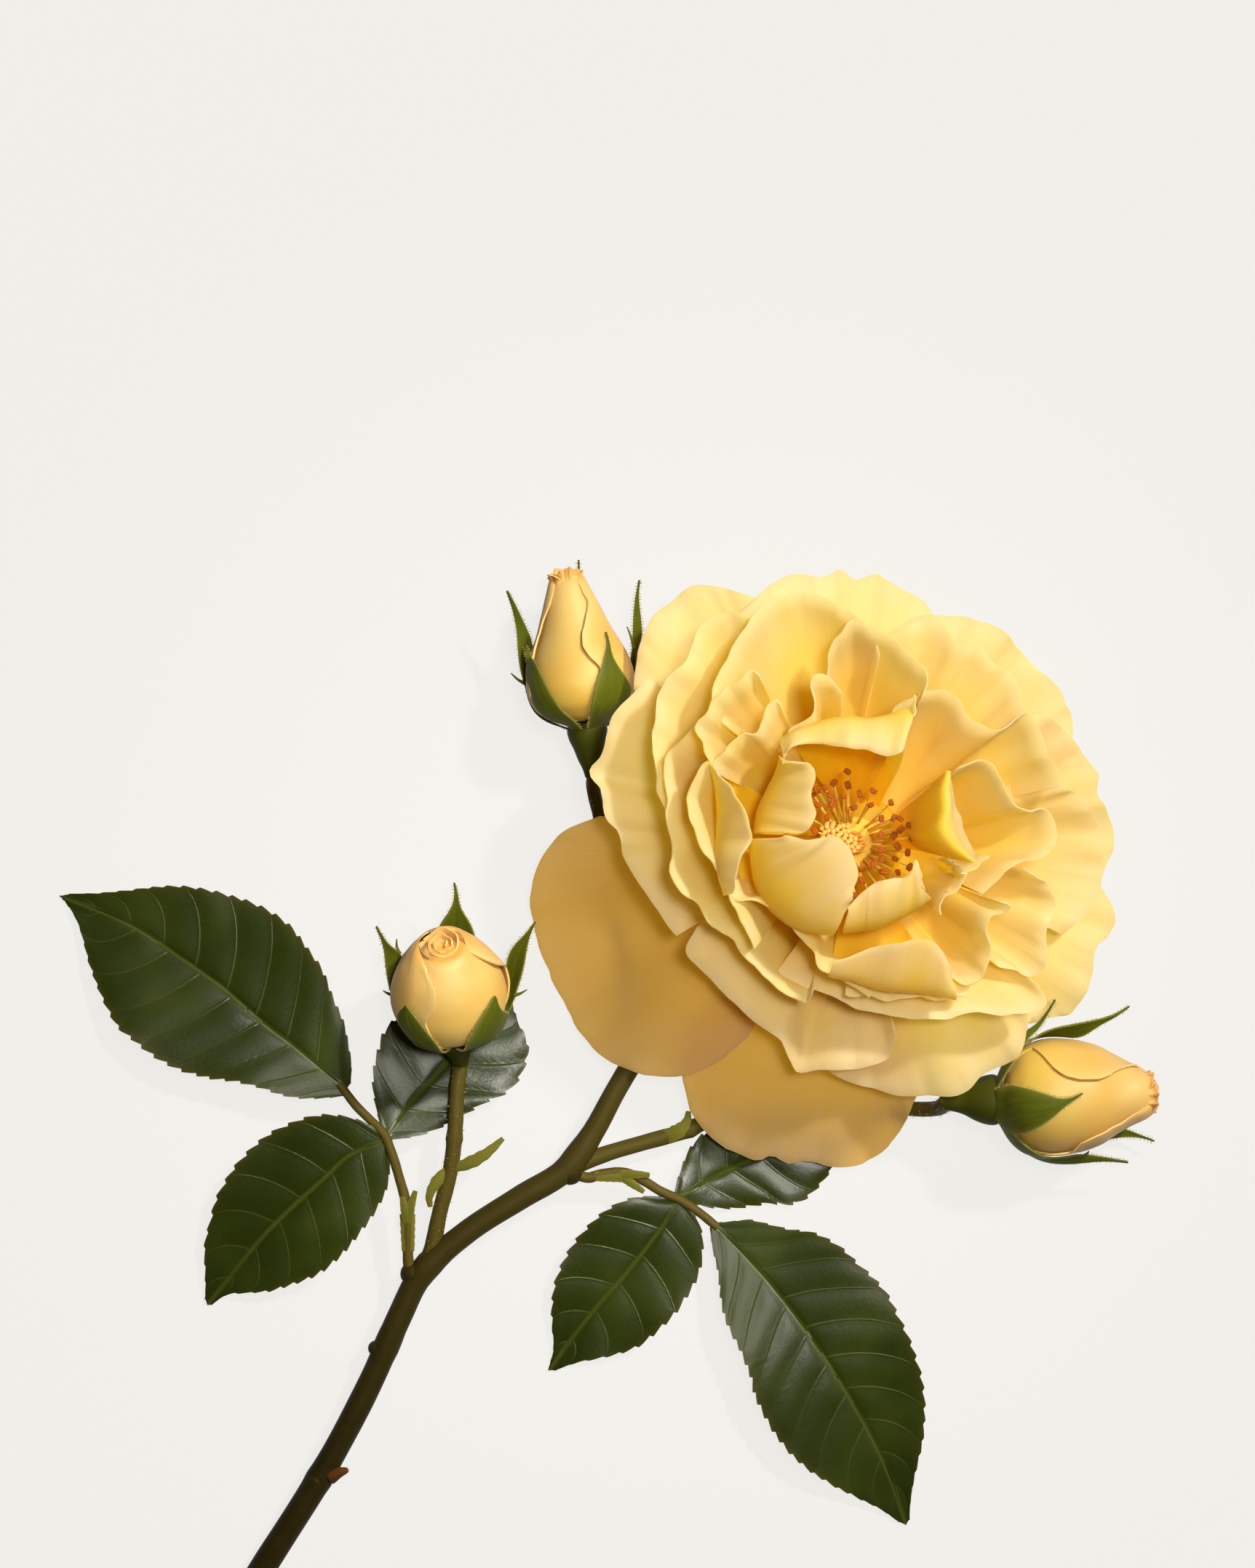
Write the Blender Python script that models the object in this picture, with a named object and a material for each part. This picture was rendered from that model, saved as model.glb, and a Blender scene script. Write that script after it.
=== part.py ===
"""A cut spray of a yellow garden rose, laid down on a table with its open bloom facing up.

The plan is drawn in millimetres on the table, from the middle of the open bloom, with +X right, +Y up the
spray and +Z off the table. Every place in the plan is where a point seems to lie to an eye over the spray, and
seen_at() moves it to where it is at its own height. The last step puts the origin under the spray's middle.
"""

import math
import random

import bmesh
import bpy
import numpy as np

MM = 0.001

# The eye that the plan is drawn from, over the table.
EYE_HEIGHT = 920.0
EYE_X = -41.3
EYE_Y = 9.2

# The middle of the spray's box in the plan, which the origin goes under.
MIDDLE_X = -46.8
MIDDLE_Y = -70.3

# Blades: petals, leaflets and sepals.
PETAL_THICK = 0.72
LEAF_THICK = 0.70
SEPAL_THICK = 0.66
GAP = 0.3

# The open bloom's own parts.
BLOOM_X = -2.6
BLOOM_Y = -1.0
BLOOM_SEAT = 24.8
BLOOM_CORE_TOP = 30.5
BLOOM_CORE_RADIUS = 8.6
PETAL_ROOT_REACH = (5.8, 6.9)
OUTER_ROOT = 25.6
INNER_ROOT = 29.9

STAMENS = 31
STAMEN_DISC_RADIUS = 4.8
STAMEN_DISC_THICK = 1.5
STAMEN_REACH = 8.2
STAMEN_HEIGHT = 41.0
ANTHER_LONG = 0.85
ANTHER_WIDE = 0.62
PISTIL_RADIUS = 2.9
PISTIL_HEIGHT = 3.6
STIGMAS = 16

SEED = 7


def seen_at(x, y, z):
    """The point at height z that lines up with (x, y) of the table, seen from the eye."""
    shrink = (EYE_HEIGHT - z) / EYE_HEIGHT
    return (EYE_X + (x - EYE_X) * shrink, EYE_Y + (y - EYE_Y) * shrink, z)


def plan(points):
    """Points of the plan, as (x, y, height), where they really are."""
    return np.array([seen_at(*p) for p in points])


def smooth(points, count):
    """count points at even steps along a smooth curve through the given ones."""
    pts = np.asarray(points, float)
    steps = np.linalg.norm(np.diff(pts, axis=0), axis=1)
    at = np.concatenate([[0.0], np.cumsum(steps)])
    slopes = np.gradient(pts, at, axis=0)
    t = np.linspace(0.0, at[-1], count)
    i = np.clip(np.searchsorted(at, t, side="right") - 1, 0, len(pts) - 2)
    h = (at[i + 1] - at[i])[:, None]
    s = (t - at[i])[:, None] / h
    ends = (1 + 2 * s) * (1 - s) ** 2 * pts[i] + s * s * (3 - 2 * s) * pts[i + 1]
    bends = s * (1 - s) ** 2 * h * slopes[i] + s * s * (s - 1) * h * slopes[i + 1]
    return ends + bends


def unit(v):
    return v / np.maximum(np.linalg.norm(v, axis=-1, keepdims=True), 1e-9)


def sheet_normals(grid):
    """The normal at each point of a grid of rows and columns."""
    return unit(np.cross(np.gradient(grid, axis=0), np.gradient(grid, axis=1)))


def blade(grid, thick):
    """A closed blade on a grid of points: (vertices, triangles), split alike on both faces."""
    rows, cols = grid.shape[:2]
    half = sheet_normals(grid) * thick / 2
    verts = np.concatenate([(grid + half).reshape(-1, 3), (grid - half).reshape(-1, 3)])
    under = rows * cols
    faces = []
    for i in range(rows - 1):
        for j in range(cols - 1):
            a = i * cols + j
            b, c, d = a + 1, a + cols + 1, a + cols
            for p, q, r in ((a, d, c), (a, c, b)):
                faces.append((p, q, r))
                faces.append((p + under, r + under, q + under))
    edge = [j for j in range(cols)]
    edge += [i * cols + cols - 1 for i in range(1, rows)]
    edge += [(rows - 1) * cols + j for j in range(cols - 2, -1, -1)]
    edge += [i * cols for i in range(rows - 2, 0, -1)]
    for p, q in zip(edge, edge[1:] + edge[:1]):
        faces.append((p, q, q + under))
        faces.append((p, q + under, p + under))
    return verts, faces


def tube(path, radii, sides, turn=0.0):
    """A closed round tube along a path: (vertices, faces). turn sets where its first side lies."""
    path = np.asarray(path, float)
    radii = np.broadcast_to(radii, len(path))
    along = unit(np.gradient(path, axis=0))
    across = np.cross(along[0], (0.0, 0.0, 1.0))
    if np.linalg.norm(across) < 0.1:
        across = np.array((1.0, 0.0, 0.0))
    verts = []
    for p, t, r in zip(path, along, radii):
        across = unit(across - t * np.dot(across, t))
        up = np.cross(across, t)
        for k in range(sides):
            a = 2 * math.pi * k / sides + turn
            verts.append(p + r * (math.cos(a) * across + math.sin(a) * up))
    faces = []
    for i in range(len(path) - 1):
        for k in range(sides):
            a, b = i * sides + k, i * sides + (k + 1) % sides
            faces.append((a, b, b + sides, a + sides))
    last = (len(path) - 1) * sides
    faces.append(tuple(reversed(range(sides))))
    faces.append(tuple(last + k for k in range(sides)))
    return np.array(verts), faces


def turned(profile, sides, foot, axis, side=None):
    """A turned solid: profile is (radius, height) from the bottom middle to the top, along axis from foot."""
    axis = unit(np.asarray(axis, float))
    side = np.asarray(side if side is not None else (0.0, 0.0, 1.0), float)
    side = side - axis * np.dot(side, axis)
    if np.linalg.norm(side) < 0.1:
        side = np.array((1.0, 0.0, 0.0))
    side = unit(side)
    third = np.cross(axis, side)
    foot = np.asarray(foot, float)
    verts = [foot + axis * profile[0][1]]
    for r, h in profile[1:-1]:
        for k in range(sides):
            a = 2 * math.pi * k / sides
            verts.append(foot + axis * h + r * (math.cos(a) * side + math.sin(a) * third))
    verts.append(foot + axis * profile[-1][1])
    rings = len(profile) - 2
    faces = []
    for k in range(sides):
        n = (k + 1) % sides
        faces.append((0, 1 + n, 1 + k))
        for i in range(rings - 1):
            a = 1 + i * sides
            faces.append((a + k, a + n, a + sides + n, a + sides + k))
        a = 1 + (rings - 1) * sides
        faces.append((a + k, a + n, len(verts) - 1))
    return np.array(verts), faces


def make_object(name, shape):
    """An object of a shape in millimetres, with its faces pointing out."""
    verts, faces = shape
    mesh = bpy.data.meshes.new(name)
    mesh.from_pydata([tuple(v) for v in np.asarray(verts) * MM], [], [tuple(f) for f in faces])
    bm = bmesh.new()
    bm.from_mesh(mesh)
    bmesh.ops.recalc_face_normals(bm, faces=bm.faces)
    if bm.calc_volume(signed=True) < 0:
        bmesh.ops.reverse_faces(bm, faces=bm.faces)
    bm.to_mesh(mesh)
    bm.free()
    obj = bpy.data.objects.new(name, mesh)
    bpy.context.scene.collection.objects.link(obj)
    return obj


def face_groups(bm):
    """The groups of faces that hang together."""
    left = set(bm.faces)
    groups = []
    while left:
        group = []
        stack = [left.pop()]
        while stack:
            face = stack.pop()
            group.append(face)
            for edge in face.edges:
                for other in edge.link_faces:
                    if other in left:
                        left.remove(other)
                        stack.append(other)
        groups.append(group)
    return groups


def group_volume(group):
    total = 0.0
    for face in group:
        first = face.verts[0].co
        for b, c in zip(face.verts[1:-1], face.verts[2:]):
            total += first.dot(b.co.cross(c.co))
    return total / 6


def keep_outer_skin(obj):
    """Fills the hollows that fusing sealed and drops loose scraps: only the largest skin stays."""
    bm = bmesh.new()
    bm.from_mesh(obj.data)
    bmesh.ops.triangulate(bm, faces=bm.faces)
    groups = sorted(face_groups(bm), key=group_volume)
    scrap = [face for group in groups[:-1] for face in group]
    bmesh.ops.delete(bm, geom=scrap, context="FACES")
    bmesh.ops.delete(bm, geom=[v for v in bm.verts if not v.link_faces], context="VERTS")
    bm.to_mesh(obj.data)
    bm.free()


def apply_boolean(obj, operation, solver, **operand):
    cut = obj.modifiers.new(operation.title(), "BOOLEAN")
    cut.operation = operation
    cut.solver = solver
    for key, value in operand.items():
        setattr(cut, key, value)
    graph = bpy.context.evaluated_depsgraph_get()
    mesh = bpy.data.meshes.new_from_object(obj.evaluated_get(graph))
    obj.modifiers.clear()
    old = obj.data
    obj.data = mesh
    bpy.data.meshes.remove(old)


def fuse(name, shapes, solver="EXACT"):
    """One object of many shapes: a Boolean union on a collection, whose objects are then removed."""
    obj = make_object(name, shapes[0])
    parts = bpy.data.collections.new(name + "_parts")
    bpy.context.scene.collection.children.link(parts)
    for k, shape in enumerate(shapes[1:]):
        piece = make_object(f"{name}_{k}", shape)
        bpy.context.scene.collection.objects.unlink(piece)
        parts.objects.link(piece)
    bpy.context.view_layer.update()
    apply_boolean(obj, "UNION", solver, operand_type="COLLECTION", collection=parts)
    for piece in list(parts.objects):
        bpy.data.objects.remove(piece)
    bpy.data.collections.remove(parts)
    keep_outer_skin(obj)
    obj.data.name = name
    return obj


def rest_on_table(obj, solver="EXACT"):
    """Cuts away what would reach below the table, so that it lies on it with a small flat."""
    table = make_object("table", block((-400.0, -400.0, -20.0), (400.0, 400.0, 0.0)))
    bpy.context.view_layer.update()
    apply_boolean(obj, "DIFFERENCE", solver, object=table)
    bpy.data.objects.remove(table)
    keep_outer_skin(obj)


def block(low, high):
    corners = [(x, y, z) for x in (low[0], high[0]) for y in (low[1], high[1]) for z in (low[2], high[2])]
    faces = [(0, 1, 3, 2), (4, 6, 7, 5), (0, 4, 5, 1), (2, 3, 7, 6), (0, 2, 6, 4), (1, 5, 7, 3)]
    return np.array(corners), faces


def finish(obj, colour, roughness):
    """A plain material of the object's own, and round surfaces shaded smooth."""
    material = bpy.data.materials.new(obj.name)
    material.use_nodes = True
    shader = material.node_tree.nodes["Principled BSDF"]
    shader.inputs["Base Color"].default_value = (*colour, 1.0)
    shader.inputs["Roughness"].default_value = roughness
    shader.inputs["Metallic"].default_value = 0.0
    obj.data.materials.clear()
    obj.data.materials.append(material)
    obj.data.shade_smooth()
    obj.data.set_sharp_from_angle(angle=math.radians(50))


# Petals of the open bloom, outermost first: name, height of the root, how far the middle of the blade hangs
# below or stands above a straight line (or the line that the blade bulges out to), steps round the rim, and
# the rim from one side edge to the other, as (x, y, height) in the plan.
PETALS = [
    ("outer_left", 25.6, 3.0, 7, [
        (-46, 3.5, 15), (-53.1, 0.4, 11), (-57.2, -5.5, 7), (-58.3, -10.3, 4.5), (-57.5, -17, 2),
        (-54.8, -24.5, 0.5), (-52.5, -29, 1), (-49.5, -34.5, 4), (-43.7, -40, 8.5), (-35, -42.5, 11),
        (-28, -41, 13.5), (-20, -35, 17)]),
    ("outer_bottom", 25.7, 3.0, 7, [
        (-30, -33, 12), (-31.5, -42.3, 8.5), (-29.8, -49, 6.3), (-23.3, -55, 4.6), (-18.2, -57.2, 4.0),
        (-15.8, -56.4, 4.6), (-13, -57.8, 3.6), (-10.5, -57, 3.4), (-5.8, -58.1, 2.2), (0, -57.2, 0.5),
        (4.1, -54.7, 0.6), (7.4, -50.7, 5.5), (9.2, -46.5, 10), (11, -42, 13)]),
    ("outer_low_right", 26.0, 1.5, 6, [
        (-9, -39, 19.5), (-5, -41.8, 18.5), (1, -44.3, 17), (6.7, -45.7, 16.5), (11.8, -45.5, 17),
        (18.4, -44.8, 18), (20.8, -42.4, 18.5), (27.3, -38.8, 19), (28.9, -34.5, 19.5), (29, -31, 21),
        (27, -25, 22.5)]),
    ("outer_upper_left", 25.6, 1.0, 5, [
        (-37, 20, 22), (-40, 25.5, 22), (-39.6, 31, 21), (-38.4, 35.4, 20), (-36.3, 39.3, 19),
        (-34.2, 40.8, 18.5), (-29.7, 44.1, 18), (-26, 44, 19), (-22, 43, 20), (-18, 41.5, 22), (-13, 37, 23)]),
    ("outer_top", 25.6, 2.0, 6, [
        (-21.4, 39.3, 26.5), (-19.5, 41, 26), (-17, 43.6, 24), (-12, 46.1, 20), (-6.5, 45.6, 17),
        (-4, 46.8, 15), (-1.2, 45.4, 14.5), (2.4, 46, 12), (7.6, 43.1, 10), (11.9, 40, 9), (13, 36, 12)]),
    ("outer_top_right", 25.7, 3.0, 6, [
        (5, 36, 18), (9, 38.6, 14), (16, 38.6, 9.5), (20, 38.1, 7), (24.5, 36.2, 4.5), (28.3, 32, 0.6),
        (31.7, 29.2, 0.6), (34.5, 26.2, 2), (36.2, 22.5, 4.5), (36.8, 18, 8), (35, 12, 12)]),
    ("outer_right", 25.8, 3.0, 6, [
        (28, 21, 20), (31, 21.3, 18), (34.5, 19.6, 14), (37.5, 16.5, 11), (40, 13, 8), (41.7, 10.5, 6.5),
        (41.3, 8.2, 6.5), (43, 4.5, 3.5), (44, 1, 0.6), (43.6, -2.5, 0.6), (42.5, -6.2, 3), (40, -11, 7),
        (37, -14, 10)]),
    ("outer_low_edge", 25.9, 1.5, 6, [
        (40, -3, 15), (42, -8.5, 14), (44, -12.5, 13), (44.4, -15, 12.5), (43.3, -17.5, 13),
        (41.2, -19.2, 14), (40.4, -24.8, 13.6), (38.2, -29.4, 12.6), (36.8, -31.3, 12), (33, -31.9, 12.5),
        (29, -33, 14), (24, -31, 17)]),
    ("left_first", 26.3, -3.0, 7, [
        (-37.5, 28, 31), (-40.8, 24.6, 31), (-43.7, 22, 30.5), (-45, 18.5, 30), (-45.9, 14, 29.5),
        (-47.7, 11.4, 29), (-45.9, 8, 29.5), (-45.1, 3.2, 30), (-43.1, 0.5, 30.5), (-42.2, -3, 30),
        (-40, -7.2, 29), (-36, -13, 28), (-32.5, -17.5, 27.5)]),
    ("bottom_cup", 27.0, -2.0, 7, [
        (-29, -16, 29), (-31, -20, 29), (-26.2, -25.5, 28.5), (-21.9, -30, 28), (-18, -33.5, 27),
        (-14.6, -35.8, 26.5), (-12.6, -39.5, 24), (-11.3, -41.5, 23), (-8, -41.1, 23.5), (-4, -41.2, 24),
        (0, -40.8, 24.5), (4.6, -39, 25), (5.9, -35.5, 27)]),
    ("right_second", 26.8, 0.0, 5, [
        (33, 12, 29), (35.2, 9, 28), (38, 7.4, 25), (40, 4.5, 22.5), (41.6, 1.5, 20.5), (42.3, -2, 19.5),
        (42.3, -6, 19), (42, -8.5, 19), (40.8, -12, 20), (38.5, -14.6, 21.5), (35, -17, 23)]),
    ("upper_right_back", 26.6, -2.0, 6, [
        (4, 35, 30), (8, 37.2, 30), (12.5, 37.9, 30), (15.5, 35.8, 31), (17, 33.7, 32), (18.8, 33.2, 32.5),
        (20.4, 33.8, 32), (23.3, 30.5, 31.5), (25.3, 29.4, 31), (27.2, 27, 31), (28.2, 24, 32),
        (29, 21.8, 33)]),
    ("low_band", 27.2, -3.0, 6, [
        (-15, -23.8, 34), (-12, -25.8, 33.5), (-6, -28.2, 33), (-2, -29.8, 33), (1.5, -30.8, 33),
        (7, -31.8, 33), (14.5, -32.4, 32.5), (19.5, -31, 32), (24.5, -31.6, 31), (28.5, -31.2, 30),
        (32.4, -29.6, 29), (31, -26, 29.5)]),
    ("right_lobe", 27.0, -3.0, 5, [
        (28.6, -5.9, 35), (31.2, -7, 34), (33, -9, 32.5), (33.9, -12, 31.5), (33, -15, 31.5),
        (32.4, -18, 31), (32.8, -20.8, 30.5), (31.8, -23.5, 30), (30.2, -24.4, 30), (27, -23.9, 30.5),
        (24, -23, 31)]),
    ("upper_right", 27.4, -4.0, 6, [
        (10, 25.3, 40), (12.5, 26.2, 40), (15, 25.7, 39.5), (17.3, 23.8, 39), (18.7, 20.8, 39),
        (21, 19.1, 38.5), (23.5, 18.8, 38), (26, 20, 37), (29, 21.9, 36), (31.2, 19, 35),
        (32.3, 15.3, 34.5), (34.4, 11.6, 33), (35.2, 9, 32)]),
    ("left_second", 27.6, -6.0, 7, [
        (-18, 36, 40), (-21, 39.2, 40), (-24, 39.2, 39.5), (-27, 38, 39.5), (-29.3, 35.6, 39.5),
        (-30.4, 33, 39.5), (-31.5, 30.9, 40), (-33.8, 29, 40), (-35.4, 25.5, 40), (-36.6, 19.5, 40),
        (-36.8, 14, 40), (-35.8, 8, 40), (-34, 2, 39)]),
    ("low_strip", 28.0, -4.0, 5, [
        (-3, -28, 36.5), (1.5, -28.5, 36.5), (8, -28.7, 36.5), (14, -28.5, 36), (18.6, -27.6, 36),
        (19, -25.5, 36)]),
    ("top_large", 28.2, -5.0, 7, [
        (-24.5, 20, 45), (-26.2, 24.3, 45), (-24.6, 30.2, 45), (-23, 33, 44.5), (-21.3, 36.5, 44),
        (-19.2, 39.2, 43), (-15, 41.6, 41.5), (-10.5, 43.1, 40), (-5.5, 41.9, 39.5), (-1, 39, 40),
        (1.5, 36, 41), (3, 32, 41)]),
    ("left_third", 28.4, -7.0, 9, [
        (-29, 20, 43.5), (-31.8, 17.3, 43), (-34.5, 13, 42.5), (-34.7, 10.8, 42), (-34.2, 6.5, 42),
        (-34.7, 2.3, 42), (-33.3, -1.3, 41.5), (-34, -7, 41), (-32.3, -9.4, 40.5), (-28.5, -12.5, 39.5),
        (-27, -15.3, 39), (-22.8, -18.2, 38), (-19.5, -22, 37), (-16, -26, 36), (-12.5, -28.6, 35.5),
        (-10, -29.5, 35), (-8.6, -27.5, 36)]),
    ("low_tongue", 28.4, -6.0, 6, [
        (24.6, -11.4, 42), (26.3, -12.2, 42), (25.3, -13.3, 41.5), (23.2, -13.8, 41), (22, -15.8, 40.5),
        (22.8, -20.5, 39.5), (21.9, -23.4, 39), (20.3, -25.3, 38.5), (18.4, -26.3, 38), (15.8, -25.2, 38)]),
    ("top_inner", 28.5, -6.0, 7, [
        (-6.5, 28, 42), (-5.3, 32.2, 43), (-4.3, 35, 43.5), (-3.1, 37.3, 44), (-1.5, 38.4, 44),
        (0.5, 37.8, 43.5), (5, 35, 42.5), (8.5, 32.3, 42), (10.2, 30.2, 42), (11.6, 28.6, 42),
        (11.8, 27, 42), (11, 24.5, 42)]),
    ("right_large", 28.6, -5.0, 7, [
        (17, 11.6, 42.5), (20.5, 13.1, 42), (23, 12.8, 41.5), (24.6, 11, 41), (25.3, 8, 40.5),
        (26.7, 5.5, 39.5), (29.5, 4.8, 38), (33, 4, 36), (34, 2.2, 35.5), (34, -0.8, 35.5),
        (32.2, -3.2, 36), (30, -4.9, 36.5)]),
    ("boat", 28.6, -6.0, 6, [
        (-24, -8, 44), (-22, -10.8, 44), (-19, -11.1, 43.5), (-16.5, -12.5, 43), (-13, -15.2, 42.5),
        (-10, -18.2, 42), (-8.3, -20.6, 41.5), (-7, -23.5, 41), (-4, -25.2, 40), (-1, -26.8, 39),
        (1.3, -28.5, 38)]),
    ("upper_cream", 28.8, -8.0, 6, [
        (-26.8, 12.5, 47), (-27.8, 15.5, 47.5), (-28.8, 20.3, 48), (-27.3, 22.5, 48), (-25.2, 25.2, 48),
        (-22.8, 26.5, 48), (-21.2, 28.1, 48), (-19.6, 29.2, 48), (-18.1, 28.7, 48)]),
    ("low_cup", 28.8, [
        (-6, -24, 38), (0, -26, 37), (6, -26.8, 36.5), (11, -26.6, 36.5), (15, -26.6, 37)], 5, [
        (-4.8, -22, 44), (-2, -21.1, 44.5), (2.3, -19.6, 45), (6, -18.7, 45.5), (10, -18.2, 45.5),
        (12.9, -19, 45), (14.5, -21, 44), (15.3, -23.6, 42.5), (15.8, -25.3, 41)]),
    ("left_fourth", 28.9, -8.0, 6, [
        (-27.5, 13, 48), (-29.5, 10.6, 47.5), (-30.4, 8.5, 47), (-30.2, 3, 47), (-28.9, -0.5, 46.5),
        (-27.2, -3.5, 46), (-25.3, -7, 45), (-23.6, -10, 44.5), (-21.5, -14, 43.5), (-19, -19.8, 41.5)]),
    ("low_fold", 29.0, -5.0, 5, [
        (13.6, -13.8, 40), (14.2, -11.4, 41), (16.4, -9.6, 41.5), (18.2, -7.2, 42), (20.5, -5, 42),
        (22.6, -3.4, 42)]),
    ("left_tongue", 29.2, -6.0, 5, [
        (-26.5, 11.5, 47.5), (-24, 15.8, 47.8), (-21.6, 17.3, 48), (-19.2, 17.9, 48.3), (-18, 20, 48),
        (-16.5, 22.6, 47.5), (-15, 24, 47), (-14.4, 23.4, 47)]),
    ("left_pointed", 29.3, [
        (-25.5, 12, 41), (-25.3, 7, 40.5), (-25.1, 3, 40), (-25, 0, 40), (-24.7, -4, 40), (-23.8, -7, 40),
        (-22.9, -9.5, 40)], 5, [
        (-26.5, 12, 49), (-24.5, 10.3, 50), (-22.5, 7.7, 50.5), (-20.8, 5, 51), (-19.8, 2.4, 51),
        (-19.6, 0.2, 51), (-20.1, -1.7, 50.5), (-21.2, -4, 50), (-22.3, -8, 48.5), (-22.9, -10.2, 47)]),
    ("s_fold", 29.3, -5.0, 6, [
        (-15, 15.3, 46), (-12, 18.8, 47), (-8.9, 21.6, 48), (-8.4, 25, 48.3), (-8.5, 28.7, 47.5),
        (-6.8, 28.4, 46.5), (-4.7, 26.9, 45), (-3.5, 25.2, 44.5)]),
    ("flame", 29.5, -4.0, 3, [
        (15.1, -4.1, 45), (16.6, -4.8, 45.5), (17.9, -6.2, 45.5), (18.1, -7.4, 45)]),
    ("top_flap", 29.5, -3.0, 4, [
        (5.5, 22.5, 47), (7.7, 23.9, 48), (9.4, 25, 48.5), (9.2, 22.5, 48.5), (8.2, 19.5, 48.5),
        (7.9, 17, 48.5)]),
    ("twist", 29.8, [
        (13.2, 9, 48.5), (13.4, 6, 49.6), (13.9, 3, 50), (14.2, 0, 49.8), (15.4, -3.4, 48.8)], 5, [
        (14.4, 11.2, 47.6), (15.8, 9.2, 47.6), (16.3, 5.6, 47.4), (17.2, 2.6, 47.2), (18.4, -1, 46.6),
        (19.3, -4.5, 46.2)]),
    ("hood_low", 29.8, [
        (-3.5, -16.7, 42), (0, -16.7, 42), (3.5, -16, 42), (6.5, -14.6, 42), (9.5, -12.6, 42),
        (11.5, -10.8, 42)], 5, [
        (-2.4, -12.6, 48), (0, -10, 48.5), (2.5, -8.2, 49), (5, -7.4, 49.3), (7.3, -7.4, 49.4),
        (8.7, -6.4, 49.8), (9.5, -4.2, 50), (10.3, -6.6, 49), (11, -9.5, 47.5)]),
    ("hood_top", 29.8, [
        (-13.5, 17, 43.5), (-9.5, 18.4, 43.5), (-6, 19.6, 43.5), (-2.5, 20.4, 43.5), (1, 20.2, 43.5),
        (4, 21, 43.5), (7, 22.5, 43.5), (8.8, 22, 43.5)], 6, [
        (-14, 13.6, 49), (-12.8, 15.2, 49.5), (-10, 16.4, 50), (-7, 16.4, 50), (-4, 15.8, 50),
        (-1.5, 15.4, 50), (0.7, 15.4, 50), (2.6, 14.6, 50), (4.8, 14.2, 50), (6.5, 14.7, 50),
        (7.2, 15.6, 49.5)]),
    ("hood_left", 29.9, [
        (-14, 13.5, 42), (-16.5, 10, 42), (-18, 6.5, 42), (-18.8, 3, 42), (-19.1, 0.5, 42)], 6, [
        (-14, 12.8, 51), (-12, 13.4, 51.5), (-10, 13.2, 51.8), (-8.6, 11.6, 52), (-8.1, 10, 52),
        (-9.1, 7.9, 52), (-8.7, 6, 52), (-8.1, 4, 52), (-8.8, 2, 52), (-10, 0.9, 51.5), (-13, 0.9, 51)]),
    ("hood_low_left", 29.9, [
        (-19.2, -0.5, 42), (-19, -4, 42), (-18, -9, 42), (-15, -13.8, 42), (-10.5, -17, 42),
        (-5.5, -17.6, 42)], 6, [
        (-13.6, -0.4, 51), (-10, -0.5, 51.5), (-6.5, 0, 52), (-4.4, -0.3, 52), (-2.5, -1.8, 52),
        (-1.4, -4, 52), (-0.7, -6.6, 51.5), (-1.4, -9, 51), (-2.2, -12.4, 49.5)]),
]
PETAL_STEPS_OUT = 4
LARGE_PETALS = 2
ROOT_SPREAD = 0.55
LEAST_ROOT_SPREAD = math.radians(16)
RUFFLE = 0.55


def ruffle_of(name, u, v):
    """How far the rim's waves lift the blade: none at the root, most at the rim."""
    draw = random.Random(name)
    lift = np.zeros_like(u)
    for waves in (2, 3, 5):
        lift = lift + math.sqrt(2 / waves) * draw.uniform(0.4, 1) * np.sin(
            2 * math.pi * (waves * u + draw.random()))
    return RUFFLE * lift * v ** 3


def petal_sheet(petal, across, out):
    """The grid of a petal's blade: rows round the rim, columns from the root to the rim."""
    name, root, belly, _, rim = petal
    edge = smooth(plan(rim), across + 1)
    guide = edge if isinstance(belly, float) else smooth(plan(belly), across + 1)
    azimuth = np.unwrap(np.arctan2(guide[:, 1] - BLOOM_Y, guide[:, 0] - BLOOM_X))
    middle = (azimuth[0] + azimuth[-1]) / 2
    half = (azimuth[-1] - azimuth[0]) / 2 * ROOT_SPREAD
    half = math.copysign(max(abs(half), LEAST_ROOT_SPREAD), half)
    at = middle + np.linspace(-half, half, across + 1)
    reach = np.interp(root, (OUTER_ROOT, INNER_ROOT), PETAL_ROOT_REACH)
    foot = np.stack([BLOOM_X + reach * np.cos(at), BLOOM_Y + reach * np.sin(at),
                     np.full(across + 1, root)], axis=1)
    halfway = guide if not isinstance(belly, float) else (foot + edge) / 2 + (0, 0, belly)
    pull = 2 * halfway - (foot + edge) / 2
    v = np.linspace(0, 1, out + 1)[None, :, None]
    sheet = (1 - v) ** 2 * foot[:, None] + 2 * v * (1 - v) * pull[:, None] + v * v * edge[:, None]
    u = np.linspace(0, 1, across + 1)[:, None]
    sheet[:, :, 2] += ruffle_of(name, u, v[:, :, 0])
    sheet[:, :, 2] = np.maximum(sheet[:, :, 2], PETAL_THICK / 2 - 0.06)
    return sheet


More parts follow.
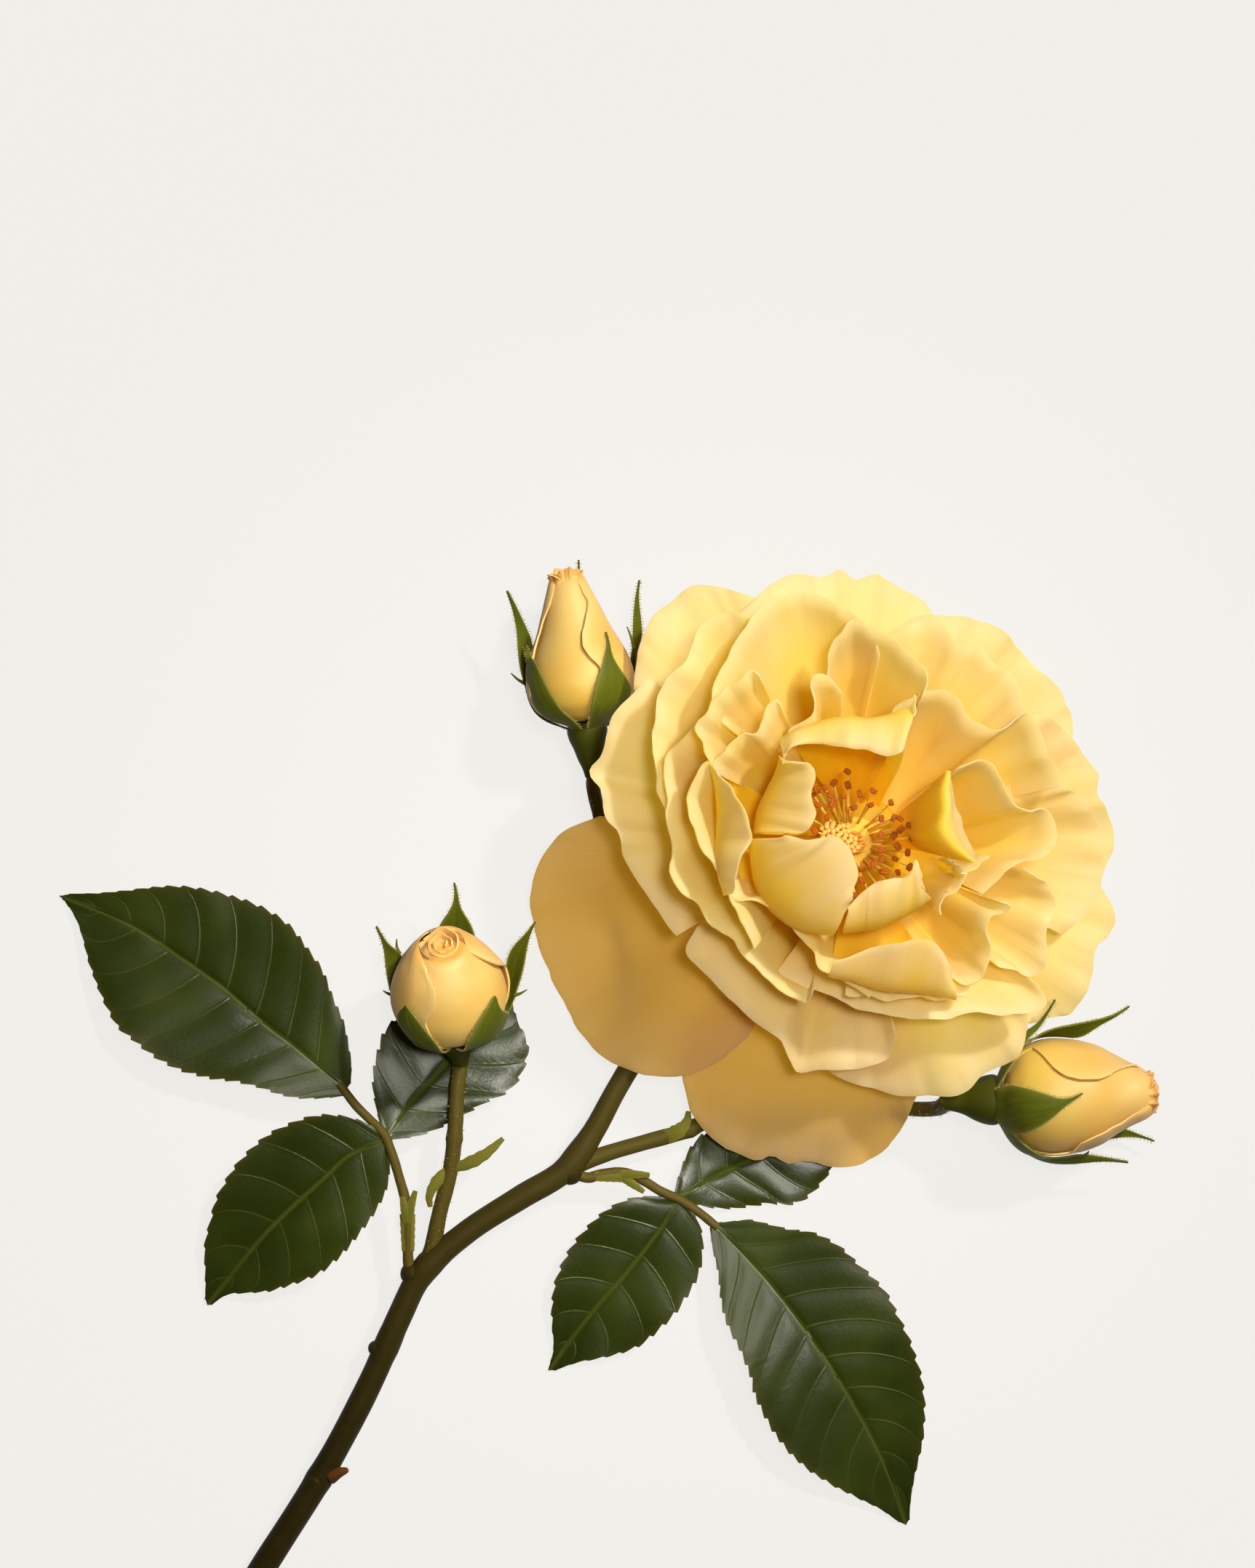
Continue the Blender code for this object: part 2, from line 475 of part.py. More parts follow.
def make_bloom_petals():
    """All the bloom's petals and the low seat they grow from, in one node."""
    radius = BLOOM_CORE_RADIUS
    seat = turned([(0, BLOOM_SEAT), (radius - 3, BLOOM_SEAT), (radius - 0.3, BLOOM_SEAT + 1.6),
                   (radius, BLOOM_SEAT + 3.6), (radius - 1, BLOOM_CORE_TOP - 0.3), (0, BLOOM_CORE_TOP)],
                  14, (BLOOM_X, BLOOM_Y, 0), (0, 0, 1))
    shapes = [seat]
    for k, petal in enumerate(PETALS):
        out = PETAL_STEPS_OUT if k < LARGE_PETALS else PETAL_STEPS_OUT - 1
        shapes.append(blade(petal_sheet(petal, petal[3], out), PETAL_THICK))
    obj = fuse("bloom_petals", shapes, "MANIFOLD")
    rest_on_table(obj, "MANIFOLD")
    finish(obj, (0.95, 0.62, 0.13), 0.55)
    return obj


def far_from_bud(points, bud):
    """How far along a bud and out from its axis points lie, and how far out a blade stays clear of it."""
    foot, axis = bud_frame(bud)
    rel = points - foot
    along = rel @ axis
    out = rel - along[:, None] * axis
    heights = [h * bud["length"] for _, h in bud["profile"]]
    radii = [r * bud["radius"] for r, _ in bud["profile"]]
    clear = np.maximum(np.interp(along, heights, radii), np.interp(along + 1.0, heights, radii)) + SEPAL_CLEAR
    clear[(along < -1.3) | (along > bud["length"] + 0.6)] = 0
    return along, out, clear


def clear_of_bud(points, bud):
    """Points moved out from a bud's axis to where a blade there stays clear of the bud."""
    foot, axis = bud_frame(bud)
    along, out, clear = far_from_bud(points, bud)
    more = np.maximum(clear / np.maximum(np.linalg.norm(out, axis=1), 1e-6), 1)[:, None]
    return foot + along[:, None] * axis + out * more


def on_bud(bud, x, y):
    """The place over the plan's (x, y) where a blade lies on a bud's petals, as near as it gets to them."""
    sight = np.array([seen_at(x, y, z) for z in np.linspace(34.0, 4.0, 301)])
    _, out, clear = far_from_bud(sight, bud)
    space = np.linalg.norm(out, axis=1) - clear
    inside = np.nonzero(space < 0)[0]
    return sight[inside[0]] if len(inside) else sight[np.argmin(space)]


def strap(spine, widths, rows, thick, lift=0.0):
    """A narrow blade along a spine, with its middle raised."""
    path = smooth(spine, rows)
    wide = np.interp(np.linspace(0, 1, rows), np.linspace(0, 1, len(widths)), widths)[:, None]
    along = unit(np.gradient(path, axis=0))
    faced = unit((0.0, 0.0, 1.0) - along[:, 2:] * along)
    across = np.cross(along, faced)
    grid = np.stack([path - across * wide / 2, path + faced * wide * lift, path + across * wide / 2], axis=1)
    grid[:, :, 2] = np.maximum(grid[:, :, 2], thick / 2 - 0.03)
    return blade(grid, thick)


def sepal(bud, left, right):
    """A sepal between two edges, bulging away from its bud and nowhere nearer to it than SEPAL_CLEAR."""
    foot, axis = bud_frame(bud)
    edges = [np.array([seen_at(*point) if len(point) == 3 else on_bud(bud, *point) for point in edge])
             for edge in (left, right)]
    left, right = (smooth(edge, SEPAL_ROWS) for edge in edges)
    middle = (left + right) / 2
    half = (right - left) / 2
    wide = np.linalg.norm(half, axis=1, keepdims=True)
    half = half * np.maximum(1, SEPAL_LEAST_HALF / np.maximum(wide, 0.01))
    rel = middle - foot
    faced = unit(rel - (rel @ axis)[:, None] * axis)
    columns = [middle - half, middle + faced * wide * SEPAL_BULGE, middle + half]
    grid = np.stack([clear_of_bud(column, bud) for column in columns], axis=1)
    grid[:, :, 2] = np.maximum(grid[:, :, 2], SEPAL_THICK / 2 - 0.03)
    return blade(grid, SEPAL_THICK)


def bud_frame(bud):
    """Where a bud's petals start, and the way it points."""
    return np.array(seen_at(*bud["base"])), unit(np.array(bud["axis"], float))


BUD_HEAD = [(0, 0), (0.3, 0), (0.72, 0.1), (0.94, 0.24), (1, 0.4), (0.95, 0.56), (0.8, 0.74), (0.62, 0.87),
            (0.47, 0.96), (0.34, 0.99), (0.2, 0.93), (0, 0.9)]
BUD_PEAR = [(0, 0), (0.34, 0), (0.74, 0.07), (0.93, 0.15), (1, 0.25), (0.96, 0.37), (0.83, 0.5), (0.67, 0.62),
            (0.54, 0.75), (0.4, 0.88), (0.28, 0.98), (0.16, 0.99), (0, 0.96)]
BUD_EGG = [(0, 0), (0.32, 0), (0.7, 0.07), (0.91, 0.17), (1, 0.31), (0.97, 0.46), (0.86, 0.61), (0.69, 0.72),
           (0.55, 0.82), (0.44, 0.92), (0.27, 0.99), (0.14, 0.99), (0, 0.95)]

# Buds: where the petals start and the way they point, their size, the hip below them, and their sepals. A sepal
# is its two edges from the hip to its tip, as (x, y, height) in the plan, or as (x, y) where it lies on the bud.
BUDS = [
    {"name": "bud_left", "base": (-71.7, -33.5, 11.6), "axis": (-0.09, 0.75, 0.66), "length": 20.0,
     "radius": 10.2, "profile": BUD_HEAD, "wraps": 3, "slant": 1.1, "turn": 0.4, "hip": 5.4, "hip_wide": 3.7,
     "sepals": [
         ([(-73, -36.6, 7.6), (-75.4, -30, 4.6), (-76, -24, 5), (-75.4, -18.5, 7.2), (-74.2, -15.5, 9),
           (-73, -13.8, 9.8), (-72.1, -12.3, 10.2), (-71.7, -10.2, 10.8), (-71.9, -8.2, 11.2)],
          [(-70.8, -36.6, 7.6), (-68.6, -30, 4.6), (-67.8, -24, 5), (-68, -18.5, 7.2), (-68.6, -16.2, 8.6),
           (-69.7, -14.2, 9.6), (-70.8, -12.6, 10.2), (-71.1, -10.2, 10.8), (-71.7, -8.2, 11.2)]),
         ([(-73.4, -36.8, 8), (-77.6, -35.8, 8), (-80.8, -32.4, 9.6), (-82.5, -28.8, 11.6),
           (-83.4, -25.5, 13.6), (-83.9, -22, 15.6), (-84.1, -20, 16.8), (-84.9, -17.6, 18.5),
           (-85.5, -15.9, 19.8)],
          [(-73, -36.6, 9.8), (-76.6, -33.6, 10.4), (-79.4, -29.6, 11), (-80.4, -25.4, 12),
           (-80.4, -22, 13.6), (-81.4, -20.5, 15), (-83.2, -19.2, 17), (-84.5, -17.4, 18.7),
           (-85.4, -15.9, 19.9)]),
         ([(-70.8, -36.6, 9.8), (-67, -33.6, 10.4), (-64.2, -29.6, 11), (-63, -25.6, 12),
           (-62.6, -22.6, 13.6), (-62, -20.3, 15.2), (-60.9, -18.8, 16.5), (-59.7, -17.7, 17.6),
           (-57.7, -15.2, 19)],
          [(-70.4, -36.8, 8), (-66, -35.8, 8), (-63, -32.4, 9.6), (-61.6, -29.4, 11.4),
           (-60.7, -26.8, 13.2), (-59.9, -24.2, 14.9), (-59.3, -21.4, 16.3), (-58.8, -18.6, 17.2),
           (-57.5, -15.1, 19)]),
         ([(-73.6, -36.4, 9.6), (-76.4, -36.6, 14.5), (-79.2, -35.9), (-81.1, -33.6), (-81.7, -31.7),
           (-81, -30.5), (-80.3, -29.8)],
          [(-72.2, -36.9, 10.2), (-73, -37.6, 15), (-75.3, -36.1), (-77, -34), (-78.6, -31.9),
           (-79.7, -30.5), (-80.2, -29.7)]),
         ([(-71.6, -36.9, 10.2), (-70.7, -37.6, 15), (-68.8, -35.2), (-67.8, -33.2), (-66.8, -31.5),
           (-65.7, -29.9), (-64.8, -28.1)],
          [(-70, -36.4, 9.6), (-67.4, -36.6, 14.5), (-65, -35.7), (-63.1, -33.6), (-62.5, -31.9),
           (-63.9, -30.2), (-64.6, -28.1)])]},
    {"name": "bud_upper", "base": (-48.6, 20.2, 11.2), "axis": (-0.137, 0.99, 0.012), "length": 26.0,
     "radius": 9.3, "profile": BUD_PEAR, "wraps": 3, "slant": -0.9, "turn": 1.2, "hip": 6.0, "hip_wide": 3.5,
     "sepals": [
         ([(-48.2, 18.6, 13.6), (-47.9, 21), (-47.5, 23.8), (-46.9, 26.3), (-46.2, 28.8), (-45.4, 31.6),
           (-44.9, 33.8), (-45.3, 35.9)],
          [(-46.6, 18.4, 13), (-44.5, 20.4), (-43, 22.4), (-41.3, 24.1), (-40.7, 25.6), (-41.4, 27.4),
           (-42.7, 29.4), (-44, 31.5), (-44.5, 33.8), (-45.1, 35.9)]),
         ([(-50, 18.6, 12.4), (-52.4, 19.7), (-55, 20.6), (-57, 22.2), (-57.9, 24.2), (-58.4, 26.2),
           (-58.8, 28.5, 13.6), (-59, 30.5, 14), (-59.1, 32.2, 14.4), (-59.3, 33.7, 14.6)],
          [(-49.2, 18.6, 13.6), (-51, 20.6), (-52.7, 22), (-54, 23.8), (-55.2, 25.8), (-56.3, 28),
           (-57.4, 30.4), (-58.3, 32.1), (-59.2, 33.7, 14.7)]),
         ([(-50.2, 18.6, 10.6), (-54, 19.8, 9.6), (-57.3, 22.4, 9), (-59, 26, 9), (-59.9, 28.5, 9.4),
           (-60.4, 31.5, 10), (-60.7, 35, 10.6), (-61, 37.5, 11), (-61.6, 40.3, 11.6), (-62.5, 43.2, 12)],
          [(-49.6, 18.6, 11.4), (-52.6, 20.6, 9.4), (-55.2, 24, 8), (-57, 28, 7.6), (-57.8, 32, 8.6),
           (-58.3, 35, 10), (-59.3, 37.2, 11), (-60.4, 39.5, 11.6), (-61.3, 41.3, 12), (-62.4, 43.2, 12.1)]),
         ([(-48, 18.6, 9.6), (-44.8, 21.4, 8), (-42.4, 25.5, 7.4), (-41.2, 29.5, 8.4), (-40.5, 32.8, 10),
           (-40.4, 35.5, 11.2), (-40.3, 38.8, 12), (-40.1, 41, 12.3), (-39.8, 43, 12.6),
           (-39.3, 45.1, 12.8)],
          [(-47.2, 18.6, 10.6), (-43.2, 20.4, 9.4), (-40.4, 24.4, 9), (-39.7, 28.5, 9.4),
           (-39.7, 32.5, 10.4), (-38.8, 34.8, 11.4), (-38.7, 36.2, 11.7), (-39, 39, 12.1),
           (-39.3, 42.3, 12.5), (-39.1, 45.1, 12.9)]),
         ([(-49.7, 18.2, 9), (-51, 20, 4.6), (-51.8, 26, 1.3), (-51.7, 34, 1), (-50.9, 40, 2.2),
           (-50.2, 44, 3.4), (-50, 46.5, 4.4), (-49.95, 48.6, 5.2)],
          [(-47.5, 18.2, 9), (-46.2, 20, 4.6), (-46, 26, 1.3), (-46.8, 34, 1), (-48.4, 40, 2.2),
           (-49.5, 44, 3.4), (-49.7, 46.5, 4.4), (-49.85, 48.6, 5.2)])]},
    {"name": "bud_right", "base": (24.6, -46.3, 12.1), "axis": (1.0, 0.045, -0.005), "length": 27.0,
     "radius": 10.1, "profile": BUD_EGG, "wraps": 3, "slant": 0.9, "turn": 2.2, "hip": 6.4, "hip_wide": 4.4,
     "sepals": [
         ([(22.8, -45.2, 15.2), (24, -44.3, 17.2), (26, -43.9), (28, -44.2), (30, -44.7), (32.5, -45.5),
           (34.8, -46.2), (36.6, -46.1), (38.8, -45.2)],
          [(22.8, -48.6, 14.6), (23.8, -50, 15.2), (25.2, -51.3), (26.7, -52), (28.3, -52.1), (30, -51.6),
           (32.5, -50.2), (34, -49), (35.4, -47.7), (37.1, -46.5), (38.8, -45.3)]),
         ([(23, -44.2, 14), (24.5, -41.7, 14.4), (27.4, -38.6, 14.6), (29.4, -36.3, 14.8),
           (31.2, -34.9, 15), (33.6, -33.9, 15.4), (37, -33.2, 15.8), (40, -32.6, 16), (43, -31.9, 15.8),
           (45, -31.1, 15.4), (47, -29.9, 15)],
          [(23.2, -44.6, 12.6), (25, -42.2, 12.2), (28, -38.8, 11.8), (31, -36.5, 11.4), (34, -35.5, 11.6),
           (36.5, -35.5, 12.5), (38.2, -35.4, 13.4), (39.7, -34.7, 14.2), (41.2, -33.6, 14.8),
           (42.7, -32.7, 15), (44.5, -31.8, 15.1), (46, -30.7, 15.1), (47, -30, 15)]),
         ([(23.2, -43.8, 14.4), (24.3, -41.3, 15), (26, -38.2, 15.8), (27.6, -35.7, 16.4),
           (29, -34.2, 16.8), (30.3, -33.4, 17), (31.5, -32.2, 17.2), (32.5, -30.9, 17.5),
           (33.9, -28.7, 18)],
          [(23.6, -44.6, 15.6), (25, -42.2, 16.8), (27, -39, 17.4), (28.8, -36, 17.4), (30, -34.9, 17.3),
           (31.2, -33.7, 17.3), (32.2, -32.1, 17.5), (33, -30.8, 17.7), (34, -28.8, 18)]),
         ([(23.2, -48.2, 13.4), (25.6, -51.4, 13.6), (28, -53.1, 13.8), (30, -54.5, 13.4),
           (31.8, -55.6, 12.8), (34, -56, 12), (37, -56.1, 11), (40, -56.1, 10.2), (42, -56.4, 9.6),
           (44.4, -56.8, 9.1), (46.8, -57.3, 8.7)],
          [(23, -48.8, 11.6), (25.4, -52.1, 11), (26.6, -53.4, 10.6), (28.2, -55.1, 10.2),
           (30.2, -56.5, 10), (32.4, -57.3, 9.8), (35, -57.6, 9.6), (38, -57.5, 9.4), (41, -57.2, 9.2),
           (44, -57.2, 8.9), (46.8, -57.4, 8.6)]),
         ([(23, -46.6, 8.6), (25.4, -46.4, 5.4), (31, -47.8, 2.2), (38, -49.6, 1.6), (43.5, -50.9, 2),
           (45.5, -51.3, 2.4), (47.6, -52, 2.8), (49.5, -52.8, 3.2), (51.4, -53.6, 3.6)],
          [(23, -48.4, 9.6), (25, -51.2, 7.2), (31, -54.2, 3.4), (38, -54.6, 2.2), (42.4, -53.5, 2.2),
           (45, -53, 2.4), (47.6, -52.9, 2.8), (49.5, -53.1, 3.2), (51.4, -53.75, 3.6)])]},
]
SEPAL_CLEAR = 1.0
SEPAL_ROWS = 8
SEPAL_LEAST_HALF = 0.33
SEPAL_BULGE = 0.2
WRAP_STEP = 0.055


def bud_shape(bud, sides):
    """A bud's petals wrapped round each other: a turned body whose radius steps in past each petal's edge."""
    foot, axis = bud_frame(bud)
    side = np.array((0.0, 0.0, 1.0))
    side = unit(side - axis * np.dot(axis, side))
    third = np.cross(axis, side)
    inner = bud["profile"][1:-1]
    verts = [foot]
    for k, (share, height) in enumerate(inner):
        for j in range(sides):
            a = 2 * math.pi * j / sides
            turn = bud["turn"] + bud["slant"] * k / len(inner)
            saw = (bud["wraps"] * a / (2 * math.pi) + turn) % 1.0
            r = share * bud["radius"] * (1 + WRAP_STEP * (saw - 0.7))
            verts.append(foot + axis * height * bud["length"] + r * (math.cos(a) * side + math.sin(a) * third))
    verts.append(foot + axis * bud["profile"][-1][1] * bud["length"])
    rings = len(inner)
    faces = []
    for j in range(sides):
        n = (j + 1) % sides
        faces.append((0, 1 + n, 1 + j))
        for i in range(rings - 1):
            a = 1 + i * sides
            faces.append((a + j, a + n, a + sides + n))
            faces.append((a + j, a + sides + n, a + sides + j))
        a = 1 + (rings - 1) * sides
        faces.append((a + j, a + n, len(verts) - 1))
    return np.array(verts), faces


def hip_foot(bud):
    """Where the stalk meets a bud's hip."""
    foot, axis = bud_frame(bud)
    return foot - axis * (bud["hip"] + GAP)


def make_bud(bud):
    petals = make_object(bud["name"] + "_petals", bud_shape(bud, 18))
    finish(petals, (0.93, 0.60, 0.16), 0.5)
    foot, axis = bud_frame(bud)
    wide, tall = bud["hip_wide"], bud["hip"]
    hip = turned([(0, 0), (1.6, 0), (wide * 0.8, tall * 0.3), (wide, tall * 0.58), (wide * 0.94, tall * 0.8),
                  (wide * 0.82, tall), (0, tall)], 10, hip_foot(bud), axis)
    shapes = [hip]
    for left, right in bud["sepals"]:
        shapes.append(sepal(bud, left, right))
    calyx = fuse(bud["name"] + "_calyx", shapes, "MANIFOLD")
    rest_on_table(calyx, "MANIFOLD")
    finish(calyx, (0.20, 0.30, 0.07), 0.6)


def around_bloom(radius, azimuth, z):
    turn = math.radians(azimuth)
    return (BLOOM_X + radius * math.cos(turn), BLOOM_Y + radius * math.sin(turn), z)


def make_bloom_calyx():
    hip = turned([(0, 15), (1.9, 15), (3.6, 17), (4.6, 19.5), (4.4, 22), (5.4, BLOOM_SEAT - GAP),
                  (0, BLOOM_SEAT - GAP)], 14, (BLOOM_X, BLOOM_Y, 0), (0, 0, 1))
    shapes = [hip]
    for k in range(5):
        azimuth = 40.6 + 72 * k
        spine = [around_bloom(r, azimuth, z) for r, z in ((3.6, 22.4), (7.5, 22.4), (12, 20.2), (17, 15.8),
                                                          (21.5, 11.5))]
        shapes.append(strap(spine, [3.4, 6, 5.4, 3.2, 0.7], 6, SEPAL_THICK, 0.1))
    obj = fuse("bloom_calyx", shapes)
    finish(obj, (0.20, 0.30, 0.07), 0.6)


def stamen_places():
    """Each stamen's root, bend and anther, round the disc."""
    draw = random.Random(SEED)
    places = []
    for k in range(STAMENS):
        azimuth = 137.508 * k + draw.uniform(-8, 8)
        reach = STAMEN_REACH + (k % 4 - 1.5) * 0.75 + draw.uniform(-0.3, 0.3)
        high = STAMEN_HEIGHT - (k % 3) * 1.3 + draw.uniform(-0.5, 0.5)
        root = around_bloom(4.1, azimuth, BLOOM_CORE_TOP + GAP + STAMEN_DISC_THICK - 0.5)
        bend = around_bloom((4.1 + reach) / 2 - 0.6, azimuth, (root[2] + high) / 2 + 0.6)
        tip = around_bloom(reach, azimuth + draw.uniform(-5, 5), high)
        places.append((np.array(root), np.array(bend), np.array(tip)))
    return places


def make_bloom_stamens():
    low = BLOOM_CORE_TOP + GAP
    disc = turned([(0, low), (STAMEN_DISC_RADIUS - 0.4, low), (STAMEN_DISC_RADIUS, low + 0.7),
                   (STAMEN_DISC_RADIUS - 0.3, low + STAMEN_DISC_THICK), (0, low + STAMEN_DISC_THICK)],
                  14, (BLOOM_X, BLOOM_Y, 0), (0, 0, 1))
    shapes = [disc]
    for root, bend, tip in stamen_places():
        out = unit(tip - bend)
        path = [root, bend, tip - out * ANTHER_LONG, tip, tip + out * ANTHER_LONG]
        shapes.append(tube(path, [0.38, 0.34, 0.33, ANTHER_WIDE, 0.33], 4))
    obj = fuse("bloom_stamens", shapes)
    finish(obj, (0.80, 0.38, 0.06), 0.5)


def make_bloom_pistil():
    low = BLOOM_CORE_TOP + 2 * GAP + STAMEN_DISC_THICK
    dome = turned([(0, low), (PISTIL_RADIUS - 0.4, low), (PISTIL_RADIUS, low + 0.8),
                   (PISTIL_RADIUS * 0.8, low + 2.2), (0, low + PISTIL_HEIGHT - 0.8)],
                  10, (BLOOM_X, BLOOM_Y, 0), (0, 0, 1))
    shapes = [dome]
    for k in range(STIGMAS):
        share = math.sqrt((k + 0.5) / STIGMAS)
        root = np.array(around_bloom(share * 1.9, 137.508 * k, low + PISTIL_HEIGHT - 1.7 - share * 0.9))
        tip = np.array(around_bloom(share * 2.7, 137.508 * k, low + PISTIL_HEIGHT - share * 1.3))
        shapes.append(tube([root, tip], [0.52, 0.44], 4))
    obj = fuse("bloom_pistil", shapes)
    finish(obj, (0.82, 0.50, 0.16), 0.6)


# The stem: each branch as points of the plan with a height, and its radius along the way.
MAIN_STEM = [
    (-143.2, -188.4, 2.1), (-136, -177, 2.1), (-128, -164.4, 2.12), (-116, -145.6, 2.4),
    (-105.5, -128.8, 2.9), (-94.6, -111.4, 3.6), (-86, -95, 4.4), (-81.4, -84.5, 5), (-77.6, -77, 5.4),
    (-70, -70, 5.7), (-60, -63.5, 5.8), (-52, -58.5, 5.8), (-47.3, -52, 5.7), (-43.5, -45, 5.6),
    (-36, -33, 5.6), (-24, -19, 6.2), (-12, -8.4, 7.8)]
MAIN_RADII = [2.3, 2.3, 2.3, 2.3, 2.3, 2.3, 2.15, 2.15, 2.2, 2.1, 2.1, 2.1, 1.95, 1.9, 1.9, 1.9, 1.9]
LEFT_STALK = [(-77.4, -76.8, 5.4), (-76, -73.4, 5.6), (-74.3, -66, 6.1), (-72.5, -59, 6.5),
              (-71.6, -51, 6.6), (-71.4, -46.5, 6.3)]
RIGHT_BRANCH = [(-52, -58.7, 5.6), (-46, -56.2, 4.7), (-38, -53.8, 3.6), (-31.6, -52, 3.1), (-24, -48.6, 2.9),
                (-12, -45.6, 2.9), (0, -46.2, 2.9), (9, -48, 4.4), (13.6, -47.8, 8)]
UPPER_STALK = [(-37.2, -34.5, 5.7), (-40, -24, 6.6), (-43.4, -10, 7), (-46, 2.5, 7.8), (-47.4, 9.5, 9.5)]
BRACTS = [
    ([(-71.8, -58.4, 7), (-69.4, -57.6, 7.6), (-66.4, -56, 7.8), (-63.2, -53.2, 7.4)], [1.4, 2.1, 1.6, 0.7]),
    ([(-72.8, -58.6, 7), (-75, -61, 7.4), (-76.2, -63.6, 7.4), (-76, -65.2, 7)], [1.4, 2.0, 1.4, 0.7]),
    ([(-34.5, -53, 4), (-32, -51.6, 4.8), (-30.8, -50, 4.9), (-30.6, -48.4, 4.7)], [2.4, 2.6, 1.6, 0.7]),
]


def stalk(points, bud, radii, sides=6):
    """A stalk through points of the plan that ends against a bud's hip."""
    _, axis = bud_frame(bud)
    end = hip_foot(bud)
    path = smooth(np.concatenate([plan(points), [end - axis * 3.2]]), len(points) + 3)
    path = np.concatenate([path, [end - axis * 1.4, end - axis * (GAP + 0.05)]])
    wide = np.interp(np.linspace(0, 1, len(path)), np.linspace(0, 1, len(radii)), radii)
    return tube(path, wide, sides, math.pi / sides)


def make_stem():
    main = np.concatenate([plan(MAIN_STEM), [(-6.2, -3.6, 9.2), (-3.2, -1.4, 11.8),
                                             (BLOOM_X, BLOOM_Y, 13.4), (BLOOM_X, BLOOM_Y, 14.65)]])
    radii = MAIN_RADII + [1.85, 1.8, 1.8, 1.8]
    shapes = [tube(main, radii, 8, math.pi / 8)]
    shapes.append(stalk(LEFT_STALK, BUDS[0], [1.5, 1.35, 1.35, 1.35]))
    shapes.append(stalk(UPPER_STALK, BUDS[1], [1.3, 1.2, 1.2, 1.2]))
    shapes.append(stalk(RIGHT_BRANCH, BUDS[2], [1.45, 1.35, 1.3, 1.35]))
    for spine, widths in BRACTS:
        shapes.append(strap(plan(spine), widths, 5, SEPAL_THICK, 0.12))
    swelling = [(0, -2.2), (1.6, -1.5), (2.2, 0), (1.6, 1.5), (0, 2.2)]
    shapes.append(turned(swelling, 7, seen_at(-79.1, -77, 5.3), (0.4, 0.9, 0)))
    shapes.append(turned(swelling, 7, seen_at(-51.4, -59.2, 5.6), (0.8, 0.6, 0)))
    small = [(0, -1.6), (1.3, -1), (1.7, 0), (1.2, 1), (0, 1.6)]
    shapes.append(turned(small, 6, seen_at(-85.3, -90.2, 4.7), (0.4, 0.9, 0)))
    shapes.append(turned(small, 6, seen_at(-96, -113.4, 4.4), (0.5, 0.85, 0)))
    thorn = [(0, 0), (1.3, 0), (0.95, 1.6), (0.4, 3.2), (0, 3.6)]
    shapes.append(turned(thorn, 6, seen_at(-93.6, -112.6, 4.4), (0.86, 0.42, 0.25)))
    obj = fuse("stem", shapes)
    rest_on_table(obj)
    finish(obj, (0.19, 0.24, 0.07), 0.5)


